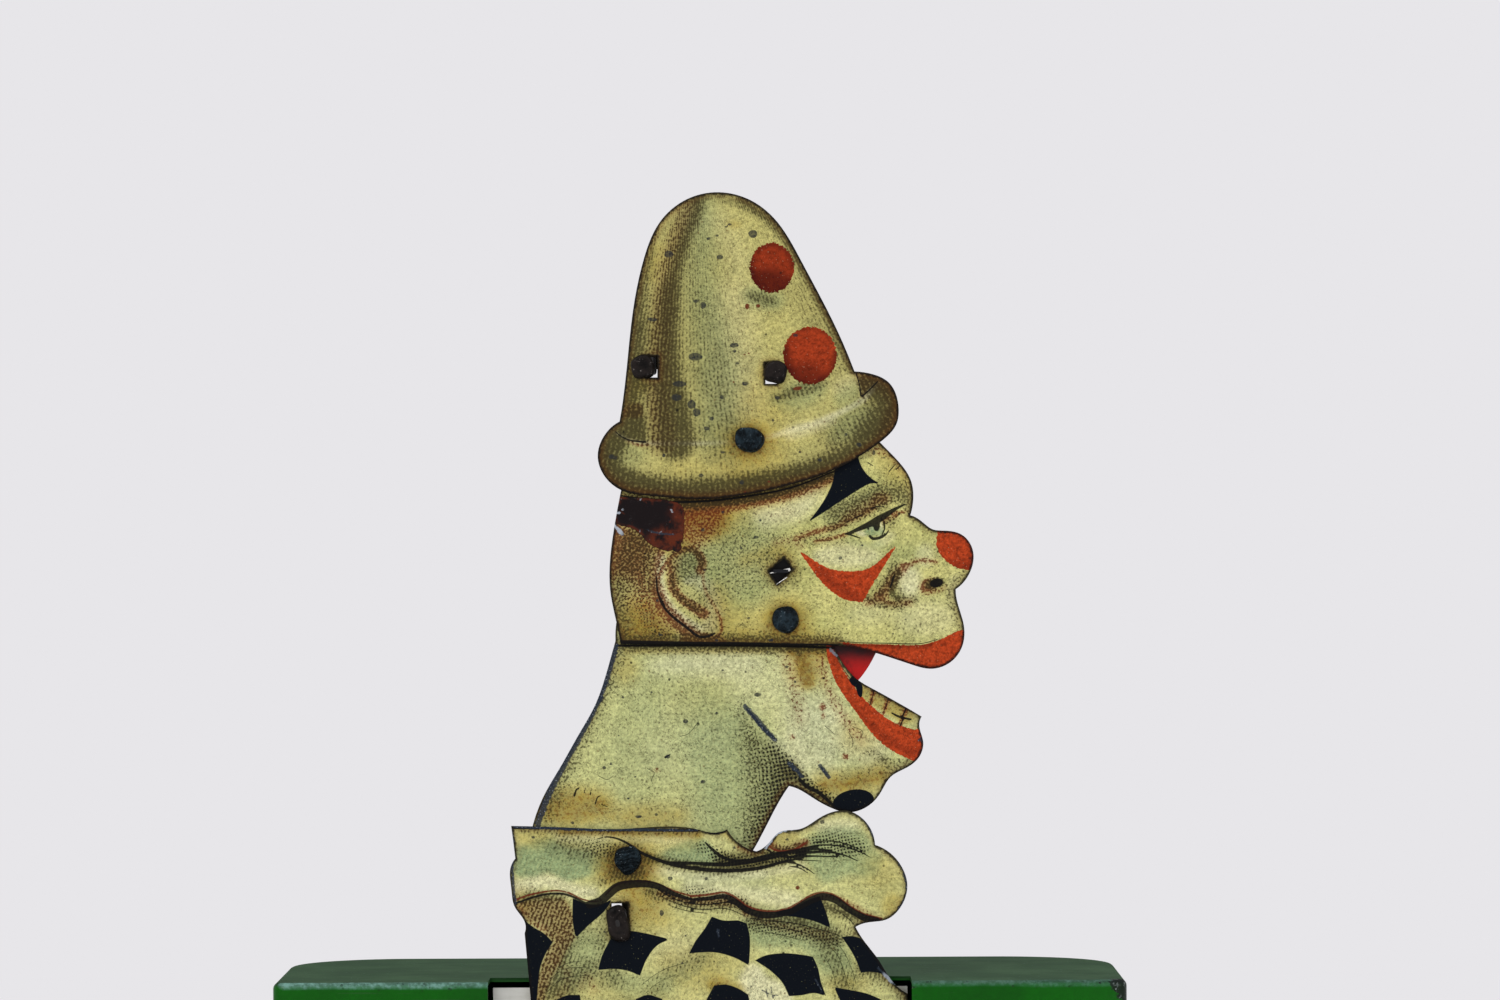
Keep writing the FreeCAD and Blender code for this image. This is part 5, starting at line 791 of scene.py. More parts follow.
TORSO_ART = Artwork({
    Print.MAROON: lines(
        (2, 1.4, 0, 513, 899, 525, 894.5, 540, 891, 556, 889.5, 568, 892, 580, 898, 592, 900.5, 600, 899),
        (1.6, 1.6, 0, 604, 894, 612, 886, 622, 881.5, 640, 880, 656, 883, 672, 890, 690, 895.5),
        (2.2, 2.6, 0, 690, 895.5, 708, 894, 722, 892, 732, 896, 744, 905, 758, 910, 774, 911, 788, 908),
        (2.6, 2, 0, 788, 908, 800, 901, 810, 895, 822, 892.5, 834, 896, 848, 906, 862, 914, 880, 919),
        (1.5, 2.5, 0, 764, 838, 770, 848, 782, 851, 794, 849, 804, 843),
        (1.5, 1.5, 0, 738, 842, 748, 850, 757, 851),
    ) + spots((796, 887.5, 4.5, 4.5)),
    Print.INK: (
        area((612, 932, 628, 930, 646, 933), (668, 938.5, 655, 945, 645, 958), (638, 975, 626, 970, 612, 968),
         (596, 969, 600, 955, 606, 943)),
        area((710, 916, 722, 920, 736, 920), (745, 923, 748, 936, 748, 950), (747, 965, 732, 957, 714, 952,
         697, 952), (687, 953, 694, 940, 703, 928)),
        area((753, 960, 764, 955, 780, 953, 796, 954), (811, 956.5, 816, 968, 819, 982), (824, 996, 812, 993,
         800, 995), (787, 996, 780, 982, 768, 970)),
        area((840, 937, 850, 936), (858, 938, 870, 950, 880, 962), (888, 977, 876, 973, 866, 972), (859, 973,
         854, 960, 848, 949)),
        area((571, 897, 586, 903, 600, 903), (612, 897, 602, 911, 586, 925), (574, 937, 571, 920)),
        area((520, 917, 532, 926, 542, 932), (551, 941, 543, 954, 538, 968, 536, 985), (534, 1010, 522, 1010,
         520, 960)),
        area((776, 911, 792, 907, 806, 900), (818, 896, 824, 911), (829, 928, 812, 921, 795, 917), (776, 915,
         774, 913)),
        area((712, 985, 724, 984, 736, 988), (746, 994, 750, 1012), (752, 1030, 732, 1022, 712, 1020), (696, 1022,
         702, 1004)),
        area((832, 987, 848, 990, 866, 994), (884, 1002, 892, 1020), (896, 1040, 876, 1030, 860, 1026), (844, 1026,
         840, 1006)),
        area((555, 998, 566, 994), (578, 994, 580, 1014), (576, 1036, 560, 1030), (546, 1032, 548, 1014)),
        area((634, 998, 646, 994), (660, 998, 668, 1016), (668, 1040, 650, 1032), (628, 1034, 626, 1014)),
        area((590, 1048, 606, 1044), (624, 1050, 630, 1070), (626, 1092, 606, 1084), (586, 1088, 582, 1068)),
        area((690, 1044, 712, 1042), (732, 1050, 740, 1070), (738, 1094, 716, 1084), (692, 1088, 686, 1066)),
        area((782, 1030, 804, 1032), (826, 1042, 832, 1062), (832, 1086, 812, 1074), (788, 1072, 780, 1052)),
        area((864, 1062, 880, 1062), (900, 1072, 904, 1096), (900, 1124, 884, 1108), (862, 1104, 858, 1082)),
        area((742, 1108, 760, 1106), (780, 1114, 786, 1136), (782, 1160, 760, 1150), (738, 1152, 736, 1128)),
        area((640, 1104, 658, 1102), (676, 1110, 682, 1132), (678, 1156, 656, 1148), (634, 1150, 632, 1126)),
    ),
    Print.LINE: lines(
        (2, 2.5, 0, 514, 902, 530, 896.5, 545, 893, 560, 892.5, 572, 896, 584, 902, 596, 903),
        (8, 2.5, 3, 588, 903.5, 599, 900, 607, 893, 616, 886, 628, 883.5, 644, 883, 658, 886, 672, 893, 690, 899),
        (2.5, 6, 2, 690, 899, 706, 898, 722, 896, 732, 900, 744, 909, 758, 914, 774, 914.5, 790, 911),
        (6, 4.5, 2, 790, 911, 802, 904, 812, 899, 822, 896.5, 834, 900, 848, 910, 862, 917, 876, 920),
        (0.8, 4, 0.8, 596, 838, 606, 836, 618, 838.5, 630, 845, 640, 852, 656, 859, 672, 864, 690, 867.5,
         708, 869.5, 724, 870.5),
        (3.4, 1.6, 1, 724, 870.5, 744, 869.5, 762, 867, 780, 862, 800, 858),
        (1, 1.2, 3.2, 660, 861, 680, 862, 700, 863, 722, 864, 744, 862, 766, 858, 786, 852, 806, 849, 830, 850),
        (1.6, 1.2, 2, 704, 842, 711, 849, 720, 856, 732, 860, 746, 859),
        (1.6, 1.2, 1.6, 746, 860, 762, 856, 776, 853, 792, 852, 812, 853),
        (1.4, 0.8, 1.2, 764, 848, 776, 855, 792, 857, 812, 856, 836, 857),
        (1.2, 0.8, 1, 790, 856, 806, 853, 826, 852, 842, 855, 856, 861),
        (1, 0.6, 0.8, 800, 848, 818, 845, 838, 846, 856, 851, 868, 857),
        (0.8, 0.5, 0.6, 812, 842, 830, 841, 848, 845, 864, 852),
        (1, 0.6, 0.6, 784, 862, 796, 864, 806, 869, 813, 874), (0.8, 0.5, 0.4, 788, 866, 798, 868, 806, 873),
        (0.8, 0.5, 0.4, 786, 859, 800, 860, 820, 861), (1.5, 1.5, 1, 700, 829, 712, 833, 722, 831, 728, 828),
        (3.5, 3, 0, 510, 826, 560, 827, 620, 829, 697, 830),
        (0.6, 0.6, 0.4, 655, 888, 668, 896, 684, 902, 706, 904, 726, 902, 740, 908),
        (0.5, 0.5, 0.4, 660, 896, 678, 904, 700, 909, 724, 908, 744, 916),
        (0.4, 0.4, 0.3, 666, 904, 684, 910, 706, 913),
        (0.5, 0.5, 0.4, 748, 918, 770, 921, 792, 923, 820, 930, 838, 936),
        (0.5, 0.4, 0.4, 750, 923, 774, 927, 796, 931, 816, 937), (0.4, 0.4, 0.3, 752, 930, 776, 934, 800, 940),
        (0.6, 0.6, 0.4, 826, 898, 842, 908, 860, 920, 880, 926), (0.5, 0.5, 0.4, 832, 908, 848, 920, 856, 930),
        (1.4, 1.4, 2.4, 605, 908, 609, 920, 614, 930, 622, 936), (0.5, 0.5, 0, 556, 967, 566, 962, 580, 960),
        (0.5, 0.5, 0, 548, 978, 562, 968, 584, 966), (0.5, 0.5, 0, 544, 992, 560, 978, 586, 974),
        (0.5, 0.5, 0, 640, 984, 650, 976, 664, 968, 684, 962), (0.4, 0.4, 0, 644, 992, 656, 982, 674, 974),
        (0.6, 0.6, 0, 826, 945, 836, 956, 842, 972, 846, 986),
        (0.5, 0.5, 0, 830, 938, 842, 952, 850, 970, 854, 984), (0.5, 0.4, 0, 822, 956, 830, 970, 834, 986),
    ),
    Print.FLECK: spots(
        (668.5, 878, 5, 4.5), (704.5, 878, 4, 4), (660, 912, 4, 7), (603, 931, 3, 3), (536, 876, 3, 2.5),
        (680, 962.5, 3, 2), (712, 948, 2, 3), (733, 847, 3.5, 3), (684, 935, 3, 2), (532, 836, 4, 3),
        (786, 839, 4, 3), (821, 822, 5, 4), (796, 829, 6, 2.5), (588, 872, 2.5, 2), (650, 868, 2.5, 2),
        (840, 878, 2.5, 2), (760, 880, 2, 2), (877, 889, 3, 2), (624, 872, 3, 6), (730, 940, 2, 2),
    ),
    Print.WEAR: lines(
        (3, 2, 1, 512, 825, 540, 826.5, 580, 828, 640, 829, 697, 830), (1.4, 1, 0, 760, 990, 768, 994, 776, 995),
        (1.2, 1, 0, 764, 988, 766, 998), (1, 1, 0, 769, 987, 771, 998), (1.2, 1.2, 0, 884, 962, 888, 972),
        (1.2, 1.2, 0, 813, 979, 820, 992), (3, 2, 0, 716, 930, 717, 936),
        (2.4, 3.4, 0.8, 764, 848, 768, 842, 773, 835, 781, 830, 794, 828), (2, 3, 1, 876, 968, 886, 978, 892, 984),
        (2, 2.5, 0.5, 897, 864, 904, 880, 905, 895, 896, 912), (2.5, 2.5, 0, 512, 830, 511, 870, 514, 905),
        (2, 2, 0, 852, 811, 864, 821, 872, 838),
    ),
    Print.SHADE: strokes(
        (14, 12, 20, 0.5, 560, 842, 585, 850, 606, 852), (4, 6, 12, 0.85, 640, 856, 690, 866, 730, 868, 780, 860),
        (12, 8, 14, 0.72, 724, 862, 760, 856, 800, 850),
        (7, 7, 14, 0.7, 650, 890, 690, 902, 735, 904, 760, 916, 800, 916),
        (6, 6, 12, 0.8, 815, 902, 846, 914, 876, 924), (6, 6, 18, 0.5, 800, 922, 836, 934, 862, 934),
        (6, 8, 16, 0.45, 598, 905, 606, 920, 600, 945), (8, 12, 20, 0.32, 590, 920, 572, 950, 560, 985),
        (10, 12, 18, 0.45, 820, 940, 835, 965, 842, 990), (14, 14, 18, 0.5, 556, 990, 590, 968, 612, 976),
        (6, 6, 18, 0.35, 650, 990, 670, 970, 700, 958), (6, 6, 18, 0.5, 750, 922, 790, 928, 830, 940),
        (3, 3, 7, 0.5, 510, 828, 600, 830, 697, 831), (5, 5, 12, 0.5, 600, 880, 622, 872, 640, 874),
        (4, 4, 9, 0.6, 512, 900, 530, 897, 560, 896), (26, 26, 36, 0.35, 530, 1024, 700, 1030, 880, 1040),
        (12, 12, 40, 0.4, 560, 1050, 640, 1060, 760, 1050, 860, 1060),
        (8, 12, 16, 0.75, 862, 968, 890, 978, 906, 992), (2, 3, 9, 0.5, 905, 860, 908, 890, 898, 914),
        (30, 22, 10, 0.5, 536, 905, 556, 916, 556, 945, 538, 990),
    ) + glows((627, 862, 30, 34, 16, 0.6), (622, 918, 14, 30, 16, 0.5), (722, 990, 26, 6, 8, 0.6, 10)),
    Print.DOTS: strokes(
        (10, 10, 10, 0.45, 690, 893, 716, 898, 740, 903), (10, 10, 10, 0.5, 750, 925, 790, 930, 834, 940),
        (10, 8, 8, 0.7, 716, 858, 740, 862, 768, 858, 800, 852), (8, 8, 8, 0.5, 700, 846, 714, 852, 724, 858),
    ) + (
        Tone(area((806, 838, 820, 832, 842, 832, 860, 838, 868, 850, 850, 858, 820, 856)), 12, 0.62, 0.6),
        Tone(area((580, 842, 600, 840, 616, 846, 612, 856, 590, 856)), 12, 0.42, 0.5),
    ),
    Print.COOL: strokes(
        (30, 30, 40, 0.5, 560, 1030, 700, 1040, 860, 1050), (8, 8, 22, 0.3, 690, 880, 720, 876, 760, 882),
    ) + (
        Tone(area((512, 850, 526, 842, 545, 836, 566, 846, 590, 850, 606, 858, 614, 870, 600, 872, 584, 876,
         566, 880, 548, 872, 530, 876, 512, 872)), 8, 1, 0.5),
        Tone(area((648, 860, 664, 850, 690, 838, 702, 838, 712, 848, 722, 862, 712, 866, 690, 864, 668, 862)), 7, 1,
         0.5),
        Tone(area((800, 850, 812, 838, 830, 830, 856, 832, 872, 848, 878, 862, 868, 874, 846, 872, 824, 880,
         812, 866)), 12, 0.8),
        Tone(area((748, 916, 800, 920, 832, 934, 852, 985, 826, 972, 800, 946, 756, 942)), 16, 0.8),
        Tone(area((575, 935, 600, 940, 592, 968, 570, 985, 556, 975)), 18, 0.6),
        Tone(area((610, 972, 650, 980, 700, 956, 690, 975, 650, 995, 620, 990)), 16, 0.55),
    ),
    Print.WARM: strokes(
        (5, 4, 8, 0.8, 660, 892, 690, 900, 735, 902, 745, 912), (4, 4, 10, 0.4, 745, 912, 780, 926, 830, 936),
        (4, 5, 7, 0.85, 765, 842, 782, 851, 804, 843), (4, 4, 7, 0.6, 738, 846, 757, 852),
        (3, 3, 6, 0.5, 790, 910, 830, 897, 876, 920), (3, 3, 12, 0.4, 556, 960, 566, 975, 556, 1000),
        (3, 3, 10, 0.35, 578, 985, 586, 975, 592, 990),
    ) + (
        Tone(area((512, 906, 524, 899, 545, 896), (564, 898, 571, 912), (573, 937, 564, 952, 553, 972, 545, 990),
         (540, 1012), (526, 1012, 534, 985, 541, 958), (551, 941, 536, 928, 524, 918)), 6, 0.66, 0.5),
    ),
    Print.PALE: strokes(
        (10, 6, 12, 0.85, 518, 886, 545, 880, 575, 890, 590, 892), (5, 5, 10, 0.5, 560, 834, 620, 836, 690, 838),
        (10, 10, 16, 0.7, 690, 886, 740, 892, 790, 900), (5, 5, 10, 0.5, 700, 876, 760, 872, 800, 866),
        (5, 5, 10, 0.6, 640, 866, 700, 876, 760, 874),
    ) + glows((675, 948, 40, 20, 30, 0.3), (836, 826, 40, 10, 12, 0.6)) + (
        Tone(area((748, 966, 756, 968, 764, 978, 780, 986, 786, 1000, 750, 1000, 742, 990, 740, 978)), 9, 1),
    ),
    Print.RUST: strokes(
        (5, 4, 10, 0.9, 560, 830, 640, 832, 697, 834), (4, 4, 8, 0.5, 720, 830, 742, 842, 756, 848),
    ) + glows(
        (627, 866, 50, 40, 26, 1), (640, 905, 40, 24, 34, 0.75), (530, 835, 30, 14, 18, 0.5),
        (893, 907, 18, 20, 16, 0.6), (880, 870, 24, 20, 30, 0.4), (724, 987, 32, 10, 14, 0.8, 16),
        (700, 980, 50, 14, 20, 0.35), (780, 838, 30, 12, 12, 0.5), (520, 900, 14, 20, 14, 0.5),
        (845, 985, 30, 14, 20, 0.5), (670, 842, 50, 10, 16, 0.3), (660, 925, 50, 16, 20, 0.25),
        (700, 960, 80, 20, 30, 0.35), (600, 1010, 200, 30, 40, 0.3),
    ),
    Print.DEEP: strokes((6, 6, 2, 0.8, 764, 848, 773, 835, 794, 828)) + glows((886, 978, 10, 12, 4, 0.7)),
}, rays=(1500, -1600), ray_span=2600)

Colour = tuple[float, float, float, float]
Run = tuple[float, float, float]


class Signal:
    """One output of a shader node, with Python's arithmetic on its values."""

    def __init__(self, bench: "Bench", socket: bpy.types.NodeSocket) -> None:
        """Keep the socket and the bench that new nodes are added to."""
        self.bench = bench
        self.socket = socket

    def _math(self, operation: str, *terms: Any) -> "Signal":
        """Add a Math node that works on the terms."""
        return self.bench.node("ShaderNodeMath", {"operation": operation}, dict(enumerate(terms)))

    def __add__(self, other: Any) -> "Signal":
        """Sum."""
        return self._math("ADD", self, other)

    __radd__ = __add__

    def __sub__(self, other: Any) -> "Signal":
        """Difference."""
        return self._math("SUBTRACT", self, other)

    def __rsub__(self, other: Any) -> "Signal":
        """Difference with the number first."""
        return self._math("SUBTRACT", other, self)

    def __mul__(self, other: Any) -> "Signal":
        """Product."""
        return self._math("MULTIPLY", self, other)

    __rmul__ = __mul__

    def power(self, exponent: float) -> "Signal":
        """Value raised to a power."""
        return self._math("POWER", self, exponent)

    def high(self, other: Any) -> "Signal":
        """The greater of two values."""
        return self._math("MAXIMUM", self, other)

    def low(self, other: Any) -> "Signal":
        """The lesser of two values."""
        return self._math("MINIMUM", self, other)

    def sine(self) -> "Signal":
        """Sine of the value in radians."""
        return self._math("SINE", self)

    def step(self, start: Any, end: Any, low: float = 0.0, high: float = 1.0) -> "Signal":
        """Smooth step from low at start to high at end.

        Args:
            start: Value at which the step begins.
            end: Value at which it ends.
            low: Result before the step.
            high: Result after it.

        Returns:
            The stepped value.
        """
        inputs = {"Value": self, "From Min": start, "From Max": end, "To Min": low, "To Max": high}
        return self.bench.node("ShaderNodeMapRange", {"interpolation_type": "SMOOTHSTEP"}, inputs)

    def fall(self, start: Any, end: Any, high: float = 1.0) -> "Signal":
        """Smooth step from high at start down to 0 at end."""
        return self.step(start, end, high, 0.0)


class Bench:
    """Place where the nodes of one material, or of the world, are laid out and joined."""

    def __init__(self, owner: bpy.types.Material | bpy.types.World) -> None:
        """Start with the owner's nodes cleared away.

        Args:
            owner: Material or world that gets the nodes.
        """
        owner.use_nodes = True
        self.owner = owner
        self.tree = owner.node_tree
        self.tree.nodes.clear()

    def node(
        self,
        kind: str,
        settings: dict[str, Any] | None = None,
        inputs: dict[Any, Any] | None = None,
        out: Any = 0,
    ) -> Signal:
        """Add a node, set it, and join or fill its sockets.

        Args:
            kind: The node's type.
            settings: Properties of the node.
            inputs: Socket names or numbers, with the values or signals that go in.
            out: Name or number of the output that is returned.

        Returns:
            The chosen output.
        """
        made = self.tree.nodes.new(kind)
        for key, value in (settings or {}).items():
            setattr(made, key, value)
        usable = [socket for socket in made.inputs if socket.enabled]
        for key, value in (inputs or {}).items():
            named = usable[key] if isinstance(key, int) else next(s for s in usable if s.name == key)
            if isinstance(value, Signal):
                self.tree.links.new(value.socket, named)
            else:
                named.default_value = value
        outputs = [socket for socket in made.outputs if socket.enabled]
        if not outputs:
            return Signal(self, made.inputs[0])
        chosen = outputs[out] if isinstance(out, int) else next(s for s in outputs if s.name == out)
        return Signal(self, chosen)

    def layer(self, name: str) -> Signal:
        """Value of a sheet's own attribute."""
        return self.node("ShaderNodeAttribute", {"attribute_name": name}, out="Fac")

    def place(self) -> Signal:
        """Place on the object, in metres."""
        return self.node("ShaderNodeTexCoord", out="Object")

    def axes(self, vector: Signal) -> tuple[Signal, ...]:
        """The three parts of a vector."""
        first = self.node("ShaderNodeSeparateXYZ", inputs={0: vector})
        return tuple(Signal(self, socket) for socket in first.socket.node.outputs)

    def flat_place(self) -> Signal:
        """Place in the plane of the figure: x and height, without depth."""
        across, _, height = self.axes(self.place())
        return self.node("ShaderNodeCombineXYZ", inputs={"X": across, "Y": height})

    def stretched(self, vector: Signal, scale: Run = (1.0, 1.0, 1.0), turn: float = 0.0) -> Signal:
        """Place scaled along each axis and turned about the third one, for grain that runs one way."""
        inputs = {"Vector": vector, "Scale": scale, "Rotation": (0.0, 0.0, turn)}
        return self.node("ShaderNodeMapping", {"vector_type": "POINT"}, inputs)

    def noise(
        self, vector: Signal, size: float, detail: float = 3.0, rough: float = 0.55, bend: float = 0.0
    ) -> Signal:
        """Cloudy variation between 0 and 1.

        Args:
            vector: Place that it is read at.
            size: Size of its features in metres.
            detail: Number of finer octaves.
            rough: Strength of the finer octaves.
            bend: Distortion.

        Returns:
            The value.
        """
        inputs = {"Vector": vector, "Scale": 1.0 / size, "Detail": detail, "Roughness": rough}
        return self.node("ShaderNodeTexNoise", {"noise_dimensions": "3D"}, {**inputs, "Distortion": bend})

    def stray(self, vector: Signal, size: float, reach: float, detail: float, rough: float = 0.55) -> Signal:
        """Cloudy variation about 0: noise less a half, times the reach."""
        return (self.noise(vector, size, detail, rough) - 0.5) * reach

    def spots(self, vector: Signal, size: float, core: float, rim: float) -> Signal:
        """Scattered spots, full within the core and gone at the rim, both as shares of their spacing."""
        inputs = {"Vector": vector, "Scale": 1.0 / size, "Randomness": 1.0}
        return self.node("ShaderNodeTexVoronoi", {"voronoi_dimensions": "3D"}, inputs, "Distance").fall(core, rim)

    def mix(self, share: Any, first: Any, second: Any, blend: str = "MIX") -> Signal:
        """Mix of two colours or signals: all first at a share of 0, all second at 1."""
        settings = {"data_type": "RGBA", "blend_type": blend}
        return self.node("ShaderNodeMix", settings, {"Factor": share, "A": first, "B": second})

    def coated(self, base: Any, *coats: tuple[Any, Any]) -> Signal:
        """Colour after coats are laid over it in turn, each given by its share and its colour.

        Args:
            base: Colour or signal underneath.
            coats: Share and colour of each coat, the lowest first.

        Returns:
            The colour on top.
        """
        for share, coat in coats:
            base = self.mix(share, base, coat)
        return base

    def shaded(self, colour: Signal, amount: Signal) -> Signal:
        """Colour made darker or lighter: each part times the amount."""
        return self.mix(1.0, colour, amount, "MULTIPLY")

    def bump(self, height: Signal, distance: float) -> Signal:
        """Normal of a surface raised by a height signal, in metres at 1."""
        inputs = {"Height": height, "Distance": distance, "Strength": 1.0}
        return self.node("ShaderNodeBump", inputs=inputs, out="Normal")

    def principled(self, inputs: dict[str, Any]) -> bpy.types.Material:
        """Finish the material with one shader that has these inputs."""
        return self.finish(self.node("ShaderNodeBsdfPrincipled", inputs=inputs))

    def finish(self, shader: Signal) -> Any:
        """Join the shader to the output and hand over the material or the world.

        Args:
            shader: Shader to show.

        Returns:
            The material or the world.
        """
        world = isinstance(self.owner, bpy.types.World)
        kind = "ShaderNodeOutputWorld" if world else "ShaderNodeOutputMaterial"
        self.node(kind, inputs={"Surface": shader})
        return self.owner


def new_bench(name: str) -> Bench:
    """Bench for a new material of that name."""
    return Bench(bpy.data.materials.new(name))


def shade_of(red: int, green: int, blue: int) -> Colour:
    """Colour of a paint chart entry: each part from 0 to 255 turned into linear light.

    Args:
        red: Red part.
        green: Green part.
        blue: Blue part.

    Returns:
        The colour in linear light, opaque.
    """
    parts = []
    for part in (red, green, blue):
        share = part / 255
        parts.append(share / 12.92 if share <= 0.04045 else ((share + 0.055) / 1.055) ** 2.4)
    return (parts[0], parts[1], parts[2], 1.0)


@dataclass(frozen=True)
class PrintedTin:
    """Stone-printed tin: thin inks on a cream ground, ruled and stippled tones, all under old varnish.

    Attributes:
        name: Name of the material.
        ground: The cream ground.
        aged: The ground where it has yellowed.
        ruled: Share of ruled lines in the shading; the rest is stipple.
        ragged: How far the edge of the red ink strays, in millimetres.
        blend: How softly the lines and dots of the shading end.
        line_pitch: Pitch of the ruled lines in millimetres.
        stipple_size: Size of the stipple's grains in metres.
        screen_pitch: Pitch of the dot screen in metres.
        full_tone: Height of pattern and tone together at which a line or a dot is half there.
        tone_gain: How far a full tone raises the pattern.
        edge_blur: Half of the width over which a sharp edge ends, in millimetres.
        rim_black: Distances from the rim between which its black ends, in millimetres.
        rim_stain: Distances from the rim between which its brown stain ends.
    """

    name: str
    ground: Colour
    aged: Colour
    ruled: float = 0.5
    ragged: float = 0.05
    blend: float = 0.36
    line_pitch: float = 0.46
    stipple_size: float = 0.00034
    screen_pitch: float = 0.0004
    full_tone: float = 1.04
    tone_gain: float = 0.85
    edge_blur: float = 0.035
    rim_black: tuple[float, float] = (0.14, 0.44)
    rim_stain: tuple[float, float] = (0.1, 1.1)
    red: Colour = shade_of(160, 57, 25)
    red_deep: Colour = shade_of(62, 15, 9)
    maroon: Colour = shade_of(96, 38, 24)
    ink: Colour = shade_of(7, 12, 19)
    line: Colour = shade_of(16, 15, 15)
    shade: Colour = shade_of(84, 76, 40)
    shade_deep: Colour = shade_of(38, 32, 18)
    warm: Colour = shade_of(150, 74, 38)
    warm_deep: Colour = shade_of(94, 28, 16)
    cool: Colour = shade_of(124, 148, 108)
    pale: Colour = shade_of(220, 216, 176)
    rust: Colour = shade_of(168, 144, 56)
    rust_deep: Colour = shade_of(92, 52, 18)
    fleck: Colour = shade_of(40, 42, 44)
    bare: Colour = shade_of(40, 47, 57)
    bright: Colour = shade_of(172, 180, 190)
    lacquer: Colour = shade_of(14, 5, 6)
    lacquer_thin: Colour = shade_of(96, 38, 14)

    def material(self) -> bpy.types.Material:
        """Build the material; it reads the layers that each sheet carries at its points.

        Returns:
            The material.
        """
        bench = new_bench(self.name)
        flat = bench.flat_place()
        grain = bench.noise(flat, 0.0005, 4.0, 0.85).step(0.34, 0.66)
        fine = bench.noise(flat, 0.0002, 1.0, 0.5)
        mottle = bench.noise(flat, 0.0016, 3.0, 0.65)
        cloud = bench.noise(flat, 0.006, 4.0, 0.6)
        wobble = bench.stray(flat, 0.0005, 0.14, 2.0, 0.5)
        blur = self.edge_blur

        def mask_of(layer: Print, stray: Any) -> Signal:
            """Where a sharp layer covers, with its edge led astray a little."""
            return (bench.layer(layer) + stray).step(-blur, blur)

        red = bench.mix(bench.layer(Print.DEEP) * (0.7 + 0.5 * grain), self.red, self.red_deep)
        red = bench.shaded(red, 0.14 + 0.92 * grain + 0.80 * mottle)
        red = bench.mix(fine.step(0.70, 0.76) * 0.3, red, self.pale)
        red_edge = bench.stray(flat, 0.0003, self.ragged, 1.0) * 6.0 + wobble * 0.6
        ink = bench.mix(fine.step(0.5, 0.8) * 0.12, self.ink, self.fleck)
        specks = bench.spots(flat, 0.0021, 0.05, 0.11) * bench.noise(flat, 0.004).step(0.44, 0.6)
        lacquer = mask_of(Print.VARNISH, wobble * 1.6)
        flow = bench.noise(flat, 0.0024, 3.0, 0.5, 1.2)
        thick = bench.mix(flow.step(0.58, 0.74) * 0.8, self.lacquer, self.lacquer_thin)
        rim_thin = bench.layer(Print.VARNISH).fall(0.05, 0.45, 0.7) * flow.step(0.4, 0.6)
        rim_thin = rim_thin.high(bench.layer(Print.RUST) * mottle.step(0.35, 0.6))
        # Painted highlights: a few small white glints on the varnish, in the bright colour.
        glints = bench.noise(flat, 0.0007, 2.0, 0.5).step(0.66, 0.70) * flow.step(0.5, 0.6) * 0.55
        bare = (bench.layer(Print.WEAR) + (grain - 0.5) * 0.12 + wobble * 1.6).step(-blur, blur * 2)
        shine = (fine.step(0.64, 0.74) * 0.7).high(bench.layer(Print.DEEP))
        colour = bench.coated(
            self.toned_ground(bench, flat, grain, mottle, cloud),
            (mask_of(Print.RED, red_edge), red),
            (mask_of(Print.MAROON, wobble) * (0.8 + 0.2 * grain), self.maroon),
            (mask_of(Print.INK, wobble * 0.5) * (1 - fine.step(0.72, 0.78) * 0.35), ink),
            (mask_of(Print.LINE, wobble * 0.5) * 0.96, self.line),
            (mask_of(Print.FLECK, wobble * 1.8) * (0.6 + 0.4 * grain), self.fleck),
            (specks * 0.85, self.line),
            (self.rim_depth(bench, flat).fall(*self.rim_black) * 0.92, self.line),
            (lacquer, bench.mix(rim_thin, thick, self.lacquer_thin)),
            (lacquer * glints, self.bright),
            (bare * 0.9, bench.mix(shine, self.bare, self.bright)),
        )
        relief = grain * 0.4 + fine * 0.3 + mottle * 1.6 + lacquer * flow * 22.0
        return bench.principled({
            "Base Color": colour,
            "Roughness": 0.55 + (cloud - 0.5) * 0.2 + (grain - 0.5) * 0.1 - bare * 0.14 - lacquer * 0.45,
            "Metallic": bare * 0.2,
            "Normal": bench.bump(relief, 0.000016),
            "Specular IOR Level": 0.04,
            "Coat Weight": 0.02 + lacquer * 0.18,
            "Coat Roughness": 0.08,
        })

    def toned_ground(self, bench: Bench, flat: Signal, grain: Signal, mottle: Signal, cloud: Signal) -> Signal:
        """Lay the stains and the shaded tones over the ground.

        Each tone is laid twice: thinly all over its place, and thickly where the pattern's height
        and the tone together pass a level, so that lines and dots grow with the tone.

        Args:
            bench: The material's bench.
            flat: Place in the plane of the figure.
            grain: Fine variation.
            mottle: Middling variation.
            cloud: Broad variation.

        Returns:
            The colour of the toned ground.
        """
        pattern = self.shading_pattern(bench, flat)
        rust = bench.layer(Print.RUST)
        speck = bench.noise(flat, 0.0005, 3.0, 0.7)
        hair = bench.noise(flat, 0.0010, 2.0, 0.6, 2.4)
        patches = bench.noise(flat, 0.0026, 2.0).step(0.44, 0.58)
        crackle = hair.step(0.474, 0.494) * hair.fall(0.502, 0.522) * patches
        brown = bench.spots(bench.stretched(flat, turn=0.7), 0.0012, 0.05, 0.14)
        stained = bench.coated(
            bench.mix(cloud.step(0.35, 0.72), self.ground, self.aged),
            (bench.layer(Print.PALE) * (0.5 + 0.4 * mottle), self.pale),
            (bench.layer(Print.COOL) * (0.6 + 0.3 * pattern), self.cool),
            ((rust * (0.3 + 1.1 * mottle)).low(0.9), self.rust),
            ((rust * 0.42 + speck).step(0.78, 0.98) * 0.7, self.rust_deep),
        )
        warm, shade, dots = (bench.layer(layer) for layer in (Print.WARM, Print.SHADE, Print.DOTS))

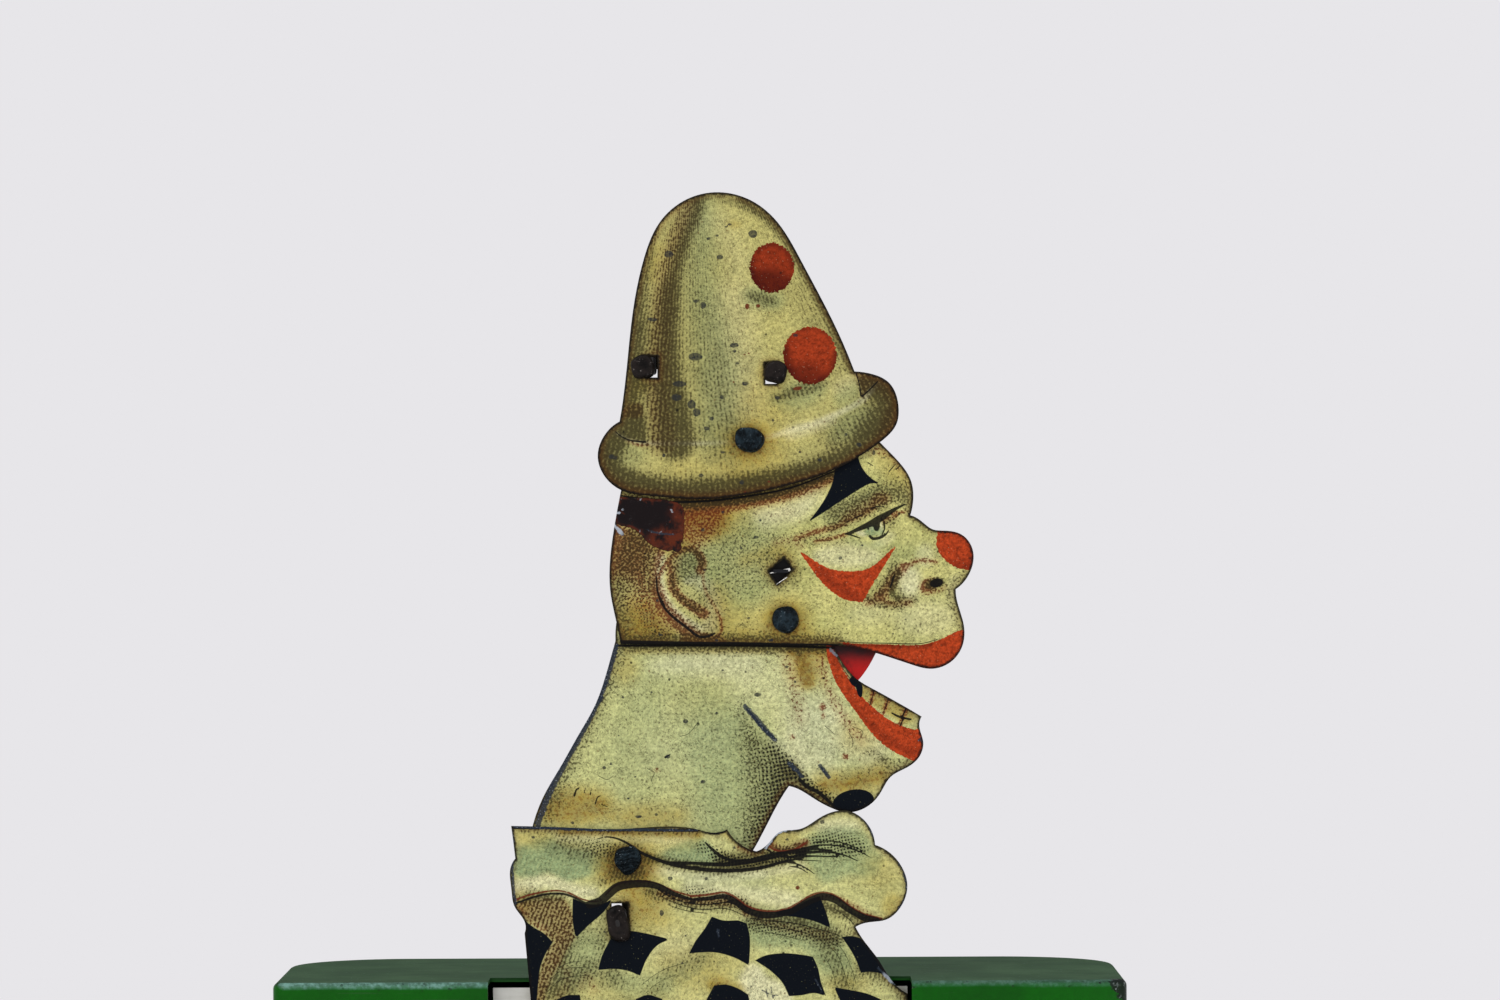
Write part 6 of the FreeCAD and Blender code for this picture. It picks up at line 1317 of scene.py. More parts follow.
        def thick(tone: Signal) -> Signal:
            """Where the lines and dots of a tone are."""
            half = self.blend * 0.5
            return (pattern + tone * self.tone_gain).step(self.full_tone - half, self.full_tone + half)

        rim = self.rim_depth(bench, flat).fall(*self.rim_stain)
        return bench.coated(
            bench.shaded(stained, 0.40 + 0.66 * grain + 0.54 * mottle),
            (crackle * 0.7, self.shade_deep),
            (brown * bench.noise(flat, 0.003, 2.0).step(0.42, 0.6) * 0.7, self.rust_deep),
            (warm * 0.5, self.warm),
            (thick(warm) * 0.8, self.warm_deep),
            (shade * 0.74, self.shade),
            (thick(shade) * 0.7, self.shade_deep),
            (dots * 0.34, self.shade),
            ((self.dot_screen(bench, flat) + dots * 0.66).step(0.96, 1.1) * 0.94, self.line),
            (rim * (0.2 + 0.3 * bench.noise(flat, 0.0002, 1.0, 0.5)), self.rust_deep),
        )

    def rim_depth(self, bench: Bench, flat: Signal) -> Signal:
        """Distance from the sheared rim in millimetres, led astray a little."""
        return bench.layer(Print.RIM) + bench.stray(flat, 0.0006, 0.7, 3.0, 0.7)

    def shading_pattern(self, bench: Bench, flat: Signal) -> Signal:
        """Height of the shading pattern between 0 and 1: waving ruled lines mixed with stipple.

        Args:
            bench: The material's bench.
            flat: Place in the plane of the figure.

        Returns:
            The height.
        """
        run = bench.layer(Print.RUN) + bench.stray(flat, 0.0011, 0.42, 1.0)
        ruled = (run * (2 * math.pi / self.line_pitch)).sine() * 0.5 + 0.5
        stipple = bench.noise(flat, self.stipple_size, 1.0, 0.5).step(0.3, 0.68)
        return ruled * self.ruled + stipple * (1.0 - self.ruled)

    def dot_screen(self, bench: Bench, flat: Signal) -> Signal:
        """Height of a regular dot screen: sine across times sine up, on a turned and slightly bent grid.

        Args:
            bench: The material's bench.
            flat: Place in the plane of the figure.

        Returns:
            The height.
        """
        count = math.sqrt(2.0) * math.pi / self.screen_pitch
        cloudy = {"Vector": flat, "Scale": 420.0, "Detail": 1.0}
        bend = bench.node("ShaderNodeTexNoise", inputs=cloudy, out="Color")
        bent = bench.node("ShaderNodeVectorMath", {"operation": "SCALE"}, {0: bend, "Scale": 0.0007})
        led = bench.node("ShaderNodeVectorMath", {"operation": "ADD"}, {0: flat, 1: bent})
        across, up, _ = bench.axes(bench.stretched(led, (count, count, 1.0), 0.6))
        return across.sine() * up.sine() * 0.5 + 0.5


@dataclass(frozen=True)
class WornMetal:
    """Metal with a brushed or cast grain, dull patches, fine scratches and spots; on the rivets the lighter
    patches, and on the rivets and folded tabs the pale spots, are painted highlights.

    Attributes:
        name: Name of the material.
        colour: Colour of the clean metal.
        dull_and_sheen: Colour of its dull patches; on the rivets, a painted blue-grey highlight.
        roughness: Roughness where it is clean.
        grain_size: Size of the grain in metres.
        grain_run: Squeeze of the grain along each axis; it runs where this is least.
        grain_depth: Depth of the grain in metres.
        patch_size: Size of the dull patches in metres.
        patch_share: Share of the dull_and_sheen colour in a patch.
        spots: Share of the spots' own colour.
        spot_and_glint_colour: Colour of the spots; on the rivets and folded tabs, a pale painted highlight.
        metallic: 1 for bare metal, 0 for a painted or blackened face.
        scratches: Strength of the scratches.
        specular: Strength of reflections from a face that isn't metallic.
    """

    name: str
    colour: Colour
    dull_and_sheen: Colour
    roughness: float = 0.32
    grain_size: float = 0.0004
    grain_run: Run = (1.0, 1.0, 1.0)
    grain_depth: float = 0.000006
    patch_size: float = 0.005
    patch_share: float = 0.5
    spots: float = 0.3
    spot_and_glint_colour: Colour = shade_of(60, 40, 26)
    metallic: float = 1.0
    scratches: float = 0.4
    specular: float = 0.5

    def material(self) -> bpy.types.Material:
        """Build the material on the piece's own place.

        Returns:
            The material.
        """
        bench = new_bench(self.name)
        place = bench.place()
        grain = bench.noise(bench.stretched(place, self.grain_run), self.grain_size, 4.0, 0.65)
        patch = bench.noise(place, self.patch_size, 5.0, 0.6, 0.4)
        spot = bench.noise(place, self.patch_size * 0.35, 4.0, 0.75).step(0.62, 0.72)
        dull_and_sheen = patch.step(0.42, 0.68) * self.patch_share
        colour = bench.coated(
            self.colour,
            (dull_and_sheen, self.dull_and_sheen),
            (grain.step(0.35, 0.75) * 0.22, self.dull_and_sheen),
            (spot * self.spots, self.spot_and_glint_colour),
        )
        lines = bench.stretched(place, (0.04, 1.0, 1.0), 0.5)
        scratch = bench.noise(lines, 0.00025, 2.0, 0.5, 0.1).step(0.64, 0.70) * self.scratches
        rough = self.roughness + dull_and_sheen * 0.22 + (grain - 0.5) * 0.22 + spot * self.spots * 0.3 - scratch * 0.08
        return bench.principled({
            "Base Color": colour,
            "Roughness": rough,
            "Metallic": self.metallic - spot * self.spots * 0.6,
            "Normal": bench.bump(grain + patch * 1.5 - scratch * 1.2, self.grain_depth),
            "Specular IOR Level": self.specular,
        })


@dataclass(frozen=True)
class StovedPaint:
    """Gloss green paint stoved on tin: dusty grey-green on top, which also stands for painted reflection, scuffed,
    worn to dark metal at the bends, and with a painted bluish highlight along the front bend.

    Attributes:
        half_width: Half of the case's width, in metres.
        half_depth: Half of its depth.
        height: Its height.
        chipped_from: Where along x its right end is chipped.
    """

    colour: Colour = shade_of(6, 84, 3)
    dark: Colour = shade_of(3, 54, 2)
    dust: Colour = shade_of(46, 70, 46)
    top_shade: Colour = shade_of(18, 46, 22)
    bloom_and_highlight: Colour = shade_of(112, 152, 142)
    worn: Colour = shade_of(24, 24, 24)
    bright: Colour = shade_of(140, 146, 146)
    half_width: float = 0.0532
    half_depth: float = 0.0225
    height: float = 0.053
    chipped_from: float = 0.0506

    def material(self) -> bpy.types.Material:
        """Build the material; wear follows the case's own edges, worked out from the place.

        Returns:
            The material.
        """
        bench = new_bench("green_paint")
        place = bench.place()
        x, y, z = bench.axes(place)
        cloud = bench.noise(place, 0.009, 4.0, 0.6)
        grain = bench.noise(place, 0.0006, 3.0, 0.6)
        peel = bench.noise(place, 0.0016, 2.0, 0.5)
        near_side = (self.half_width - (x * x).power(0.5)) * PER_METRE
        near_face = (self.half_depth - (y * y).power(0.5)) * PER_METRE
        near_top = (self.height - z) * PER_METRE
        bend = near_top.high(near_face).low(near_top.high(near_side)).low(near_side.high(near_face))
        rub = bend + bench.stray(place, 0.0022, 7.0, 5.0, 0.75)
        chips = bench.noise(place, 0.0035, 5.0, 0.8).step(0.72, 0.735) * bend.step(3.0, 9.0, 1.0, 0.2)
        corner = ((x - self.chipped_from) * PER_METRE).high(0.0) + (near_top.fall(0.8, 3.4) - 0.5) * 2.0
        corner = corner + bench.stray(place, 0.0014, 4.0, 4.0, 0.7)
        bare = rub.fall(-1.2, -0.9).high(chips).high(corner.step(1.4, 1.8) * near_face.fall(1.0, 2.5))
        flat_top = near_top.fall(0.12, 0.6)
        soiled = bench.noise(place, 0.006, 2.0).step(0.42, 0.58)
        # The top's grey-green stands for dust and also for painted reflection of the light from above.
        upper = bench.coated(
            bench.mix(cloud.step(0.3, 0.75), self.top_shade, self.dust),
            (bench.spots(place, 0.0016, 0.04, 0.12) * soiled * 0.8, self.worn),
            (bench.spots(bench.stretched(place, turn=0.9), 0.0013, 0.04, 0.10) * 0.35, self.bloom_and_highlight),
        )
        # Painted highlight: a bluish light line along the front bend, broken up by noise.
        painted_bend_highlight = (near_top + near_face + (cloud - 0.5) * 0.5).fall(0.45, 0.95)
        highlight_sparkle = 0.3 + 0.6 * bench.noise(place, 0.0009, 3.0, 0.7).step(0.4, 0.7)
        lines = bench.stretched(place, (0.03, 0.6, 1.0), 0.35)
        scratch = bench.noise(lines, 0.00035, 2.0, 0.5, 0.15).step(0.66, 0.70)
        colour = bench.coated(
            bench.mix(cloud.step(0.3, 0.75) * 0.4, self.colour, self.dark),
            (flat_top * 0.92, upper),
            (bench.noise(place, 0.03, 3.0).step(0.45, 0.8) * 0.1, self.dust),
            # Painted highlight along the front bend, stronger on the left half of the case.
            (painted_bend_highlight * highlight_sparkle * x.step(-0.04, 0.03, 1.0, 0.4), self.bloom_and_highlight),
            (scratch * 0.22, self.dust),
            (rub.fall(-0.9, 0.0) * 0.45, self.worn),
            (bare * 0.9, bench.mix(grain.step(0.55, 0.75), self.worn, self.bright)),
        )
        return bench.principled({
            "Base Color": bench.shaded(colour, 0.8 + 0.4 * grain),
            "Roughness": 0.34 + flat_top * 0.4 + (cloud - 0.5) * 0.16 + scratch * 0.12 + bare * 0.12,
            "Metallic": bare * 0.5,
            "Normal": bench.bump(peel + grain * 0.2 - bare * 2.0 - scratch * 0.4, 0.00002),
            "Specular IOR Level": 0.05,
            "Coat Weight": (1.0 - flat_top) * 0.14,
            "Coat Roughness": 0.2,
        })


@dataclass(frozen=True)
class MouthPaint:
    """Flat red paint on the strip behind the open mouth, with a painted shadow below the head's lower edge and
    painted near-black shade where it goes under the head.

    The strip's twisted tab, which comes forward through the slot in the cheek, is bare metal.

    Attributes:
        mouth_top: Height of the head's lower edge, in metres.
        lining_front: Where the strip's own front is along y; only the tab is before it.
    """

    colour: Colour = shade_of(168, 14, 12)
    # Dark red, for the painted shadow below the head's edge and for the mottle.
    dark: Colour = shade_of(44, 5, 7)
    # Near-black painted shade for the part under the head.
    shade_under_head: Colour = shade_of(9, 7, 8)
    bare: Colour = shade_of(26, 27, 30)
    mouth_top: float = 0.0944
    lining_front: float = -0.0178

    def material(self) -> bpy.types.Material:
        """Build the material.

        Returns:
            The material.
        """
        bench = new_bench("mouth_red")
        place = bench.place()
        _, y, z = bench.axes(place)
        drop = (self.mouth_top - z) * PER_METRE
        cloud = bench.noise(place, 0.0012, 4.0, 0.65)
        tab = ((self.lining_front - y) * PER_METRE).step(0.0, 0.1)
        colour = bench.coated(
            self.colour,
            # Painted shadow below the head's lower edge.
            ((drop + cloud * 1.4).fall(0.8, 3.6), self.dark),
            (cloud.step(0.5, 0.72) * 0.5, self.dark),
            # Painted near-black shade where the strip goes under the head.
            (drop.fall(-4.0, -1.0), self.shade_under_head),
            (tab, self.bare),
        )
        return bench.principled({
            "Base Color": colour,
            "Roughness": 0.4 + (cloud - 0.5) * 0.2,
            "Metallic": tab * 0.4,
            "Normal": bench.bump(cloud, 0.00002),
            "Specular IOR Level": 0.2,
        })


@dataclass(frozen=True)
class FloorPaper:
    """Pale studio paper: matt with a shadow near the toy, and the backdrop's plain colour further off."""

    colour: Colour = (0.80, 0.79, 0.81, 1.0)
    shadowed: Colour = (0.72, 0.71, 0.73, 1.0)
    near: float = 0.22
    far: float = 0.75

    def material(self, backdrop: Colour) -> bpy.types.Material:
        """Build the material; the plain colour is only for what the camera and polished metal see.

        Args:
            backdrop: Colour of the backdrop that the paper runs into.

        Returns:
            The material.
        """
        bench = new_bench("studio_floor")
        place = bench.place()
        x, y, _ = bench.axes(place)
        away = (x * x + y * y).power(0.5).step(self.near, self.far)
        tint = bench.mix(bench.noise(place, 0.3, 2.0) * 0.3, self.colour, self.shadowed)
        paper = bench.node("ShaderNodeBsdfPrincipled", inputs={"Base Color": tint, "Roughness": 0.9})
        plain = bench.node("ShaderNodeEmission", inputs={"Color": backdrop})
        seen = seen_directly(bench)
        return bench.finish(bench.node("ShaderNodeMixShader", inputs={0: away * seen, 1: paper, 2: plain}))


def seen_directly(bench: Bench) -> Signal:
    """1 for what the camera, polished metal or glass sees, 0 for light that only falls on things.

    Args:
        bench: Bench of the material or of the world.

    Returns:
        The 1 or 0.
    """
    path = bench.node("ShaderNodeLightPath", out="Is Camera Ray")
    outputs = path.socket.node.outputs
    glossy, through = Signal(bench, outputs["Is Glossy Ray"]), Signal(bench, outputs["Is Transmission Ray"])
    return path.high(glossy).high(through)


class Metal(Enum):
    """The metal finishes of the frame's nodes."""

    TINPLATE = WornMetal(
        "tinplate", shade_of(206, 206, 198), shade_of(168, 166, 152), 0.36, 0.0005, (0.15, 1.0, 1.0),
        0.000004, 0.006, 0.5, 0.25, shade_of(110, 82, 52),
    )
    STEEL = WornMetal(
        "turned_steel", shade_of(176, 176, 178), shade_of(120, 118, 116), 0.3, 0.00025, (1.0, 6.0, 1.0),
        0.000004, 0.003, 0.5, 0.35,
    )
    SCREW = WornMetal(
        "plated_screws", shade_of(188, 186, 178), shade_of(130, 126, 116), 0.28, 0.0003, (1.0, 1.0, 1.0),
        0.000005, 0.0016, 0.6, 0.45,
    )
    # Painted highlights: the blue-grey patches and pale spots stand for lit facets of the dark rivets.
    RIVET = WornMetal(
        "figure_rivets", shade_of(4, 6, 8), shade_of(50, 66, 75), 0.24, 0.0003, (3.0, 1.0, 1.0), 0.00008,
        0.0012, 0.55, 0.9, shade_of(150, 168, 178), 0.0, 0.9, 0.05,
    )
    # Painted highlights: the pale spots stand for lit places on the dark tabs.
    TAB = WornMetal(
        "folded_tabs", shade_of(34, 29, 27), shade_of(9, 8, 8), 0.34, 0.0004, (1.0, 1.0, 1.0), 0.00004,
        0.0016, 0.95, 0.7, shade_of(138, 130, 124), 0.0, 0.7, 0.06,
    )
    BRACKET = WornMetal(
        "dark_brackets", shade_of(40, 37, 36), shade_of(20, 18, 18), 0.5, 0.0004, (1.0, 1.0, 1.0), 0.00001,
        0.003, 0.7, 0.5, shade_of(40, 24, 14), 0.2, 0.5, 0.3,
    )
    # Near-black painted shade on the strips that pass through the slots.
    SHADE_DARK_STRIP = WornMetal(
        "shade_dark_strip_in_slot", shade_of(16, 14, 14), shade_of(8, 7, 8), 0.6, 0.0004, (1.0, 1.0, 1.0), 0.00001,
        0.002, 0.7, 0.4, shade_of(30, 18, 12), 0.0, 0.4, 0.2,
    )
    BRIGHT = WornMetal(
        "cut_edge", shade_of(232, 230, 226), shade_of(150, 148, 146), 0.3, 0.0003, (1.0, 1.0, 1.0), 0.000005,
        0.002, 0.3, 0.2, shade_of(60, 40, 26), 0.3,
    )
    KEY = WornMetal(
        "key_plating", shade_of(204, 202, 194), shade_of(150, 144, 128), 0.2, 0.0004, (1.0, 1.0, 1.0),
        0.000004, 0.005, 0.55, 0.5, shade_of(104, 78, 50),
    )
    SPRING = WornMetal(
        "spring_steel", shade_of(58, 68, 88), shade_of(40, 42, 50), 0.28, 0.0003, (1.0, 1.0, 5.0), 0.000003,
        0.004, 0.5, 0.3,
    )
    BRASS = WornMetal(
        "brass", shade_of(202, 164, 84), shade_of(150, 110, 52), 0.3, 0.0003, (1.0, 4.0, 1.0), 0.000004,
        0.004, 0.6, 0.35, shade_of(70, 56, 30),
    )
    SHEET_BACK = WornMetal(
        "sheet_back", shade_of(172, 158, 112), shade_of(120, 104, 66), 0.4, 0.0006, (0.2, 1.0, 1.0), 0.000005,
        0.008, 0.7, 0.6, shade_of(96, 54, 26), 0.85,
    )


def edge_spans(triangles: Array) -> Array:
    """Sides that only one triangle has, in that triangle's direction: the outline of a sheet.

    Args:
        triangles: Rows of three numbers of points.

    Returns:
        Rows of two numbers of points.
    """
    sides = np.concatenate([triangles[:, [0, 1]], triangles[:, [1, 2]], triangles[:, [2, 0]]])
    _, first, count = np.unique(np.sort(sides, axis=1), axis=0, return_index=True, return_counts=True)
    return sides[first[count == 1]]


def merged(points: Array, triangles: Array, grain: float) -> tuple[Array, Array]:
    """Make points that share a place one point, and drop triangles that this closes up.

    Args:
        points: Rows of coordinates.
        triangles: Rows of numbers of points, two or three to a row.
        grain: Distance below which two points are one.

    Returns:
        The points that are left and the rows between them.
    """
    keys = np.round(points / grain).astype(np.int64)
    _, first, number = np.unique(keys, axis=0, return_index=True, return_inverse=True)
    return points[first], number.reshape(-1)[triangles]


@dataclass
class Outline:
    """Outline of a flat packed plate.

    Attributes:
        points: Its points (x, z) in millimetres.
        spans: Pairs of numbers of points; the plate lies to the left of each span.
        front: Where its front is along y, in millimetres.
        rear: Where its back is.
    """

    points: Array
    spans: Array
    front: float
    rear: float

    @classmethod
    def of(cls, plate: bpy.types.Object, longest: float = 0.6, slack: float = 0.01) -> "Outline":
        """Read the outline of the face that looks forward, and divide its long spans evenly.

        Args:
            plate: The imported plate.
            longest: Greatest length of a span in millimetres.
            slack: How far behind the foremost point a face may lie.

        Returns:
            The outline.
        """
        mesh = plate.data
        mesh.calc_loop_triangles()
        places = np.empty(len(mesh.vertices) * 3)
        mesh.vertices.foreach_get("co", places)
        corners = np.empty(len(mesh.loop_triangles) * 3, dtype=np.int64)
        mesh.loop_triangles.foreach_get("vertices", corners)
        points, triangles = merged(places.reshape(-1, 3) / MM, corners.reshape(-1, 3), 0.001)
        front, rear = points[:, 1].min(), points[:, 1].max()
        faces = triangles[(points[:, 1][triangles] < front + slack).all(axis=1)]
        spans = edge_spans(faces)
        starts, ends = points[spans[:, 0]][:, [0, 2]], points[spans[:, 1]][:, [0, 2]]
        count = np.maximum(np.ceil(np.linalg.norm(ends - starts, axis=1) / longest).astype(int), 1)
        order = np.arange(count.sum()) - np.repeat(np.cumsum(count) - count, count)
        whole = np.repeat(count, count)[:, None]
        step = np.repeat(ends - starts, count, axis=0)
        base = np.repeat(starts, count, axis=0)
        near = base + step * (order[:, None] / whole)
        far = base + step * ((order[:, None] + 1) / whole)
        numbers = np.arange(len(near) * 2).reshape(2, -1).T
        shared, spans = merged(np.concatenate([near, far]), numbers, 0.0005)
        return cls(shared, spans, float(front), float(rear))

    def inset(self, depth: float) -> Array:
        """Points of the outline moved inwards, along the mean of the two sides that meet there.

        The move is 2 / |sum of the sides' normals| times the depth, held between 1 and 1.6 times.

        Args:
            depth: Length of the move in millimetres.

        Returns:
            The moved points.
        """
        starts, ends = self.ends()
        along = (ends - starts) / np.linalg.norm(ends - starts, axis=1)[:, None]
        inward = np.stack([-along[:, 1], along[:, 0]], axis=1)
        mean = np.zeros_like(self.points)
        np.add.at(mean, self.spans[:, 0], inward)
        np.add.at(mean, self.spans[:, 1], inward)
        length = np.maximum(np.linalg.norm(mean, axis=1), 0.5)[:, None]
        mitre = np.clip(2.0 / length, 1.0, 1.6)
        return self.points + mean / length * depth * mitre

    def ends(self) -> tuple[Array, Array]:
        """Places of the starts and of the ends of the spans."""
        return self.points[self.spans[:, 0]], self.points[self.spans[:, 1]]

    def depth(self, places: Array, reach: float = 0.6) -> Array:
        """Depth of places inside the outline in millimetres, up to the reach."""
        return outline_depth(places, *self.ends(), reach)

    def filled(self, extra: Array) -> tuple[Array, Array]:
        """Divide the inside into triangles between the outline and extra points.

        Args:
            extra: Points inside the outline.

        Returns:
            The points (x, z) and the triangles, which turn left as seen from the front.
        """
        points = np.concatenate([self.points, extra])
        found = geometry.delaunay_2d_cdt(
            [Vector(pair) for pair in points.tolist()], self.spans.tolist(), [], 1, 1e-6
        )
        places = np.array([pair[:] for pair in found[0]])
        triangles = np.array(found[2])
        middle = places[triangles].mean(axis=1)
        order = np.argsort(middle[:, 1])
        within = np.zeros(len(middle), bool)
        within[order] = in_blocks(middle[order], lambda part: inside_spans(part, *self.ends()))
        triangles = triangles[within]
        one, two, three = (places[triangles[:, k]] for k in range(3))
        turn = (two - one)[:, 0] * (three - one)[:, 1] - (two - one)[:, 1] * (three - one)[:, 0]
        triangles[turn < 0] = triangles[turn < 0][:, ::-1]
        return places, triangles


def triangle_piece(
    name: str, points: Array, triangles: Array, finishes: Array | None = None
) -> bpy.types.Object:
    """Make an object from triangles.

    Args:
        name: Name of the piece.
        points: Places in metres.
        triangles: Rows of three numbers of points.
        finishes: Number of the material slot of each triangle.

    Returns:
        The new object, at the origin.
    """
    mesh = bpy.data.meshes.new(name)
    mesh.vertices.add(len(points))
    mesh.vertices.foreach_set("co", points.astype(np.float32).ravel())
    mesh.loops.add(triangles.size)
    mesh.loops.foreach_set("vertex_index", triangles.astype(np.int32).ravel())
    mesh.polygons.add(len(triangles))
    mesh.polygons.foreach_set("loop_start", np.arange(0, triangles.size, 3, dtype=np.int32))
    if finishes is not None:
        mesh.polygons.foreach_set("material_index", finishes.astype(np.int32))
    mesh.update(calc_edges=True)
    mesh.validate()
    mesh.shade_smooth()
    mesh.set_sharp_from_angle(angle=SHARP_BEND)
    piece = bpy.data.objects.new(name, mesh)
    bpy.context.scene.collection.objects.link(piece)
    return piece


@dataclass
class TinSheet:
    """A plate of the figure: a front whose points carry the print, a sheared rim and a plain back.

    Attributes:
        node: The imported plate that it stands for.
        body: The body that it moves with.
        art: What is printed on it.
        finish: Its printed finish.
        pitch: Spacing of the points of its front in millimetres.
        roll: Radius to which shearing rounds its front edge.
        back_pitch: Spacing of the points of its back.
        varnish_rise: Height of a blob of varnish.
        varnish_slope: Width over which a blob rises.
        ring_shares: Where the rows of points along the rim lie, as shares of the roll.
        near_points: Share of the pitch within which a grid point gives way to a point of the print.
    """

    node: str
    body: str
    art: Artwork
    finish: PrintedTin
    pitch: float = 0.26
    roll: float = 0.1
    back_pitch: float = 2.0
    varnish_rise: float = 0.16
    varnish_slope: float = 0.8
    ring_shares: tuple[float, ...] = (0.3, 1.0)
    near_points: float = 0.55

    def grid(self, outline: Outline, pitch: float, margin: float, keys: Array | None = None) -> Array:
        """Points of an even grid, every second row half a step along, that lie deeper than a margin.

        Args:
            outline: The plate's outline.
            pitch: Spacing of the points.
            margin: Least depth of a point.
            keys: Points that come first; a grid point that shares a small cell with one is left out.

        Returns:
            The points.
        """
        low, high = outline.points.min(axis=0), outline.points.max(axis=0)
        rows = np.arange(low[1], high[1], pitch * math.sqrt(3) / 2)
        columns = np.arange(low[0], high[0], pitch)
        x, z = np.meshgrid(columns, rows)
        x = x + (np.arange(len(rows)) % 2)[:, None] * pitch / 2
        places = np.stack([x.ravel(), z.ravel()], axis=1)
        if keys is not None:
            keys = keys[((keys > low) & (keys < high)).all(axis=1)]
            places = np.concatenate([keys, places])
            cells = np.round(places / (pitch * self.near_points)).astype(np.int64)
            places = places[np.sort(np.unique(cells, axis=0, return_index=True)[1])]
            places = places[np.argsort(places[:, 1], kind="stable")]
        return places[outline.depth(places) > margin]

    def build(self, plate: bpy.types.Object, back: bpy.types.Material) -> bpy.types.Object:
        """Make the sheet.

        The front falls away at the edge by roll - sqrt(roll^2 - (roll - depth)^2), a quarter round.

        Args:
            plate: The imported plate.
            back: Material of the back.

        Returns:
            The piece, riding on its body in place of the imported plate.
        """
        pitch = self.pitch * 1.0
        outline = Outline.of(plate)
        rings = np.concatenate([outline.inset(self.roll * share) for share in self.ring_shares])
        rings = rings[outline.depth(rings) > self.roll * 0.2]
        inner = self.grid(outline, pitch, self.roll + pitch * 0.45, self.art.key_points())
        front, front_faces = outline.filled(np.concatenate([rings, inner]))
        rear, rear_faces = outline.filled(self.grid(outline, self.back_pitch, self.back_pitch * 0.25))
        depth = np.clip(outline.depth(front), 0.0, self.roll)
        fall = self.roll - np.sqrt(self.roll**2 - (self.roll - depth) ** 2)
        front_points = np.stack([front[:, 0], outline.front + fall, front[:, 1]], axis=1)
        rear_points = np.insert(rear, 1, outline.rear, axis=1)
        near, far = outline.ends()
        ahead, behind = outline.front + self.roll, outline.rear
        wall = [(near, ahead), (far, ahead), (far, behind), (near, behind)]
        wall_points = np.concatenate([np.insert(pairs, 1, y, axis=1) for pairs, y in wall])
        count = len(near)
        first = np.arange(count)
        wall_faces = np.concatenate([
            np.stack([first, first + 2 * count, first + count], axis=1),
            np.stack([first, first + 3 * count, first + 2 * count], axis=1),
        ])
        parts = (front_points, rear_points, wall_points)
        starts = np.cumsum([0] + [len(part) for part in parts])
        faces = np.concatenate([front_faces, rear_faces[:, ::-1] + starts[1], wall_faces + starts[2]])
        finishes = np.repeat([0, 1, 0], [len(front_faces), len(rear_faces), len(wall_faces)])
        points, faces = merged(np.concatenate(parts), faces, WELD)
        whole = (faces != np.roll(faces, 1, axis=1)).all(axis=1)
        layers = self.print_layers(points[:, [0, 2]], outline)
        points[:, 1] -= self.relief(points, layers, outline.front)
        sheet = triangle_piece(f"printed_{self.node}", points * MM, faces[whole], finishes[whole])
        for layer, values in layers.items():
            attribute = sheet.data.attributes.new(layer.value, "FLOAT", "POINT")
            attribute.data.foreach_set("value", values.astype(np.float32))
        sheet.data.materials.append(self.finish.material())
        sheet.data.materials.append(back)
        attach(sheet, self.body)
        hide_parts(self.node)
        return sheet

    def print_layers(self, places: Array, outline: Outline) -> dict[Print, Array]:
        """Every layer of the print and the distance from the rim, at the sheet's points.

        Args:
            places: Places (x, z) in millimetres.
            outline: The plate's outline.

        Returns:
            Each layer's values.
        """
        order = np.argsort(places[:, 1])
        layers = self.art.layers(places[order])
        layers[Print.RIM] = np.clip(outline.depth(places[order], REACH), 0.0, REACH)
        back_again = np.argsort(order)
        return {layer: values[back_again] for layer, values in layers.items()}

    def relief(self, points: Array, layers: dict[Print, Array], front: float) -> Array:
        """How far each point stands forward: a blob of varnish rises smoothly from its edge.

        The rise is the smooth step of the depth over the slope, times a slow wave across the blob.

        Args:
            points: Places (x, y, z) in millimetres.
            layers: The print's layers there.
            front: Where the flat front is along y; only points there rise.

        Returns:
            The rise of each point in millimetres.
        """
        share = np.clip(layers[Print.VARNISH] / self.varnish_slope, 0.0, 1.0)
        wave = 0.75 + 0.25 * np.sin(points[:, 0] * 2.3 + 1.1 * np.sin(points[:, 2] * 1.9))
        rise = self.varnish_rise * share**2 * (3 - 2 * share) * wave
        return np.where(points[:, 1] < front + MM, rise, 0.0)


def ringed_piece(
    name: str, rings: Array, finish: bpy.types.Material, body: str, slot: str
) -> bpy.types.Object:
    """Make a closed form from rings of points, the first and the last of which close up.

    Each four-sided field between two rings is two triangles. Rings that run rearwards turn from x
    to z, which makes the faces look outwards.

    Args:
        name: Name of the piece.
        rings: Places in millimetres: rings by points round each one by three.
        finish: Material of the piece.
        body: Body that it moves with.
        slot: Not used.

    Returns:
        The piece.
    """
    count, round_count, _ = rings.shape
    first = np.arange(count - 1)[:, None] * round_count
    step = np.arange(round_count)
    later = (step + 1) % round_count
    one, two = (first + step).ravel(), (first + round_count + step).ravel()
    three, four = (first + round_count + later).ravel(), (first + later).ravel()
    faces = np.concatenate([np.stack([one, two, three], axis=1), np.stack([one, three, four], axis=1)])
    points, faces = merged(rings.reshape(-1, 3), faces, WELD)
    whole = (faces != np.roll(faces, 1, axis=1)).all(axis=1)
    piece = triangle_piece(name, points * MM, faces[whole])
    piece.data.materials.append(finish)
    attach(piece, body)
    return piece


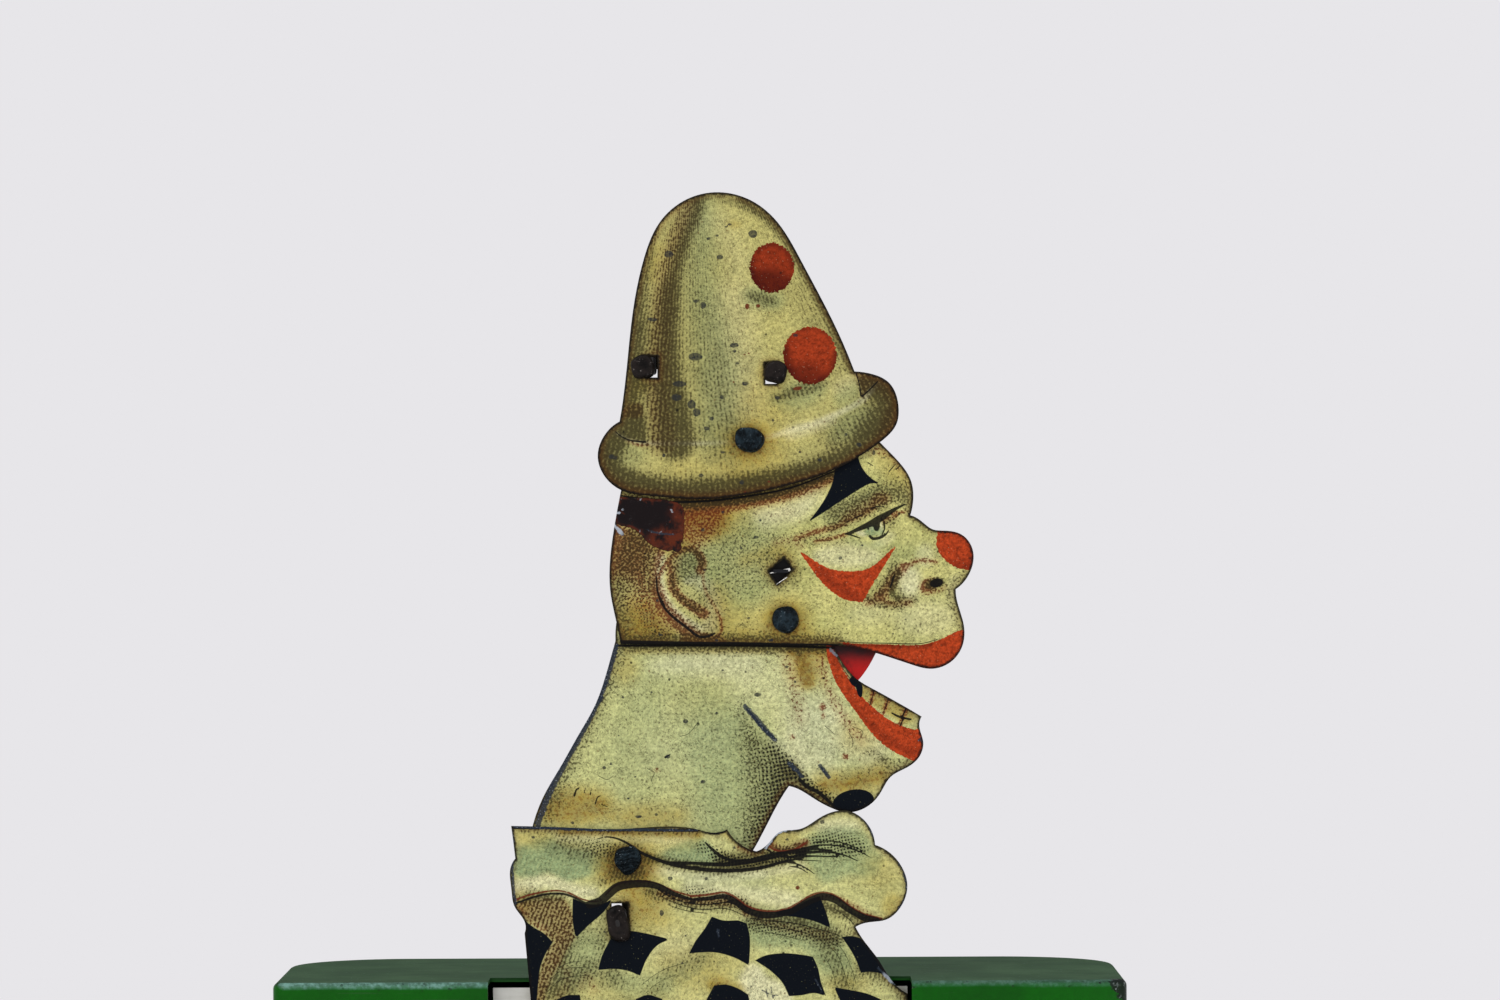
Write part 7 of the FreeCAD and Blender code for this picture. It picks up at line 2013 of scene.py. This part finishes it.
@dataclass(frozen=True)
class HammeredHead:
    """A lump of metal on the front of a plate: a hammered rivet head or the folded end of a strip.

    Its outline is r(a) = 1 / (|cos a / width|^p + |sin a / height|^p)^(1/p) with slow lobes, p being
    the squareness. Seen from the side it follows a profile of radius and rise, and its top leans.
    Ridges are a wave across the top, and a beak draws the outline out at one place.

    Attributes:
        name: Name of the piece.
        node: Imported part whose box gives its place.
        body: Body that it moves with.
        width: Half of its width in millimetres.
        height: Half of its height.
        centre: Its place (x, z) where it isn't the middle of the part's box.
        seat: Where it meets the plate, along y.
        rise: How far it stands forward.
        square: Squareness of its outline.
        turn: Turn in degrees, anticlockwise as seen from the front.
        lean: How far its top leans (x, z).
        flat: Share of its radius that is flat on top.
        ridges: Pitch, height and direction in degrees of the ridges.
        beak: Direction in degrees, length and half angle of the drawn-out place.
        hollow: How far the middle of its top is sunk.
        shoulder: How much of the radius the rounded shoulder takes when nothing is flat on top.
        stem: Radius and rear end of the shank, and radius and rear end of the tail behind it.
    """

    name: str
    node: str
    body: str
    width: float
    height: float
    seat: float
    rise: float
    centre: tuple[float, float] | None = None
    square: float = 2.2
    turn: float = 0.0
    lean: tuple[float, float] = (0.0, 0.0)
    flat: float = 0.6
    ridges: tuple[float, float, float] = (1.0, 0.0, 0.0)
    beak: tuple[float, float, float] = (0.0, 0.0, 20.0)
    hollow: float = 0.0
    shoulder: float = 0.42
    stem: tuple[float, float, float, float] | None = None
    slot: str = "figure_rivets"
    ring_count: int = 26
    round_count: int = 72

    def build(self, finish: bpy.types.Material) -> bpy.types.Object:
        """Make the piece with this finish.

        Args:
            finish: Its material.

        Returns:
            The piece.
        """
        low, high = (np.array(corner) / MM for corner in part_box(self.node))
        centre = self.centre or ((low[0] + high[0]) / 2, (low[2] + high[2]) / 2)
        angle = np.linspace(0.0, 2 * math.pi, self.round_count, endpoint=False)[None, :]
        share = np.linspace(0.0, 1.0, self.ring_count)[:, None]
        curved = np.clip((share - self.flat) / (1 - self.flat), 0.0, 1.0)
        start = 1 - self.shoulder * (1 - self.flat) ** 0.5
        rounded = start + (1 - start) * np.sin(curved * math.pi / 2)
        radius = np.where(share < self.flat, share / self.flat * start, rounded)
        lift = np.where(share < self.flat, 1.0, np.cos(curved * math.pi / 2) ** 0.8)
        lobes = 1 + 0.025 * np.sin(3 * angle + self.width * 7) + 0.02 * np.sin(5 * angle + self.height * 9)
        away = (angle - math.radians(self.beak[0]) + math.pi) % (2 * math.pi) - math.pi
        lobes = lobes + self.beak[1] * np.exp(-((away / math.radians(self.beak[2])) ** 2))
        power = self.square
        across, up = np.abs(np.cos(angle) / self.width), np.abs(np.sin(angle) / self.height)
        reach = (across**power + up**power) ** (-1 / power)
        flat_x, flat_z = radius * reach * lobes * np.cos(angle), radius * reach * lobes * np.sin(angle)
        turn = math.radians(self.turn)
        x = flat_x * math.cos(turn) - flat_z * math.sin(turn)
        z = flat_x * math.sin(turn) + flat_z * math.cos(turn)
        pitch, height, run = self.ridges
        across = x * math.cos(math.radians(run)) + z * math.sin(math.radians(run))
        along = z * math.cos(math.radians(run)) - x * math.sin(math.radians(run))
        wave = np.sin(2 * math.pi * across / pitch + 0.9 * np.sin(along * 1.7) + self.width)
        dent = self.hollow * (1 - np.clip(radius / start, 0, 1) ** 2)
        forward = self.rise * lift + height * wave * np.clip(lift * 1.4, 0, 1) - dent
        forward[-1] = 0.0
        rings = np.stack([
            x + centre[0] + self.lean[0] * lift,
            np.broadcast_to(self.seat - forward, x.shape),
            z + centre[1] + self.lean[1] * lift,
        ], axis=2)
        rings = np.concatenate([rings, self.back_rings(centre, angle)])
        return ringed_piece(self.name, rings, finish, self.body, self.slot)

    def back_rings(self, centre: tuple[float, float], angle: Array) -> Array:
        """Rings behind the seat: the shank and its spread tail, or one point that closes a flat back.

        Args:
            centre: Place (x, z) of the head.
            angle: Directions round it.

        Returns:
            The rings' places in millimetres.
        """
        stations = [(0.0, self.seat)]
        if self.stem:
            shank, shank_end, tail, tail_end = self.stem
            stations = [(shank, self.seat), (shank, shank_end), (tail, shank_end), (tail, tail_end)]
            stations.append((0.0, tail_end))
        radius, rear = (np.array(column)[:, None] for column in zip(*stations))
        x, z = centre[0] + radius * np.cos(angle), centre[1] + radius * np.sin(angle)
        return np.stack([x, np.broadcast_to(rear, x.shape), z], axis=2)


@dataclass(frozen=True)
class CutEdge:
    """A thin bright edge of cut tin, which is all that shows of a strip seen end on.

    It runs straight from one place to the other. Its section is an oval, half as high as wide is
    deep, and it tapers evenly from the first half height to the last.
    """

    name: str
    body: str
    start: tuple[float, float]
    end: tuple[float, float]
    heights: tuple[float, float]
    front: float
    depth: float
    slot: str

    def build(self, finish: bpy.types.Material) -> bpy.types.Object:
        """Make the piece with this finish.

        Args:
            finish: Its material.

        Returns:
            The piece.
        """
        start, end = np.array(self.start), np.array(self.end)
        along = (end - start) / np.linalg.norm(end - start)
        normal = np.array([-along[1], along[0]])
        share = np.array([0.0, 0.0, 0.04, 0.3, 0.6, 0.96, 1.0, 1.0])[:, None]
        size = np.array([0.0, 0.7, 1.0, 1.0, 1.0, 1.0, 0.7, 0.0])[:, None]
        angle = np.linspace(0.0, 2 * math.pi, 16, endpoint=False)[None, :]
        half = (self.heights[0] + (self.heights[1] - self.heights[0]) * share) * size
        middle = start + (end - start) * share
        up, back = half * np.sin(angle), size * self.depth / 2 * np.cos(angle)
        x = middle[:, :1] + up * normal[0]
        z = middle[:, 1:] + up * normal[1]
        y = self.front + self.depth / 2 + back
        return ringed_piece(self.name, np.stack([x, y, z], axis=2), finish, self.body, self.slot)


@dataclass
class Figure:
    """The flat clown: collar and costume, neck and jaw, head, and hat, with what holds them."""

    plates: tuple[TinSheet, ...] = (
        TinSheet("torso_plate", "case", TORSO_ART, PrintedTin(
            "printed_tin_costume", shade_of(198, 196, 132), shade_of(176, 174, 112), 0.4,
        ), pitch=0.3),
        TinSheet("neck_plate", "neck", NECK_ART, PrintedTin(
            "printed_tin_neck", shade_of(198, 197, 122), shade_of(178, 177, 110), 0.1, screen_pitch=0.00048,
        )),
        TinSheet("head_plate", "head", HEAD_ART, PrintedTin(
            "printed_tin_head", shade_of(204, 197, 124), shade_of(178, 176, 106), 0.16, stipple_size=0.0003,
        ), pitch=0.24),
        TinSheet("hat_plate", "hat", HAT_ART, PrintedTin(
            "printed_tin_hat", shade_of(182, 176, 108), shade_of(164, 160, 98), 0.4, ragged=0.11, blend=0.62,
        )),
    )
    rivets: tuple[HammeredHead, ...] = (
        HammeredHead(
            "peened_hat_rivet", "hat_rivet", "head", 1.8, 1.5, -19.7, 0.8, square=2.4, turn=-10.0,
            lean=(-0.25, 0.18), flat=0.72, ridges=(0.55, 0.05, 0.0), stem=(1.2, -17.9, 1.7, -17.5),
        ),
        HammeredHead(
            "peened_head_rivet", "head_rivet", "head", 1.66, 1.66, -19.0, 0.8, square=2.1,
            lean=(-0.12, 0.22), flat=0.7, ridges=(0.8, 0.04, 40.0), stem=(1.2, -17.9, 1.7, -17.5), hollow=0.05,
        ),
        HammeredHead(
            "peened_neck_rivet", "neck_rivet", "case", 1.66, 1.62, -19.0, 0.85, square=2.2, lean=(-0.22, 0.1),
            flat=0.5, ridges=(0.5, 0.085, 98.0), beak=(262.0, 0.26, 24.0), stem=(1.2, -17.9, 1.7, -17.5),
        ),
    )
    tabs: tuple[HammeredHead, ...] = (
        HammeredHead(
            "left_hat_tab", "hat_bracket", "hat", 1.45, 1.48, -19.68, 0.85, (-6.8, 129.55), 2.8, 12.0,
            lean=(-0.1, 0.1), flat=0.45, slot="tinplate",
        ),
        HammeredHead(
            "right_hat_tab", "hat_bracket", "hat", 1.42, 1.4, -19.68, 0.85, (9.75, 128.85), 2.8, -12.0,
            lean=(0.05, 0.1), flat=0.45, ridges=(1.9, 0.06, 0.0), slot="tinplate",
        ),
        HammeredHead(
            "collar_tab", "torso_bracket", "case", 1.38, 2.3, -18.98, 0.95, (-10.15, 60.0), 2.8, 12.0,
            lean=(-0.1, 0.1), flat=0.5, hollow=0.25, slot="tinplate",
        ),
    )
    # The strips that pass through the slots; their near-black finish is painted shade.
    strips: tuple[HammeredHead, ...] = (
        HammeredHead(
            "left_hat_strip", "hat_bracket", "hat", 0.62, 1.12, -18.2, 1.3, (-5.72, 129.72), 5.0,
            flat=0.9, slot="tinplate",
        ),
        HammeredHead(
            "right_hat_strip", "hat_bracket", "hat", 0.62, 1.12, -18.2, 1.3, (9.2, 128.9), 5.0,
            flat=0.9, slot="tinplate",
        ),
        HammeredHead(
            "collar_strip", "torso_bracket", "case", 0.92, 1.8, -18.2, 0.7, (-10.0, 60.1), 5.0,
            flat=0.9, slot="tinplate",
        ),
    )
    edges: tuple[CutEdge, ...] = (
        CutEdge(
            "cheek_tab_edge", "head", (8.95, 103.75), (11.5, 104.2), (0.05, 0.22), -19.24, 0.3, "mouth_red",
        ),
        CutEdge(
            "cheek_slot_edge", "head", (9.75, 102.35), (11.1, 103.25), (0.03, 0.07), -19.06, 0.2, "printed_tin",
        ),
    )

    def build(self, nodes: dict[str, bpy.types.Object]) -> None:
        """Make the printed plates, their rivets and tabs, and colour the strip behind the mouth.

        Args:
            nodes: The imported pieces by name.
        """
        back = Metal.SHEET_BACK.value.material()
        for plate in self.plates:
            report(plate.build(nodes[plate.node], back))
        dark, folded, bright, deep = (
            kind.value.material() for kind in (Metal.RIVET, Metal.TAB, Metal.BRIGHT, Metal.SHADE_DARK_STRIP)
        )
        for rivet in self.rivets:
            piece = rivet.build(dark)
            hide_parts(rivet.node)
            report(piece)
        for tab in self.tabs:
            report(tab.build(folded))
        # The strips get the near-black painted-shade finish.
        for strip in self.strips:
            report(strip.build(deep))
        for edge in self.edges:
            report(edge.build(bright))
        dress(nodes["mouth_lining"], MouthPaint().material())
        bracket = Metal.BRACKET.value.material()
        for node in ("hat_bracket", "torso_bracket"):
            dress(nodes[node], bracket)


def report(piece: bpy.types.Object) -> None:
    """Say which piece was made and how many triangles it has."""
    log.info("%s: %d triangles", piece.name, len(piece.data.polygons))


def dress(piece: bpy.types.Object, material: bpy.types.Material) -> None:
    """Give a piece one material all over.

    Args:
        piece: The piece.
        material: Its material.
    """
    if not piece.material_slots:
        piece.data.materials.append(material)
    for slot in piece.material_slots:
        slot.material = material


@dataclass
class Movement:
    """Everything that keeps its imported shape: the case, the movement, the links and the rivets."""

    metals: dict[str, Metal] = field(default_factory=lambda: {
        "tinplate": Metal.TINPLATE,
        "turned_steel": Metal.STEEL,
        "plated_screws": Metal.SCREW,
        "figure_rivets": Metal.RIVET,
        "key_plating": Metal.KEY,
        "spring_steel": Metal.SPRING,
        "brass": Metal.BRASS,
    })

    def dress(self, nodes: dict[str, bpy.types.Object], record: dict[str, Any]) -> None:
        """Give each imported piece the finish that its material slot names.

        Args:
            nodes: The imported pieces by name.
            record: The frame's record, which names each piece's slot.
        """
        materials = {slot: metal.value.material() for slot, metal in self.metals.items()}
        materials["green_paint"] = StovedPaint().material()
        for part in record["subparts"]:
            if part["material_slot"] in materials:
                dress(nodes[part["node"]], materials[part["material_slot"]])
                log.info("%s: packed shape, %s", part["node"], part["material_slot"])


@dataclass(frozen=True)
class SoftLight:
    """A square soft lamp that looks at the toy."""

    name: str
    place: tuple[float, float, float]
    size: float
    watts: float
    colour: tuple[float, float, float] = (1.0, 1.0, 1.0)
    target: tuple[float, float, float] = (0.0, 0.0, 0.08)

    def build(self) -> None:
        """Hang the lamp."""
        lamp = bpy.data.lights.new(self.name, "AREA")
        lamp.size = self.size
        lamp.energy = self.watts
        lamp.color = self.colour
        hung = bpy.data.objects.new(self.name, lamp)
        hung.location = self.place
        hung.rotation_euler = (Vector(self.target) - Vector(self.place)).to_track_quat("-Z", "Y").to_euler()
        bpy.context.scene.collection.objects.link(hung)


@dataclass
class Studio:
    """Pale floor, soft light and the camera level with the clown's mouth."""

    lights: tuple[SoftLight, ...] = (
        SoftLight("key_light", (-0.55, -0.95, 0.85), 0.6, 8.0),
        SoftLight("fill_light", (0.9, -0.8, 0.45), 0.7, 3.25, (0.97, 0.98, 1.0)),
        SoftLight("top_light", (0.1, 0.55, 1.0), 0.7, 5.0, (0.96, 0.98, 1.0)),
    )
    ambient: float = 0.62
    backdrop: Colour = (0.80, 0.79, 0.815, 1.0)
    floor_reach: float = 6.0
    camera_place: tuple[float, float, float] = (0.0065, -0.864, 0.1129)
    camera_roll: float = math.radians(0.24)
    lens: float = 162.3

    def build(self) -> None:
        """Set the floor, the world, the lamps and the camera."""
        scene = bpy.context.scene
        scene.view_settings.view_transform = "Standard"
        self.build_floor()
        scene.world = self.surroundings()
        for light in self.lights:
            light.build()
        lens = bpy.data.cameras.new("camera")
        lens.lens = self.lens
        lens.clip_start = 0.01
        camera = bpy.data.objects.new("camera", lens)
        camera.location = self.camera_place
        camera.rotation_euler = (math.radians(90), self.camera_roll, 0.0)
        scene.collection.objects.link(camera)
        scene.camera = camera

    def build_floor(self) -> None:
        """Lay the floor, which isn't part of the toy."""
        reach = self.floor_reach
        corners = [(-reach, -reach, 0.0), (reach, -reach, 0.0), (reach, reach, 0.0), (-reach, reach, 0.0)]
        mesh = bpy.data.meshes.new("floor")
        mesh.from_pydata(corners, [], [(0, 1, 2, 3)])
        floor = bpy.data.objects.new("floor", mesh)
        bpy.context.scene.collection.objects.link(floor)
        floor.data.materials.append(FloorPaper().material(self.backdrop))

    def surroundings(self) -> bpy.types.World:
        """World that lights the toy evenly; the camera and polished metal see the backdrop instead.

        Returns:
            The world.
        """
        bench = Bench(bpy.data.worlds.new("studio"))
        even = bench.node("ShaderNodeBackground", inputs={"Strength": self.ambient})
        back = bench.node("ShaderNodeBackground", inputs={"Color": self.backdrop})
        seen = seen_directly(bench)
        return bench.finish(bench.node("ShaderNodeMixShader", inputs={0: seen, 1: even, 2: back}))


def main() -> None:
    """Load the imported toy, dress it, and set it in the studio."""
    logging.basicConfig(level=logging.INFO, format="%(name)s: %(message)s")
    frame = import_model()
    Studio().build()
    Movement().dress(frame["nodes"], frame["record"])
    Figure().build(frame["nodes"])


if __name__ == "__main__":
    main()
